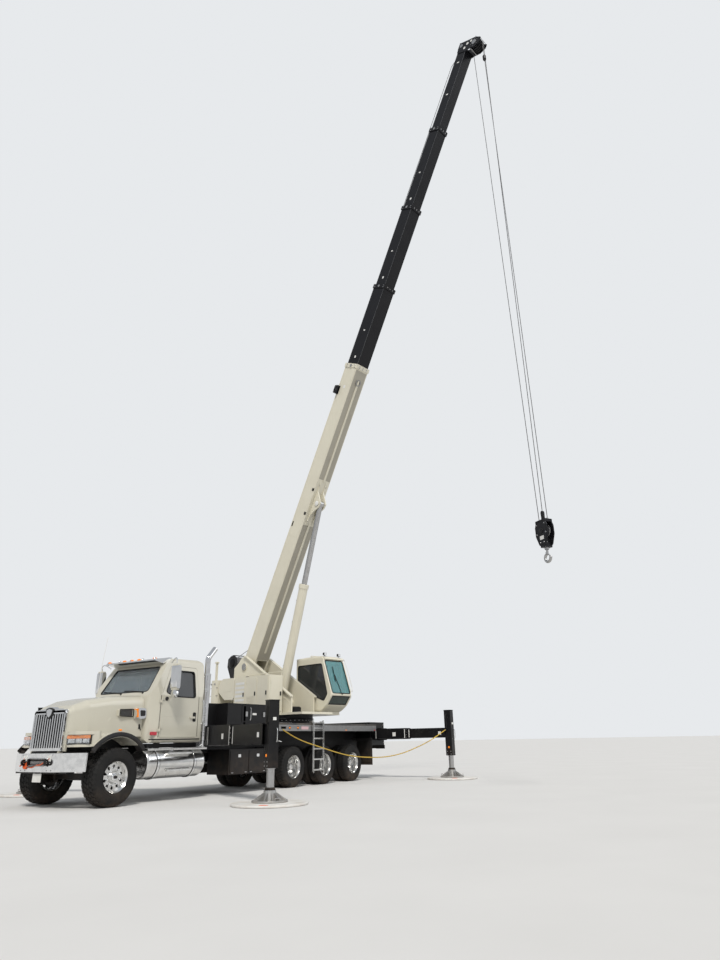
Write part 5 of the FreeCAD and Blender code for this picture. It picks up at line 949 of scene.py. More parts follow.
def hood_dress():
    """Flares, intakes, pods, lamps, latches and the crown of the grille."""
    shape = Shape()
    for k in range(24):
        a0, a1 = radians(38 + 104 * k / 24), radians(38 + 104 * (k + 1) / 24)
        for s in (-1, 1):
            points = []
            for a in (a0, a1):
                for r, y in ((0.766, 1.10), (0.775, 1.262), (0.815, 1.275), (0.862, 1.262), (0.866, 1.235),
                             (0.79, 1.235)):
                    points.append((r * cos(a), s * y, FRONT_TYRE[0] + r * sin(a)))
            faces = [(i, (i + 1) % 6, 6 + (i + 1) % 6, 6 + i) for i in range(6)]
            if k in (0, 23):
                faces.append(tuple(range(6)) if k == 0 else tuple(range(6, 12)))
            shape.add(points, faces if s < 0 else [f[::-1] for f in faces], BLACK_PLASTIC)
    for s in (-1, 1):
        shape.ball((0.02, s * 1.235, 1.465), 0.036, AMBER, (1.4, 0.5, 0.6))
        mesh = rounded([(-0.60, 1.765), (-0.285, 1.775), (-0.285, 1.885), (-0.60, 1.90)], 0.02)
        shape.plate(mesh, "y", s * 0.80, s * 0.818, INTAKE_MESH)
        shape.frame_strip(rounded([(-0.635, 1.745), (-0.255, 1.755), (-0.255, 1.905), (-0.635, 1.92)], 0.03),
                          "y",
                          s * 0.80, s * 0.026, 0.018, SEAL)
        pod = rounded([(-0.70, 1.70), (-0.66, 1.94), (-0.885, 1.935), (-0.895, 1.72)], 0.06)
        shape.plate(pod, "y", s * 0.76, s * 0.935, CHROME)
        shape.plate(rounded([(-0.74, 1.76), (-0.72, 1.89), (-0.86, 1.885), (-0.865, 1.77)], 0.03), "y",
                    s * 0.93, s * 0.942, BLACK_PLASTIC)
        shape.plate(rounded([(-0.668, 1.74), (-0.648, 1.92), (-0.678, 1.92), (-0.695, 1.74)], 0.01), "y",
                    s * 0.80, s * 0.925, AMBER)
        w = hood_at(-0.72)[0]
        shape.block((-0.83, s * (w - 0.01), 1.50), (-0.80, s * (w + 0.02), 1.60), SEAL)
        shape.hose([(-0.815, s * (w + 0.016), 1.60), (-0.83, s * (w + 0.024), 1.53),
                    (-0.86, s * (w + 0.02), 1.47)], 0.010, SEAL)
        shape.block((0.10, s * 0.60, 1.395), (0.62, s * 0.72, 1.41), CAB_PAINT)
    for k in range(12):
        y = 0.95 * ((k + 0.5) / 12 - 0.5)
        shape.plate(panel(y - 0.016, 1.115, y + 0.016, 1.80, 0.006, 1), "x", 0.852, 0.868, CHROME)
    shape.block((0.798, -0.478, 1.10), (0.815, 0.478, 1.82), INTAKE_MESH)
    cap = [(-0.53, 1.80), (0.53, 1.80), (0.50, 1.885), (0.20, 1.90), (0.11, 1.945), (-0.11, 1.945),
           (-0.20, 1.90), (-0.50, 1.885)]
    shape.plate(rounded(cap, 0.03), "x", 0.79, 0.872, CHROME)
    badge = [(-0.13, 1.90), (-0.10, 1.78), (0.0, 1.70), (0.10, 1.78), (0.13, 1.90), (0.0, 1.935)]
    shape.plate(rounded(badge, 0.03), "x", 0.868, 0.892, BLACK_PLASTIC)
    shape.plate(rounded([(0.75 * y, 1.825 + 0.75 * (z - 1.825)) for y, z in badge], 0.02), "x", 0.89, 0.897,
                CHROME)
    shape.frame_strip(panel(-0.53, 1.098, 0.53, 1.87, 0.05), "x", 0.85, 0.022, 0.042, CHROME)
    shape.done("hood_trim", "hood", 0.002)


def headlamp_faces():
    """The two headlamps: housing, projector lamps, amber strip and clear cover, in place of plain blocks."""
    shape = Shape()
    for s in (-1, 1):
        start, end = Vector((0.838, s * 0.615, 0)), Vector((0.655, s * 1.125, 0))
        run = end - start
        out = Vector((run.y * s, -run.x * s, 0)).normalized()

        def at(t, z, off):
            p = start + run * t + out * off
            return (p.x, p.y, z)

        def slab(t0, t1, z0, z1, d0, d1, finish, slant=0.0):
            points = [at(t, z + slant * t, d) for d in (d0, d1)
                      for t, z in ((t0, z0), (t1, z0), (t1, z1), (t0, z1))]
            faces = [(3, 2, 1, 0), (4, 5, 6, 7), (0, 1, 5, 4), (1, 2, 6, 5), (2, 3, 7, 6), (3, 0, 4, 7)]
            shape.add(points, faces if s < 0 else [f[::-1] for f in faces], finish)
        slab(0.0, 1.0, 1.205, 1.375, -0.10, -0.03, BLACK_PLASTIC)
        slab(0.02, 0.98, 1.312, 1.370, -0.03, -0.008, AMBER)
        for t0, t1 in ((0.06, 0.34), (0.38, 0.64), (0.68, 0.94)):
            slab(t0, t1, 1.232, 1.308, -0.04, -0.022, CHROME)
            slab(t0 + 0.03, t1 - 0.03, 1.240, 1.300, -0.024, -0.016, CLEAR_LENS)
        slab(0.02, 0.98, 1.210, 1.228, -0.03, -0.016, BLACK_PLASTIC)
        slab(0.0, 1.0, 1.205, 1.375, -0.006, -0.001, CLEAR_COVER)
    shape.done("headlamp_faces", "hood", 0.002, ("headlamps",))


TOW_Y = 0.38


def bumper_dress():
    """Winch rope, fairlead, tow straps, driving lamps and the blank plate on the bumper."""
    shape = Shape()
    for k in range(22):
        y = -0.25 + 0.5 * (k + 0.5) / 22
        shape.turned([(-0.011, 0.048), (0, 0.062), (0.011, 0.048)], (0.935, y, 0.870), (0, 1, 0), WIRE_ROPE,
                     20, True)
    for y in (-0.29, 0.29):
        shape.turned([(0, 0.09), (0.02, 0.09), (0.03, 0.07), (0.05, 0.0)], (0.935, y, 0.870),
                     (0, 1 if y > 0 else -1, 0), FRAME_BLACK, 24)
    for z in (0.805, 0.945):
        shape.bar((1.002, -0.26, z), (1.002, 0.26, z), 0.017, STEEL, 14)
    shape.frame_strip(panel(-0.335, 0.785, 0.335, 0.965, 0.03), "x", 1.0, 0.012, 0.022, CHROME)
    shape.hose([(0.97, 0.05, 0.85), (1.015, 0.02, 0.83), (1.022, -0.12, 0.80), (1.022, -0.30, 0.78)], 0.012,
               WIRE_ROPE)
    shape.hose([(1.016, -0.30, 0.80), (1.026, -0.34, 0.76), (1.022, -0.40, 0.78), (1.020, -0.41, 0.84),
                (1.018, -0.36, 0.86)], 0.019, ORANGE)
    shape.plate(panel(-0.43, 0.76, -0.33, 0.88, 0.02), "x", 1.010, 1.022, ORANGE)
    for a, b in (((1.016, 0.30, 0.90), (1.018, 0.0, 0.82)), ((1.016, 0.0, 0.82), (1.018, -0.30, 0.79)),
                 ((1.016, 0.42, 0.95), (1.016, 0.28, 0.86)), ((1.016, -0.42, 0.95), (1.016, -0.55, 0.80))):
        shape.hose([a, [(p + q) / 2 - (0.03 if i == 2 else 0) for i, (p, q) in enumerate(zip(a, b))], b],
                   0.010, ORANGE)
    for s in (-1, 1):
        shape.plate(panel(s * 0.40 - 0.055, 0.895, s * 0.40 + 0.055, 1.00, 0.012), "x", 1.008, 1.020,
                    LABEL_WHITE)
        for y, z in ((0.50, 0.72), (0.50, 1.01), (0.36, 0.72)):
            shape.bolt((1.008, s * y, z), (1, 0, 0), 0.010, STEEL)
        shape.hose([(0.99, s * TOW_Y - 0.03, 0.87), (1.06, s * TOW_Y - 0.03, 0.87), (1.085, s * TOW_Y, 0.87),
                    (1.06, s * TOW_Y + 0.03, 0.87), (0.99, s * TOW_Y + 0.03, 0.87)], 0.013, FRAME_BLACK)
        shape.block((0.80, s * 0.44, 0.66), (0.90, s * 0.84, 0.69), FRAME_BLACK)
    shape.plate(panel(-0.14, 0.50, 0.14, 0.66, 0.012), "x", 0.955, 0.962, LABEL_WHITE)
    for y in (-0.11, 0.11):
        shape.bar((0.958, y, 0.64), (0.958, y, 0.72), 0.005, STEEL, 6)
    shape.plate([(0.70, 0.64), (0.93, 0.66), (0.93, 0.69), (0.70, 0.69)], "y", -0.56, 0.56, FRAME_BLACK)
    shape.done("bumper_winch_gear", "carrier", 0.002)


def visor_lamps():
    """Five amber roof lamps along the visor, with their chrome bases."""
    shape = Shape()
    for y in (-0.80, -0.26, 0.0, 0.26, 0.80):
        shape.ball((-1.105, y, 3.052), 0.038, AMBER, (1.2, 1.4, 0.85))
        shape.pipe((-1.115, y, 3.035), (-1.112, y, 3.045), 0.060, 0.036, CHROME, 18)
    shape.hose([(-1.045, -0.84, 3.018), (-1.040, 0.0, 3.022), (-1.045, 0.84, 3.018)], 0.012, CHROME, 8)
    shape.done("visor_lamps", "carrier", 0.0)


def tank_dress():
    """Steps with treads, strap liners, caps and the pipes between tanks and cab."""
    for side, place in (("left", TRUCK), ("right", TRUCK_RIGHT)):
        shape = Shape(place)
        for x in (-1.10, -2.20):
            shape.pipe((x - 0.045, 0.93, 0.775), (x + 0.045, 0.93, 0.775), 0.318, 0.310, SEAL, 40)
            shape.pipe((x - 0.028, 0.93, 0.775), (x + 0.028, 0.93, 0.775), 0.326, 0.316, CHROME, 40)
            shape.block((x - 0.03, 0.59, 0.76), (x + 0.03, 0.62, 1.06), FRAME_BLACK)
        for z in (0.640, 0.990):
            shape.block((-2.06, 1.135, z - 0.032), (-1.34, 1.262, z + 0.006), POLISHED)
            for k in range(18):
                x = -2.04 + 0.039 * k
                shape.block((x, 1.15, z + 0.004), (x + 0.022, 1.262 - 0.012, z + 0.012), TRIM_AND_HIGHLIGHT_GREY)
        shape.block((-2.60, 0.82, 1.045), (-0.80, 1.20, 1.085), POLISHED)
        for k in range(40):
            shape.block((-2.58 + 0.0445 * k, 0.84, 1.083), (-2.556 + 0.0445 * k, 1.18, 1.092), TRIM_AND_HIGHLIGHT_GREY)
        shape.turned([(0, 0.055), (0.05, 0.055), (0.06, 0.045), (0.06, 0)], (-1.55, 1.09, 1.02),
                     (0, 0.55, 0.83), CHROME, 20)
        shape.hose([(-0.86, 0.80, 0.98), (-0.80, 0.72, 0.92), (-0.70, 0.55, 0.94), (-0.66, 0.46, 0.96)],
                   0.018, HOSE)
        shape.done(f"tank_steps_{side}", "carrier", 0.003)


def exhaust_dress():
    """Clamps, heat shield bands and the muffler's pipe down to the frame."""
    shape = Shape()
    x, y = -2.685, 0.965
    for z in (1.27, 1.62, 2.02, 2.42, 2.78):
        shape.pipe((x, y, z - 0.015), (x, y, z + 0.015), 0.101, 0.094, CHROME, 32)
    shape.hose([(x, y, 1.27), (x, y, 1.16), (x + 0.10, y - 0.06, 1.08), (x + 0.30, y - 0.20, 1.06),
                (x + 0.55, 0.62, 1.06)], 0.062, STEEL, 16)
    shape.pipe((x, y, 1.235), (x, y, 1.285), 0.082, 0.066, STEEL, 24)
    shape.done("exhaust_clamps", "carrier", 0.0)


# Deck, outriggers and running gear

def deck_dress():
    """Edge trim with its lamps and blank plates, tread strips, ring bolts and hoses on the deck."""
    shape = Shape()
    for s in (-1, 1):
        shape.block((-5.24, s * 1.262, 1.450), (-10.45, s * 1.2745, 1.505 if s > 0 else 1.6), TRIM_AND_HIGHLIGHT_GREY)
        if s > 0:
            shape.block((-5.24, 1.262, 1.568), (-10.45, 1.2745, 1.612), TRIM_AND_HIGHLIGHT_GREY)
            shape.block((-5.24, 1.262, 1.505), (-5.335, 1.2745, 1.568), TRIM_AND_HIGHLIGHT_GREY)
            shape.block((-5.565, 1.262, 1.505), (-10.45, 1.2745, 1.568), TRIM_AND_HIGHLIGHT_GREY)
        for x in (-5.72, -6.10):
            shape.ball((x, s * 1.274, 1.535), 0.030, AMBER, (1.3, 0.5, 0.8))
            shape.pipe((x, s * 1.270, 1.535), (x, s * 1.278, 1.535), 0.044, 0.030, SEAL, 18)
        for k in range(12):
            shape.bolt((-5.95 - 0.39 * k, s * 1.2745, 1.592), (0, s, 0), 0.009, STEEL)
        for x in (-8.6, -10.35):
            shape.ball((x, s * 1.274, 1.478), 0.024, RED_LENS if x < -10 else AMBER, (1.5, 0.4, 0.8))
    shape.plate(panel(-6.60, 1.492, -6.26, 1.572, 0.006, 1), "y", 1.2745, 1.279, LABEL_PINK)
    for x0, x1 in ((-5.30, -5.95), (-8.55, -10.35)):
        for s in (-1, 1):
            shape.block((x0, s * 0.86, 1.660), (x1, s * 1.20, 1.668), DECK_GREY)
            for k in range(9):
                at = x0 + (x1 - x0) * (k + 0.5) / 9
                for y in (0.88, 1.18):
                    shape.bolt((at, s * y, 1.668), (0, 0, 1), 0.007, STEEL)
    for k in range(36):
        a = tau * k / 36
        shape.bolt((SLEW_X + 0.735 * cos(a), 0.735 * sin(a), 1.76), (0, 0, 1), 0.016, STEEL)
    shape.turned([(0.0, 0.745), (0.012, 0.752), (0.024, 0.745)], (SLEW_X, 0, 1.80), (0, 0, 1), SEAL, 72)
    for s, y in ((1, 0.62), (-1, -0.66)):
        shape.hose([(-4.95, y, 1.69), (-5.6, y + 0.04 * s, 1.685), (-6.3, y - 0.02, 1.69),
                    (-6.75, y * 0.8, 1.70)], 0.020, HOSE)
        shape.hose([(-4.95, y + 0.06, 1.69), (-5.6, y + 0.09, 1.685), (-6.3, y + 0.05, 1.69),
                    (-6.72, y * 0.9, 1.70)], 0.016, HOSE)
    shape.done("deck_trim_parts", "carrier", 0.002)


def ladder_dress():
    """Serrated treads and hooks of the ladder."""
    shape = Shape()
    x = -7.03
    for z in (0.39, 0.67, 0.95, 1.23, 1.51):
        shape.block((x - 0.245, 1.293, z + 0.012), (x + 0.245, 1.348, z + 0.034), POLISHED)
        for k in range(14):
            shape.block((x - 0.23 + 0.034 * k, 1.296, z + 0.033), (x - 0.216 + 0.034 * k, 1.344, z + 0.040),
                        TRIM_AND_HIGHLIGHT_GREY)
    for s in (-1, 1):
        shape.hose([(x + s * 0.25, 1.32, 0.36), (x + s * 0.25, 1.32, 1.64), (x + s * 0.25, 1.30, 1.69),
                    (x + s * 0.25, 1.20, 1.70)], 0.020, POLISHED, 10)
        shape.bar((x + s * 0.25, 1.32, 0.325), (x + s * 0.25, 1.32, 0.37), 0.026, SEAL, 14)
    shape.done("ladder_treads", "carrier", 0.002)


CORNERS = {      # jack place, side, splay, beam middle height, beam width and height, jack top
    "front_left": ((-1.62, 3.97), 1, radians(25), 1.335, (0.40, 0.47), 2.01),
    "front_right": ((-1.62, 3.97), -1, radians(25), 1.855, (0.40, 0.47), 2.15),
    "rear_left": ((-10.80, 3.80), 1, 0.0, 1.355, (0.30, 0.34), 2.04),
    "rear_right": ((-11.20, 3.80), -1, 0.0, 1.355, (0.30, 0.34), 2.04),
}
STOWED_Y, HOUSING_Y, STAGE_STEP = 1.15, 1.00, 0.022
PAINT = 0.0002          # painted marks stand out by less than the collars' gap


def corner_frame(corner):
    """The frame of an outrigger, with its reach from the truck's middle to its jack."""
    (jx, jy), side, splay = CORNERS[corner][:3]
    reach = jy / cos(splay)
    way = Vector((sin(splay), side * cos(splay), 0))
    start = Vector((jx, side * jy, 0)) - way * reach
    return TRUCK @ Matrix.Translation(start) @ Matrix.Rotation(atan2(way.y, way.x), 4, "Z"), reach


def outer_beam_dress(corner):
    """Stripes, a painted line, a blank label, collar bolts and a steel strip on an outer beam."""
    place, reach = corner_frame(corner)
    splay, z, (w, h) = CORNERS[corner][2:5]
    travel = reach - STOWED_Y / cos(splay)
    head = HOUSING_Y / cos(splay) - 0.04 + travel / 2
    shape = Shape(place)
    x0 = HOUSING_Y / cos(splay) + 0.03
    for s in (-1, 1):
        y = s * (w / 2)
        for a, b in ((x0 + 0.10, x0 + 0.125), (head - 0.055, head - 0.030)):
            shape.block((a, y, z - h / 2 + 0.03), (b, y + s * PAINT, z + h / 2 - 0.03), LABEL_WHITE)
        shape.block((head - 0.50, y, z - 0.075), (head - 0.38, y + s * PAINT, z + 0.045), LABEL_WHITE)
        shape.block((x0 + 0.20, y, z - h / 2 + 0.02), (head - 0.08, y + s * PAINT, z - h / 2 + 0.028),
                    TRIM_AND_HIGHLIGHT_GREY)
        for k in range(4):
            shape.bolt((head + 0.018, s * (w / 2 - 0.003), z - 0.33 * h + 0.22 * h * k), (0, s, 0), 0.010,
                       STEEL)
    shape.block((x0 + 0.05, -0.06, z + h / 2), (head - 0.02, 0.06, z + h / 2 + PAINT), STEEL)
    shape.done(f"outer_beam_marks_{corner}", f"outer_beam_{corner}", 0.0)


def inner_beam_dress(corner):
    """Jack head, lamp, hoses, handle and blank labels on an outrigger's inner stage."""
    place, reach = corner_frame(corner)
    splay, z, (w, h), top = CORNERS[corner][2:]
    w, h = w - 2 * STAGE_STEP, h - 2 * STAGE_STEP
    travel = reach - STOWED_Y / cos(splay)
    start = HOUSING_Y / cos(splay) + travel / 2 + 0.04
    shape = Shape(place)
    for s in (-1, 1):
        shape.block((start + 0.02, s * w / 2, z - h / 2 + 0.03),
                    (start + 0.045, s * (w / 2 + 0.0018), z + h / 2 - 0.03), LABEL_WHITE)
        shape.block((reach - 0.34, s * w / 2, z - 0.06), (reach - 0.24, s * (w / 2 + 0.002), z + 0.04),
                    LABEL_WHITE)
        shape.ball((reach, s * 0.112, 0.92), 0.035, AMBER, (0.9, 0.35, 0.9))
        for level in (0.72, 0.80):
            for ahead in (-0.06, 0.06):
                shape.bolt((reach + ahead, s * 0.11, level), (0, s, 0), 0.011, STEEL)
    shape.plate(panel(reach - 0.10, -0.10, reach + 0.10, 0.10, 0.03), "z", top - 0.004, top, STEEL)
    shape.pipe((reach, 0, 0.672), (reach, 0, 0.700), 0.105, 0.081, STEEL, 32)
    for s, rise in ((1, 0.16), (-1, 0.20)):
        shape.hose([(reach - 0.04, s * 0.124, z + h / 2 - 0.01), (reach - 0.03, s * 0.138, top - rise),
                    (reach - 0.03, s * 0.126, top - rise + 0.07),
                    (reach - 0.03, s * 0.105, top - rise + 0.08)], 0.013, HOSE)
        shape.block((reach - 0.09, s * 0.108, z + h / 2 - 0.03), (reach + 0.05, s * 0.126, z + h / 2 + 0.02),
                    FRAME_BLACK)
    shape.block((reach + 0.11, -0.035, 1.60), (reach + 0.135, 0.035, 1.66), LABEL_WHITE)
    shape.hose([(reach + 0.112, 0.05, 1.18), (reach + 0.16, 0.05, 1.20), (reach + 0.16, 0.05, 1.42),
                (reach + 0.112, 0.05, 1.44)], 0.009, POLISHED)
    if corner == "rear_left":
        shape.place = TRUCK
        shape.pipe((-10.602, 3.753, 1.436), (-10.640, 3.753, 1.436), 0.030, 0.012, STEEL, 20)
    shape.done(f"jack_head_{corner}", f"inner_beam_{corner}", 0.0015)


def float_foot(corner):
    """A jack's rod and its round float: disc, twelve ribs, socket and boot, in place of the plain cone."""
    place, reach = corner_frame(corner)
    middle = place @ Matrix.Translation((reach, 0, 0))
    shape = Shape(middle)
    low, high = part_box(f"jack_rod_{corner}")
    shape.turned([(0.30, 0.0), (0.30, 0.0795), (high.z - 0.004, 0.0795), (high.z, 0.074), (high.z, 0.0)],
                 (0, 0, 0), (0, 0, 1), STEEL, 40)
    disc = [(low.z, 0.0), (low.z, 0.345), (low.z + 0.008, 0.365), (low.z + 0.030, 0.370),
            (low.z + 0.038, 0.362), (low.z + 0.038, 0.335), (low.z + 0.028, 0.325), (low.z + 0.028, 0.0)]
    shape.turned(disc, (0, 0, 0), (0, 0, 1), FLOAT_STEEL, 64)
    socket = [(low.z + 0.02, 0.0), (low.z + 0.02, 0.150), (0.165, 0.142), (0.225, 0.130), (0.262, 0.128),
              (0.270, 0.118), (0.270, 0.0)]
    shape.turned(socket, (0, 0, 0), (0, 0, 1), FLOAT_STEEL, 40)
    shape.turned([(0.262, 0.0), (0.262, 0.108), (0.274, 0.116), (0.284, 0.104), (0.294, 0.110),
                  (0.306, 0.098), (0.322, 0.096), (0.322, 0.0)], (0, 0, 0), (0, 0, 1), SEAL, 36)
    rib = [(0.135, low.z + 0.024), (0.345, low.z + 0.024), (0.345, low.z + 0.040), (0.150, 0.222),
           (0.130, 0.226)]
    for k in range(12):
        shape.place = middle @ Matrix.Rotation(tau * (k + 0.5) / 12, 4, "Z")
        shape.plate(rib, "y", -0.007, 0.007, FLOAT_STEEL)
    shape.place = middle
    for s in (-1, 1):
        shape.hose([(s * 0.335, -0.05, 0.082), (s * 0.352, -0.05, 0.135), (s * 0.352, 0.05, 0.135),
                    (s * 0.335, 0.05, 0.082)], 0.009, STEEL)
    shape.done(f"jack_foot_{corner}", f"jack_rod_{corner}", 0.0015, (f"jack_rod_{corner}",))


def pads():
    """Round ground pads with a raised rim, a shallow dish and rope handles."""
    shape = Shape()
    for (jx, jy), side, *_ in CORNERS.values():
        profile = [(0.0, 0.0), (0.0, 0.765), (0.010, 0.783), (0.035, 0.785), (0.048, 0.778), (0.0498, 0.760),
                   (0.044, 0.735), (0.044, 0.44), (0.0498, 0.42), (0.0498, 0.0)]
        shape.turned(profile, (jx, side * jy, 0), (0, 0, 1), PAD_WHITE, 72)
        for a in (radians(30), radians(210)):
            c, s = cos(a), sin(a)
            route = [(jx + r * c - t * s, side * jy + r * s + t * c, z) for r, t, z in
                     ((0.735, -0.09, 0.046), (0.742, -0.05, 0.052), (0.745, 0.0, 0.054), (0.742, 0.05, 0.052),
                      (0.735, 0.09, 0.046))]
            shape.hose(route, 0.008, ORANGE, 8)
    shape.done("round_pads", "carrier", 0.0, ("ground_pads",))


def frame_dress():
    """Stowage doors, housings' brackets, air tanks, shafts, brake chambers and hoses along the frame."""
    shape = Shape()
    for s in (-1, 1):
        for x0, x1 in ((-3.42, -4.08), (-4.12, -4.80)):
            shape.plate(panel(x0, 0.475, x1, 0.985, 0.03), "y", s * 1.205, s * 1.222, FRAME_BLACK)
            shape.plate(panel((x0 + x1) / 2 - 0.05, 0.83, (x0 + x1) / 2 + 0.05, 0.90, 0.015), "y", s * 1.220,
                        s * 1.230, CHROME)
            for x in (x0 - 0.08, x1 + 0.08):
                shape.bar((x - 0.035, s * 1.224, 0.482), (x + 0.035, s * 1.224, 0.482), 0.009, STEEL, 10)
        for x in (-5.25, -6.76, -8.28):
            shape.turned([(-0.21, 0.0), (-0.21, 0.06), (-0.17, 0.105), (0.17, 0.105), (0.21, 0.06),
                          (0.21, 0.0)], (x, s * 0.60, 0.95), (1, 0, 0), FRAME_BLACK, 20)
        for x in REAR_AXLES:
            shape.turned([(0, 0.0), (0, 0.075), (0.05, 0.09), (0.13, 0.09), (0.18, 0.06), (0.18, 0)],
                         (x + 0.17, s * 0.50, 0.60), (-0.3, 0, 1), FRAME_BLACK, 18)
            shape.turned([(0, 0.0), (0, 0.20), (0.03, 0.215), (0.10, 0.215), (0.10, 0)], (x, s * 0.55, 0.525),
                         (0, s, 0), FRAME_BLACK, 32)
        shape.bar((-5.45, s * 1.20, 1.18), (-4.92, s * 1.10, 1.28), 0.014, POLISHED, 12)
        shape.hose([(-0.60, s * 0.47, 0.98), (-1.6, s * 0.475, 0.96), (-2.9, s * 0.475, 0.97),
                    (-4.6, s * 0.475, 0.96)], 0.012, HOSE)
    for (x0, z0), (x1, z1) in (((-1.0, 0.92), (-5.82, 0.60)), ((-6.20, 0.56), (-7.32, 0.56)),
                               ((-7.72, 0.56), (-8.84, 0.56))):
        shape.bar((x0, 0, z0), (x1, 0, z1), 0.055, STEEL, 20)
    shape.bar((-0.10, -0.48, 0.50), (-0.10, 0.48, 0.50), 0.022, STEEL, 12)
    y = 1.240
    shape.frame_strip(panel(-4.80, 1.66, -3.74, 2.08, 0.02), "y", y, 0.008, 0.03, FRAME_BLACK)
    shape.plate(panel(-4.32, 1.84, -4.16, 1.89, 0.01), "y", y, y + 0.004, LABEL_WHITE)
    for x in (-4.62, -3.92):
        shape.plate(panel(x - 0.04, 1.80, x + 0.04, 1.92, 0.02), "y", y, y + 0.016, STEEL)
    shape.hose([(-4.05, y, 1.72), (-4.06, y + 0.028, 1.74), (-4.06, y + 0.028, 2.00), (-4.05, y, 2.02)],
               0.010, POLISHED)
    for s in (-1, 1):
        shape.frame_strip(panel(-11.41, 1.03, -10.50, 1.72, 0.02), "y", s * 1.0, s * 0.006, 0.03, FRAME_BLACK)
        for z in (1.08, 1.66):
            for x in (-11.37, -10.55):
                shape.bolt((x, s * 1.003, z), (0, s, 0), 0.012, STEEL)
        shape.ball((-10.56, s * 1.008, 1.60), 0.028, RED_LENS, (1.3, 0.4, 0.9))
        shape.ball((-11.518, s * 0.88, 0.945), 0.042, RED_LENS, (0.25, 1.0, 1.0))
        shape.ball((-11.518, s * 0.74, 0.945), 0.042, AMBER, (0.25, 1.0, 1.0))
        shape.plate([(-10.20, 0.50), (-10.20, 1.14), (-10.185, 1.14), (-10.185, 0.50)], "y", s * 0.70,
                    s * 1.18, SEAL)
    shape.plate(panel(-0.16, 0.77, 0.16, 0.87, 0.01), "x", -11.482, -11.478, LABEL_WHITE)
    shape.done("frame_fittings", "carrier", 0.002)


# Superstructure

def turret_dress():
    """Bolts, pins, hoses and blank plates on the turret's side plates and its base."""
    shape = Shape(TURRET)
    for s in (-1, 1):
        y = s * 0.475
        shape.turned([(0, 0.115), (0.012, 0.115), (0.012, 0.0)], (PIN_X, s * 0.50, PIN_Z), (0, s, 0), STEEL,
                     32)
        for k in range(6):
            a = tau * k / 6
            shape.bolt((PIN_X + 0.085 * cos(a), s * 0.512, PIN_Z + 0.085 * sin(a)), (0, s, 0), 0.011, STEEL)
        shape.turned([(0, 0.10), (0.02, 0.10), (0.02, 0.0)], (CYLINDER_X, y, CYLINDER_Z), (0, s, 0), CRANE_PAINT,
                     28)
        for k in range(4):
            a = tau * (k + 0.5) / 4
            shape.bolt((CYLINDER_X + 0.075 * cos(a), s * 0.495, CYLINDER_Z + 0.075 * sin(a)), (0, s, 0), 0.012,
                       STEEL)
        for k in range(9):
            t = (k + 0.5) / 9
            shape.ball((0.55 - 2.15 * t, s * 0.535, 2.487 + 1.30 * t), 0.013, CRANE_PAINT, (1, 1, 0.7), 5, 8)
        outline = rounded([(0.30, 2.04), (0.54, 2.04), (0.54, 2.30), (0.05, 2.56), (-0.10, 2.56),
                           (-0.10, 2.30)], 0.05)
        shape.frame_strip(outline, "y", y, s * 0.006, 0.022, CRANE_PAINT)
    for k in range(40):
        a = tau * k / 40
        x, y = 0.60 * cos(a), 0.60 * sin(a)
        if abs(y) < 0.40:
            shape.bolt((x, y, 1.986), (0, 0, 1), 0.016, STEEL)
    for y in (-0.345, -0.30, -0.255, 0.28, 0.33):
        shape.hose([(0.55, y, 2.00), (0.1, y, 2.03), (-0.25, y, 2.08), (-0.80, y, 2.16), (-1.30, y, 2.26),
                    (-1.62, y, 2.60), (-2.10, y, 3.05)], 0.016, HOSE)
    shape.turned([(0, 0.17), (0.03, 0.19), (0.16, 0.19), (0.19, 0.15), (0.19, 0)], (0.25, 0.0, 1.985),
                 (0, 0, 1), FRAME_BLACK, 28)
    shape.block((-2.366, -0.36, 2.60), (-2.372, 0.36, 3.30), CRANE_PAINT)
    shape.done("turret_fittings", "turret", 0.003)


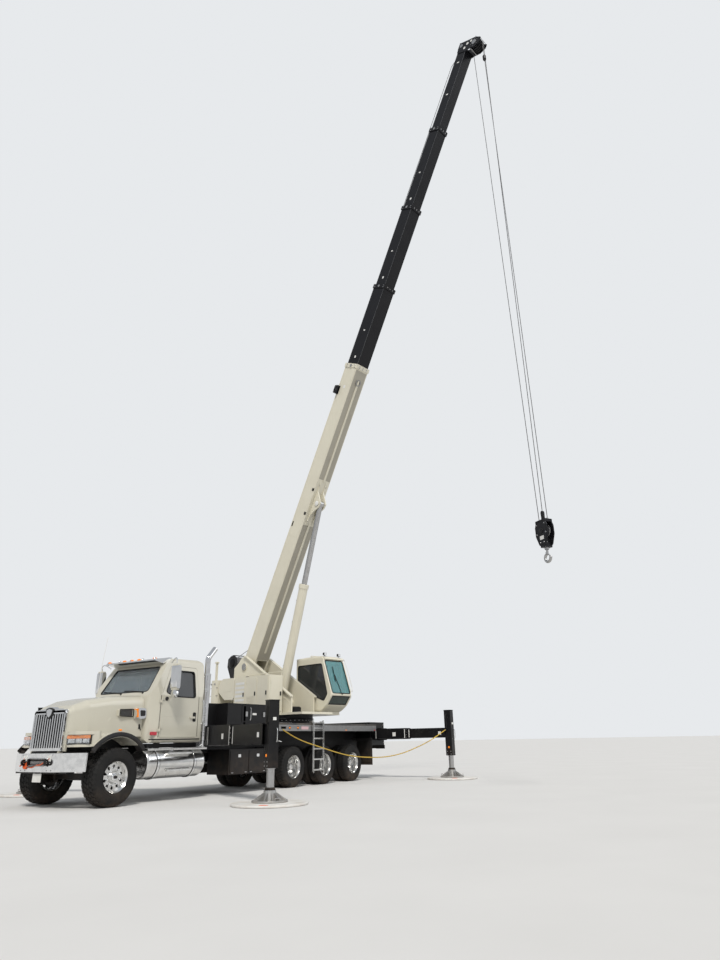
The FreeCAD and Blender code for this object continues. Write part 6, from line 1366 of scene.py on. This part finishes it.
def cabinet_dress():
    """Doors, louvres, latches and blank plates of the hydraulic cabinet, and its rail."""
    shape = Shape(TURRET)
    x1, y0 = 0.32, -1.10
    side = y0 - 0.002
    for a, b in ((-1.40, -0.86), (-0.83, -0.28), (-0.25, 0.27)):
        shape.plate(panel(a, 2.03, b, 3.03, 0.03), "y", y0 + 0.01, side - 0.012, CRANE_PAINT)
        shape.plate(panel(b - 0.10, 2.50, b - 0.05, 2.62, 0.015), "y", side - 0.012, side - 0.024,
                    BLACK_PLASTIC)
        for z in (2.16, 2.90):
            shape.bar((a + 0.015, side - 0.016, z - 0.045), (a + 0.015, side - 0.016, z + 0.045), 0.010,
                      CRANE_PAINT, 10)
    for k in range(9):
        z = 2.12 + 0.045 * k
        shape.plate([(-0.76, z), (-0.40, z), (-0.40, z + 0.018), (-0.76, z + 0.018)], "y", side - 0.012,
                    side - 0.020, CRANE_PAINT)
    front = x1 + 0.002
    shape.plate(panel(-1.06, 2.03, -0.60, 3.03, 0.03), "x", x1 - 0.01, front + 0.010, CRANE_PAINT)
    shape.plate(panel(-0.69, 2.48, -0.64, 2.60, 0.015), "x", front + 0.010, front + 0.022, BLACK_PLASTIC)
    for z in (2.20, 2.86):
        x = front + 0.014
        shape.bar((x, -1.045, z - 0.05), (x, -1.045, z + 0.05), 0.011, CRANE_PAINT, 10)
    for k in range(5):
        z = 2.90 - 0.125 * k
        shape.plate(panel(-1.36, z - 0.035, -0.90, z + 0.035, 0.01, 1), "y",
                    side - 0.013, side - 0.0155, LABEL_WHITE)
    rail = [(-1.40, -0.60, 3.08), (-1.40, -0.60, 3.16), (-1.30, -0.60, 3.19), (0.18, -0.60, 3.19),
            (0.27, -0.60, 3.16), (0.27, -0.60, 3.08)]
    shape.hose(rail, 0.013, CRANE_PAINT)
    shape.turned([(0, 0.06), (0.04, 0.06), (0.05, 0.045), (0.05, 0)], (-1.10, -0.85, 3.08), (0, 0, 1),
                 BLACK_PLASTIC, 20)
    shape.plate(panel(-1.98, 2.70, -1.62, 3.02, 0.05), "y", y0 + 0.004, y0 - 0.006, CRANE_PAINT)
    shape.done("cabinet_doors", "turret", 0.003)


def counterweight_dress():
    """Joints between the slabs, lifting pockets, lamps and the posts' heads."""
    shape = Shape(TURRET)
    for z in (2.60, 2.85):
        shape.block((-2.37, -1.13, z), (-2.7245, 1.13, z + 0.010), SEAL)
    for s in (-1, 1):
        shape.pipe((-2.50, s * 0.75, 3.089), (-2.50, s * 0.75, 3.110), 0.075, 0.045, CRANE_PAINT, 28)
        shape.block((-2.73, s * 0.98, 2.44), (-2.717, s * 0.72, 2.56), RED_LENS)
        shape.plate(panel(s * 0.56, 2.66, s * 0.20, 2.80, 0.02), "x", -2.7225, -2.725, LABEL_WHITE)
        shape.ball((-2.53, s * 1.06, 3.685), 0.045, CRANE_PAINT, (1, 1, 0.5))
        for x in (-2.45, -2.64):
            shape.bolt((x, s * 1.151, 2.97), (0, s, 0), 0.022, STEEL)
    shape.done("counterweight_fittings", "turret", 0.004)


def winch_dress():
    """Rope laid in turns on the drum, flange ribs, motor, hoses and the rope's run over the drum."""
    shape = Shape(TURRET)
    x, z, turns = WINCH_X, WINCH_Z, 26
    for k in range(turns):
        y = -0.27 + 0.54 * (k + 0.5) / turns
        shape.turned([(-0.0104, 0.192), (-0.006, 0.2055), (0.0, 0.2105), (0.006, 0.2055), (0.0104, 0.192)],
                     (x, y, z), (0, 1, 0), WIRE_ROPE, 40, True)
    for s in (-1, 1):
        for k in range(10):
            a = tau * k / 10
            shape.bolt((x + 0.215 * cos(a), s * 0.283, z + 0.215 * sin(a)), (0, -s, 0), 0.010, STEEL)
        shape.turned([(0, 0.16), (0.02, 0.16), (0.05, 0.12), (0.07, 0.0)], (x, s * 0.342, z), (0, s, 0),
                     FRAME_BLACK, 32)
        shape.pipe((x, s * 0.281, z), (x, s * 0.289, z), 0.252, 0.232, FRAME_BLACK, 40)
    shape.turned([(0, 0.09), (0.16, 0.09), (0.18, 0.07), (0.26, 0.07), (0.27, 0)], (x, 0.40, z), (0, 1, 0),
                 FRAME_BLACK, 28)
    for k in range(8):
        a = tau * k / 8
        shape.bolt((x + 0.088 * cos(a), 0.452, z + 0.088 * sin(a)), (0, 1, 0), 0.010, STEEL)
    shape.block((x - 0.06, 0.44, z + 0.09), (x + 0.08, 0.60, z + 0.20), BLACK_PLASTIC)
    for dy in (0.47, 0.53, 0.58):
        shape.hose([(x + 0.02, dy, z + 0.18), (x + 0.10, dy, z + 0.30), (x + 0.30, dy - 0.05, z + 0.22),
                    (x + 0.42, dy - 0.14, z - 0.10), (x + 0.44, dy - 0.20, z - 0.50)], 0.016, HOSE)
    shape.block((x - 0.10, -0.25, z + 0.255), (x - 0.02, 0.25, z + 0.275), FRAME_BLACK)
    shape.done("winch_rope_turns", "turret", 0.0)


def operator_cab_dress():
    """Glass, seals, wiper, rails, lamps, controls and trim of the operator's cab."""
    shape = Shape(TURRET)
    opening = panel(0.62, 2.54, 1.40, 3.56, 0.06)
    screen = [(1.288 - 0.3636 * (z - 2.50), y, z) for y, z in opening]
    pane(shape, screen, 0.0, 0.006, TEAL_GLASS)
    seal(shape, [(x + 0.008, y, z) for x, y, z in screen], 0.018, SEAL)
    low = [(1.040 + 0.83 * (z - 2.20), y, z)
           for y, z in ((0.63, 2.23), (1.39, 2.23), (1.39, 2.46), (0.63, 2.46))]
    pane(shape, low, 0.0, 0.006, LOW_GLASS)
    seal(shape, [(x + 0.008, y, z - 0.004) for x, y, z in low], 0.014, SEAL)
    side = rounded([(-0.28, 2.96), (0.44, 2.50), (0.96, 2.33), (1.11, 2.53), (0.85, 3.46), (-0.28, 3.46)],
                   0.06)
    pane(shape, [(x, OPCAB_Y[0] + 0.022, z) for x, z in side], 0.0, 0.005, DARK_GLASS)
    seal(shape, [(x, OPCAB_Y[0] + 0.003, z) for x, z in side], 0.014, SEAL)
    back = [(OPCAB_Y[0] + 0.12, 2.90), (OPCAB_Y[1] - 0.12, 2.90), (OPCAB_Y[1] - 0.12, 3.50),
            (OPCAB_Y[0] + 0.12, 3.50)]
    pane(shape, [(-0.385, y, z) for y, z in back], 0.0, 0.005, DARK_GLASS)
    seal(shape, [(-0.400, y, z) for y, z in back], 0.014, SEAL)
    shape.bar((1.302, 1.01, 2.52), (1.318, 1.01, 2.53), 0.025, BLACK_PLASTIC, 12)
    shape.bar((1.300, 1.01, 2.53), (1.085, 0.90, 3.12), 0.009, BLACK_PLASTIC, 8)
    shape.bar((1.170, 0.87, 2.90), (1.000, 0.89, 3.36), 0.012, SEAL, 6)
    shape.hose([(1.275, 1.44, 2.62), (1.320, 1.452, 2.66), (1.190, 1.452, 3.08), (0.985, 1.452, 3.58),
                (0.925, 1.44, 3.60)], 0.013, LABEL_WHITE, 10)
    shape.hose([(0.36, 0.575, 3.698), (0.36, 0.60, 3.73), (0.36, 1.40, 3.73), (0.36, 1.44, 3.698)], 0.012,
               CRANE_PAINT)
    shape.block((0.62, 0.66, 3.690), (-0.10, 1.36, 3.712), CRANE_PAINT)
    shape.plate(rounded([(0.66, 3.66), (0.93, 3.66), (0.95, 3.60), (0.93, 3.585)], 0.02), "y", 0.60, 1.42,
                CRANE_PAINT)
    for y in (0.70, 1.32):
        shape.bar((0.83, y, 3.70), (0.83, y, 3.725), 0.012, BLACK_PLASTIC, 8)
        shape.block((0.80, y - 0.05, 3.722), (0.87, y + 0.05, 3.80), BLACK_PLASTIC)
        shape.block((0.868, y - 0.042, 3.728), (0.874, y + 0.042, 3.795), CLEAR_LENS)
    middle = sum(OPCAB_Y) / 2
    for s in (-1, 1):
        shape.plate(rounded([(0.14, 2.66), (0.56, 2.66), (0.56, 2.70), (0.14, 2.72)], 0.02), "y",
                    middle + s * 0.20, middle + s * 0.30, CABIN_GREY)
        shape.bar((0.48, middle + s * 0.25, 2.68), (0.50, middle + s * 0.25, 2.84), 0.010, STEEL, 8)
        shape.ball((0.505, middle + s * 0.25, 2.86), 0.028, BLACK_PLASTIC, (1, 1, 1.4))
    shape.block((0.66, middle - 0.16, 2.62), (0.70, middle + 0.16, 2.84), BLACK_PLASTIC)
    shape.bar((0.68, middle, 2.09), (0.68, middle, 2.64), 0.02, BLACK_PLASTIC, 10)
    shape.hose([(-0.28, 0.53, 2.20), (-0.28, 0.50, 2.30), (-0.28, 0.50, 2.90), (-0.28, 0.53, 3.00)], 0.012,
               CRANE_PAINT)
    shape.block((-0.38, 0.60, 2.03), (0.70, 1.42, 2.012), FRAME_BLACK)
    shape.done("operator_cab_glass", "turret", 0.002)


def operator_door_dress():
    """Glass, seal and handle of the operator's door."""
    shape = Shape(TURRET)
    y1 = OPCAB_Y[1]
    window = rounded([(-0.21, 2.56), (1.01, 2.56), (0.76, 3.47), (-0.21, 3.47)], 0.06)
    pane(shape, [(x, y1 - 0.025, z) for x, z in window], 0.0, 0.005, DARK_GLASS)
    seal(shape, [(x, y1 - 0.002, z) for x, z in window], 0.014, SEAL)
    shape.plate(panel(0.70, 2.37, 0.86, 2.51, 0.03), "y", y1 - 0.004, y1 + 0.004, SEAL)
    shape.block((0.42, y1 - 0.03, 2.58), (0.44, y1 - 0.012, 3.45), BLACK_PLASTIC)
    shape.hose([(-0.16, y1, 2.30), (-0.16, y1 + 0.03, 2.33), (-0.16, y1 + 0.03, 2.47), (-0.16, y1, 2.50)],
               0.010, BLACK_PLASTIC)
    shape.done("operator_door_glass", "operator_door", 0.001)


# Boom

def section_span(index):
    """Where a section shows at rest, along the boom: from the head of the one before it to its own head."""
    head = BASE_HEAD + index * STROKE_REST + (TIP_EXTRA if index == 4 else 0)
    return (-0.30 if index == 0 else BASE_HEAD + (index - 1) * STROKE_REST), head


def base_dress():
    """Seams, wear-pad plates, rope guide, pins, hoses, and painted shade on the underside of the boom's base."""
    shape = Shape(BOOM)
    w, h = BOOM_SECTIONS[0]
    top, foot = BOOM_AXIS + h / 2, BOOM_AXIS - h / 2
    # a darker copy of the paint on the underside: painted shade
    for a, b in ((0.36, 5.10), (6.72, 10.60)):
        shape.block((a, -w / 2 + 0.02, foot - 0.0025), (b, w / 2 - 0.02, foot + 0.001), UNDERSIDE_SHADE)
    for a, b in ((0.61, 5.15), (6.66, 10.29)):
        shape.plate([(a, foot - 0.024), (b, foot - 0.024), (b, foot - 0.002), (a, foot - 0.002)], "y", -0.034,
                    0.034, CRANE_PAINT)
    for s in (-1, 1):
        y = s * w / 2
        for z in (top - 0.045, foot + 0.045):
            shape.block((0.40, y, z - 0.006), (10.62, y + s * 0.004, z + 0.006), CRANE_PAINT)
        for x in (2.2, 4.6, 7.4):
            shape.block((x, y, foot + 0.05), (x + 0.012, y + s * 0.003, top - 0.05), CRANE_PAINT)
        for x, z in ((10.66, top - 0.10), (10.66, foot + 0.10), (10.74, top - 0.10), (10.74, foot + 0.10)):
            shape.bolt((x, y + s * 0.021, z), (0, s, 0), 0.014, STEEL)
        shape.turned([(0, 0.05), (0.02, 0.05), (0.03, 0.03), (0.03, 0)], (10.70, y + s * 0.021, BOOM_AXIS),
                     (0, s, 0), STEEL, 20)
        nose = rounded([(10.15, foot + 0.02), (10.62, foot + 0.02), (10.62, foot + 0.24),
                        (10.30, foot + 0.16)], 0.06)
        shape.plate(nose, "y", y - s * 0.004, y + s * 0.012, CRANE_PAINT)
        shape.plate(panel(9.90, BOOM_AXIS - 0.045, 10.00, BOOM_AXIS + 0.045, 0.01, 1), "y", y, y + s * 0.002,
                    LABEL_WHITE)
        shape.turned([(0, 0.165), (0.010, 0.165), (0.010, 0.0)], (0, s * (w / 2 + 0.148), 0), (0, s, 0),
                     CRANE_PAINT, 36)
        for x in (5.25, 6.5):
            shape.bolt((x, s * 0.141, foot - 0.03), (0, s, 0), 0.014, STEEL)
        shape.turned([(0, 0.085), (0.018, 0.085), (0.026, 0.06), (0.026, 0)], (EYE_ALONG, s * 0.155, -EYE_DROP),
                     (0, s, 0), LABEL_WHITE, 24)
    for x in (10.67, 10.73):
        for y in (-0.16, 0.0, 0.16):
            shape.bolt((x, y, top + 0.022), (0, 0, 1), 0.014, STEEL)
            shape.bolt((x, y, foot - 0.022), (0, 0, -1), 0.014, STEEL)
    shape.pipe((10.20, 0, foot - 0.002), (10.20, 0, foot - 0.026), 0.11, 0.075, TRIM_AND_HIGHLIGHT_GREY, 32)
    ear = rounded([(9.66, top), (9.94, top), (9.90, top + 0.11), (9.70, top + 0.11)], 0.03)
    for y in (-0.135, -0.045):
        shape.plate(ear, "y", y, y + 0.020, FRAME_BLACK)
    for x in (9.74, 9.86):
        shape.bar((x, -0.13, top + 0.056), (x, -0.03, top + 0.056), 0.018, STEEL, 14)
    guide = rounded([(9.64, top - 0.10), (9.96, top - 0.10), (9.93, top + 0.10), (9.67, top + 0.10)], 0.03)
    for y in (-w / 2 - 0.012, -w / 2 - 0.085):
        shape.plate(guide, "y", y, y + 0.012, FRAME_BLACK)
    for x, z in ((9.72, top + 0.05), (9.88, top + 0.05), (9.80, top - 0.04)):
        shape.bar((x, -w / 2 - 0.090, z), (x, -w / 2, z), 0.026, BLACK_PLASTIC, 16)
        shape.bolt((x, -w / 2 - 0.086, z), (0, -1, 0), 0.014, STEEL)
    shape.plate(panel(4.90, top - 0.10, 5.08, top - 0.045, 0.025), "y", -w / 2 - 0.006, -w / 2, BLACK_PLASTIC)
    for x in (5.42, 6.26):
        shape.block((x, -w / 2 - 0.008, foot + 0.03), (x + 0.10, -w / 2, foot + 0.13), FRAME_BLACK)
    for x in (1.4, 3.4, 5.4, 7.4, 9.0):
        shape.block((x, 0.13, top), (x + 0.05, 0.21, top + 0.022), FRAME_BLACK)
    for y in (0.15, 0.175, 0.195):
        shape.bar((0.5, y, top + 0.026), (9.3, y, top + 0.026), 0.009, HOSE, 8)
    shape.block((9.28, 0.10, top), (9.52, 0.23, top + 0.10), BLACK_PLASTIC)
    shape.turned([(0, 0.13), (0.05, 0.13), (0.05, 0.0)], (9.0, 0.27 - 0.002, BOOM_AXIS), (0, 1, 0),
                 FRAME_BLACK, 28)
    shape.done("boom_base_fittings", "boom_base", 0.002)


def section_dress(index):
    """Head plates, pins, painted highlights along the edges and small plain marks on a telescopic section."""
    w, h = BOOM_SECTIONS[index]
    start, head = section_span(index)
    top, foot = BOOM_AXIS + h / 2, BOOM_AXIS - h / 2
    shape = Shape(BOOM)
    for s in (-1, 1):
        y = s * w / 2
        # pale lines along the top and bottom edges of each side: painted highlights
        for z in (top - 0.012, foot + 0.012):
            shape.block((start + 0.02, y, z - 0.004), (head - 0.145, y + s * PAINT, z + 0.004), TRIM_AND_HIGHLIGHT_GREY)
        for x in (head - 0.04, head - 0.10):
            for z in (top - 0.05, foot + 0.05):
                shape.bolt((x, y + s * 0.021, z), (0, s, 0), 0.012, STEEL)
        shape.turned([(0, 0.040), (0.018, 0.040), (0.026, 0.024), (0.026, 0)],
                     (head - 0.07, y + s * 0.021, BOOM_AXIS), (0, s, 0), STEEL, 18)
        shape.plate(panel(start + 0.22, BOOM_AXIS - 0.035, start + 0.30, BOOM_AXIS + 0.035, 0.02, 2), "y", y,
                    y + s * PAINT, LABEL_WHITE)
        shape.block((start + 1.20, y, BOOM_AXIS - 0.04), (start + 1.24, y + s * PAINT, BOOM_AXIS + 0.04),
                    LABEL_WHITE)
    for y in (-0.12, 0.0, 0.12):
        shape.bolt((head - 0.07, y, top + 0.022), (0, 0, 1), 0.012, STEEL)
        shape.bolt((head - 0.07, y, foot - 0.022), (0, 0, -1), 0.012, STEEL)
    shape.block((head - 0.135, -0.115, top + 0.02), (head - 0.015, -0.045, top + 0.075), FRAME_BLACK)
    shape.done(f"boom_marks_{index}", BOOM_BODIES[index], 0.0)


def head_dress():
    """Sheave faces, guard pins, painted highlights along the plate edges, cut-outs, the wedge lug and lamp of
    the boom head.
    """
    w, h = BOOM_SECTIONS[4]
    start, head = section_span(4)
    top, foot = BOOM_AXIS + h / 2, BOOM_AXIS - h / 2
    along, above = head + 0.01, BOOM_AXIS - 0.464
    shape = Shape(BOOM)
    for s in (-1, 1):
        y = s * (w / 2 + 0.016)
        shape.turned([(0, 0.085), (0.014, 0.085), (0.020, 0.05), (0.020, 0)], (along, y, above), (0, s, 0),
                     STEEL, 28)
        shape.turned([(0, 0.065), (0.012, 0.065), (0.018, 0.04), (0.018, 0)], (head + 0.02, y, top - 0.09),
                     (0, s, 0), STEEL, 24)
        for x, z, r in ((head - 0.10, foot + 0.10, 0.045), (head + 0.04, foot + 0.02, 0.05),
                        (head + 0.10, foot - 0.12, 0.042)):
            shape.turned([(0, r), (0.0015, r), (0.0015, 0)], (x, y, z), (0, s, 0), LABEL_WHITE, 24)
        for k in range(6):
            a = tau * k / 6
            shape.bolt((along + 0.13 * cos(a), y, above + 0.13 * sin(a)), (0, s, 0), 0.010, STEEL)
        y = s * w / 2
        # pale lines along the top and bottom edges of each side: painted highlights
        for z in (top - 0.012, foot + 0.012):
            shape.block((start + 0.02, y, z - 0.004), (head - 0.26, y + s * PAINT, z + 0.004), TRIM_AND_HIGHLIGHT_GREY)
        for x in (head - 0.60, start + 1.22):
            shape.block((x - 0.02, y, BOOM_AXIS - 0.045), (x + 0.02, y + s * PAINT, BOOM_AXIS + 0.045),
                        LABEL_WHITE)
    for a in (20, 75, 130, 185, 240):
        x, z = along + 0.232 * cos(radians(a - 70)), above + 0.232 * sin(radians(a - 70))
        shape.bar((x, -w / 2, z), (x, w / 2, z), 0.010, STEEL, 10)
    for y in (-0.07, 0.0, 0.07):
        for s in (-1, 1):
            shape.turned([(0, 0.150), (0.003, 0.150), (0.003, 0.07), (0, 0.07)],
                         (along, y + s * 0.026, above), (0, s, 0), STEEL, 32, True)
    x, z = head + 0.12, top - 0.02
    shape.bar((x, -w / 2 - 0.05, z), (x, w / 2 + 0.05, z), 0.014, STEEL, 12)
    shape.block((head - 0.22, 0.06, top), (head - 0.10, 0.15, top + 0.06), BLACK_PLASTIC)
    shape.ball((head - 0.16, 0.105, top + 0.062), 0.022, RED_LENS)
    shape.done("boom_head_fittings", "boom_tip_section", 0.0)


def fall_weight():
    """The small black weight clipped to the front fall, a little below the boom's head."""
    head_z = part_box("hoist_falls")[1].z
    head = Vector((HANG_X - FALLS_AHEAD + FALL_SEAT, 0.0, head_z))
    block = Vector((HANG_X + BLOCK_SHEAVE * cos(BLOCK_TURN), BLOCK_SHEAVE * sin(BLOCK_TURN), BLOCK_TOP))
    along = (block - head).normalized()
    shape = Shape(TURRET)
    for start, length, radius in ((0.68, 0.05, 0.030), (0.73, 0.16, 0.055), (0.89, 0.05, 0.035)):
        a = head + along * start
        shape.bar(a, a + along * length, radius, FRAME_BLACK, 20)
    shape.done("fall_weight", "hook_line", 0.003)


ROPE_Y, ROPE_ABOVE, ROLLER_X = -0.08, BOOM_AXIS + 0.385, 0.50


def hoist_rope():
    """The hoist rope: a run up from the winch to a roller, and a straight piece on each boom section."""
    shape = Shape(BOOM)
    for s in (-1, 1):
        ear = rounded([(ROLLER_X - 0.07, 0.40), (ROLLER_X + 0.07, 0.40), (ROLLER_X + 0.04, 0.50),
                       (ROLLER_X - 0.04, 0.50)], 0.03)
        shape.plate(ear, "y", ROPE_Y + s * 0.060, ROPE_Y + s * 0.072, FRAME_BLACK)
    shape.turned([(-0.055, 0.050), (-0.02, 0.030), (0.02, 0.030), (0.055, 0.050)],
                 (ROLLER_X, ROPE_Y, ROPE_ABOVE - 0.042), (0, 1, 0), STEEL, 24)
    for index, body in enumerate(BOOM_BODIES):
        start, head = section_span(index)
        low = ROLLER_X if index == 0 else start - 0.02
        high = head - 0.60 if index == 4 else head
        shape.bar((low, ROPE_Y, ROPE_ABOVE), (high, ROPE_Y, ROPE_ABOVE), 0.009, WIRE_ROPE, 10)
        if index == 4:
            shape.bar((high, ROPE_Y, ROPE_ABOVE), (head + 0.02, 0.0, BOOM_AXIS + 0.218), 0.009, WIRE_ROPE, 10)
        shape.done(f"hoist_rope_{index}", body, 0.0)
        shape = Shape(BOOM)
    roller = BOOM @ Vector((ROLLER_X, ROPE_Y, ROPE_ABOVE))
    drum = TURRET @ Vector((WINCH_X + 0.02, ROPE_Y, WINCH_Z + 0.215))
    run = Shape(Matrix.Identity(4))
    run.hose([drum.lerp(roller, k / 12) for k in range(13)], 0.009, WIRE_ROPE, 10, 1)
    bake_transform(run.loose("hoist_rope_run"))


def lift_dress():
    """Gland ring, clamps and pipes of the lift cylinder."""
    ex, ez = BOOM_EYE
    foot = Vector((CYLINDER_X, 0, CYLINDER_Z))
    eye = Vector((ex, 0, ez))
    way = (foot - eye).normalized()
    length = (foot - eye).length
    across = Vector((0, 1, 0))
    out = way.cross(across)
    rear = out if out.x < 0 else -out
    shape = Shape(TURRET)
    collar = length - 3.7
    at = lambda t, off=0.0, y=0.0: eye + way * t + rear * off + across * y
    shape.turned([(0, 0.150), (0.02, 0.164), (0.05, 0.164), (0.06, 0.150)], at(collar - 0.05), way,
                 CRANE_PAINT, 40)
    for k in range(10):
        a = tau * k / 10
        spot = at(collar - 0.04) + (rear * cos(a) + across * sin(a)) * 0.128
        shape.bolt(spot, -way, 0.013, STEEL)
    shape.pipe(at(collar - 0.055), at(collar - 0.040), 0.105, 0.0885, SEAL, 32)
    for y in (-0.025, 0.025):
        shape.hose([at(collar + 0.10, 0.150, y), at(collar + 0.14, 0.175, y), at(collar + 0.5, 0.175, y),
                    at(length - 1.0, 0.175, y), at(length - 0.85, 0.19, y)], 0.013, CRANE_PAINT)
    for t in (0.5, 1.2, 1.9, 2.6):
        clamp = at(collar + t, 0.16)
        shape.bar(clamp - across * 0.05, clamp + across * 0.05, 0.022, STEEL, 12)
    shape.done("lift_cylinder_lines", "lift_barrel", 0.0)


def hook_dress():
    """Cheek plates' bolts, sheave rims, blank plates, wedge socket and safety latch."""
    block = TURRET @ Matrix.Translation((HANG_X, 0, 0)) @ Matrix.Rotation(BLOCK_TURN, 4, "Z")
    shape = Shape(block)
    for s in (-1, 1):
        y = s * 0.11
        shape.turned([(0, 0.075), (0.014, 0.070), (0.022, 0.04), (0.022, 0)], (0, y, 5.79), (0, s, 0),
                     FRAME_BLACK, 28)
        for x, z in ((-0.14, 5.95), (0.14, 5.95), (-0.16, 5.72), (0.16, 5.72), (-0.06, 5.50), (0.06, 5.50)):
            shape.bolt((x, y, z), (0, s, 0), 0.013, STEEL)
        shape.plate(panel(-0.07, 5.57, 0.07, 5.66, 0.01), "y", y, y + s * 0.002, LABEL_WHITE)
        cheek = rounded([(-0.15, 6.035), (0.15, 6.035), (0.20, 5.90), (0.20, 5.68), (0.11, 5.44),
                         (-0.11, 5.44), (-0.20, 5.68), (-0.20, 5.90)], 0.05)
        shape.frame_strip(cheek, "y", y, s * 0.005, 0.018, FRAME_BLACK)
        shape.turned([(-0.012, 0.152), (0.0, 0.175), (0.012, 0.152)], (0, s * 0.03, 5.79), (0, 1, 0), STEEL,
                     40, True)
    socket = rounded([(-0.028, 6.02), (0.028, 6.02), (0.040, 6.26), (0.022, 6.30), (-0.022, 6.30),
                      (-0.040, 6.26)], 0.01)
    shape.plate(socket, "y", -0.030, 0.030, FRAME_BLACK)
    for x in (-0.15, 0.15):
        shape.pipe((x, 0, 6.055), (x, 0, 6.085), 0.026, 0.0105, STEEL, 18)
    shape.done("hook_block_fittings", "hook_block", 0.002)
    shape = Shape(block)
    shape.pipe((0, 0, 5.335), (0, 0, 5.378), 0.056, 0.031, STEEL, 28)
    shape.plate([(-0.035, 5.255), (-0.028, 5.262), (0.085, 5.165), (0.080, 5.155)], "y", -0.018, 0.018, STEEL)
    shape.bar((-0.035, -0.026, 5.26), (-0.035, 0.026, 5.26), 0.008, STEEL, 10)
    shape.done("hook_latch", "hook", 0.001)


# Floor, lights and the rest of the scene

def stage():
    """A plain pale floor that keeps the crane's shadow, and an even pale sky."""
    mesh = bpy.data.meshes.new("floor")
    size = 400.0
    mesh.from_pydata([(-size, -size, 0), (size, -size, 0), (size, size, 0), (-size, size, 0)], [],
                     [(0, 1, 2, 3)])
    material, tree, shader = blank_material("pale_floor")
    place = put(tree, "ShaderNodeTexCoord").outputs["Object"]
    noise = put(tree, "ShaderNodeTexNoise", {"Vector": place, "Scale": 0.6, "Detail": 4.0}).outputs["Fac"]
    tree.links.new(blended(tree, noise, rgb((0.66, 0.65, 0.63)), rgb((0.72, 0.71, 0.69))),
                   shader.inputs["Base Color"])
    shader.inputs["Roughness"].default_value = 0.95
    mesh.materials.append(material)
    floor = bpy.data.objects.new("floor", mesh)
    bpy.context.scene.collection.objects.link(floor)
    floor.location.z = -0.002
    world = bpy.data.worlds.new("studio")
    bpy.context.scene.world = world
    world.use_nodes = True
    tree = world.node_tree
    tree.nodes.clear()
    paths = put(tree, "ShaderNodeLightPath").outputs
    seen = calc(tree, "MAXIMUM", paths["Is Camera Ray"], paths["Is Transmission Ray"])
    height = put(tree, "ShaderNodeSeparateXYZ",
                 {0: put(tree, "ShaderNodeTexCoord").outputs["Generated"]}).outputs["Z"]
    sky = blended(tree, ramp(tree, height, -0.05, 0.9), rgb((0.86, 0.87, 0.88)), rgb((0.66, 0.70, 0.76)))
    light = put(tree, "ShaderNodeBackground", {"Color": sky, "Strength": 0.62})
    shown = put(tree, "ShaderNodeBackground", {"Color": rgb((0.80, 0.82, 0.84)), "Strength": 1.0})
    mixed = put(tree, "ShaderNodeMixShader", {0: seen, 1: light.outputs[0], 2: shown.outputs[0]})
    put(tree, "ShaderNodeOutputWorld", {"Surface": mixed.outputs[0]})
    for name, azimuth, height, strength, softness, colour in (
            ("key_light", 35, 48, 2.3, 12, (1.0, 0.97, 0.92)),
            ("fill_light", 125, 30, 0.5, 40, (0.95, 0.97, 1.0))):
        data = bpy.data.lights.new(name, "SUN")
        data.energy, data.angle, data.color = strength, radians(softness), colour
        lamp = bpy.data.objects.new(name, data)
        a, e = radians(azimuth), radians(height)
        towards = Vector((cos(a) * cos(e), sin(a) * cos(e), sin(e)))
        lamp.rotation_euler = towards.to_track_quat("Z", "Y").to_euler()
        bpy.context.scene.collection.objects.link(lamp)


EYE_ALONG, EYE_DROP = 5.920, 0.395
FALLS_AHEAD, FALL_SEAT = 0.231, 0.205
BLOCK_SHEAVE, BLOCK_TURN, BLOCK_TOP = 0.15, radians(-21.4), 6.06
BOOM_EYE = (PIN_X + EYE_ALONG * cos(LUFF_REST) + EYE_DROP * sin(LUFF_REST),
            PIN_Z + EYE_ALONG * sin(LUFF_REST) - EYE_DROP * cos(LUFF_REST))
SHEAVE_ALONG, SHEAVE_ABOVE = BASE_HEAD + 4 * STROKE_REST + TIP_EXTRA + 0.01, BOOM_AXIS - 0.464
HANG_X = PIN_X + SHEAVE_ALONG * cos(LUFF_REST) - SHEAVE_ABOVE * sin(LUFF_REST) + FALLS_AHEAD


def build():
    photo_camera()
    stay_rope()
    finish_solids()
    for side in ("left", "right"):
        front_wheel(side, f"front_wheel_{side}")
        for index in (1, 2, 3):
            rear_wheel(side, index)
        door_dress(side)
    for dress in (cab_glass, cab_dress, hood_dress, headlamp_faces, bumper_dress, visor_lamps, tank_dress,
                  exhaust_dress, deck_dress, ladder_dress, pads, frame_dress, turret_dress, cabinet_dress,
                  counterweight_dress, winch_dress, operator_cab_dress, operator_door_dress, base_dress,
                  head_dress, hoist_rope, lift_dress, hook_dress, fall_weight):
        dress()
    for index in (1, 2, 3):
        section_dress(index)
    for corner in CORNERS:
        outer_beam_dress(corner)
        inner_beam_dress(corner)
        float_foot(corner)
    stage()


build()
bpy.context.scene.view_settings.view_transform = "Standard"
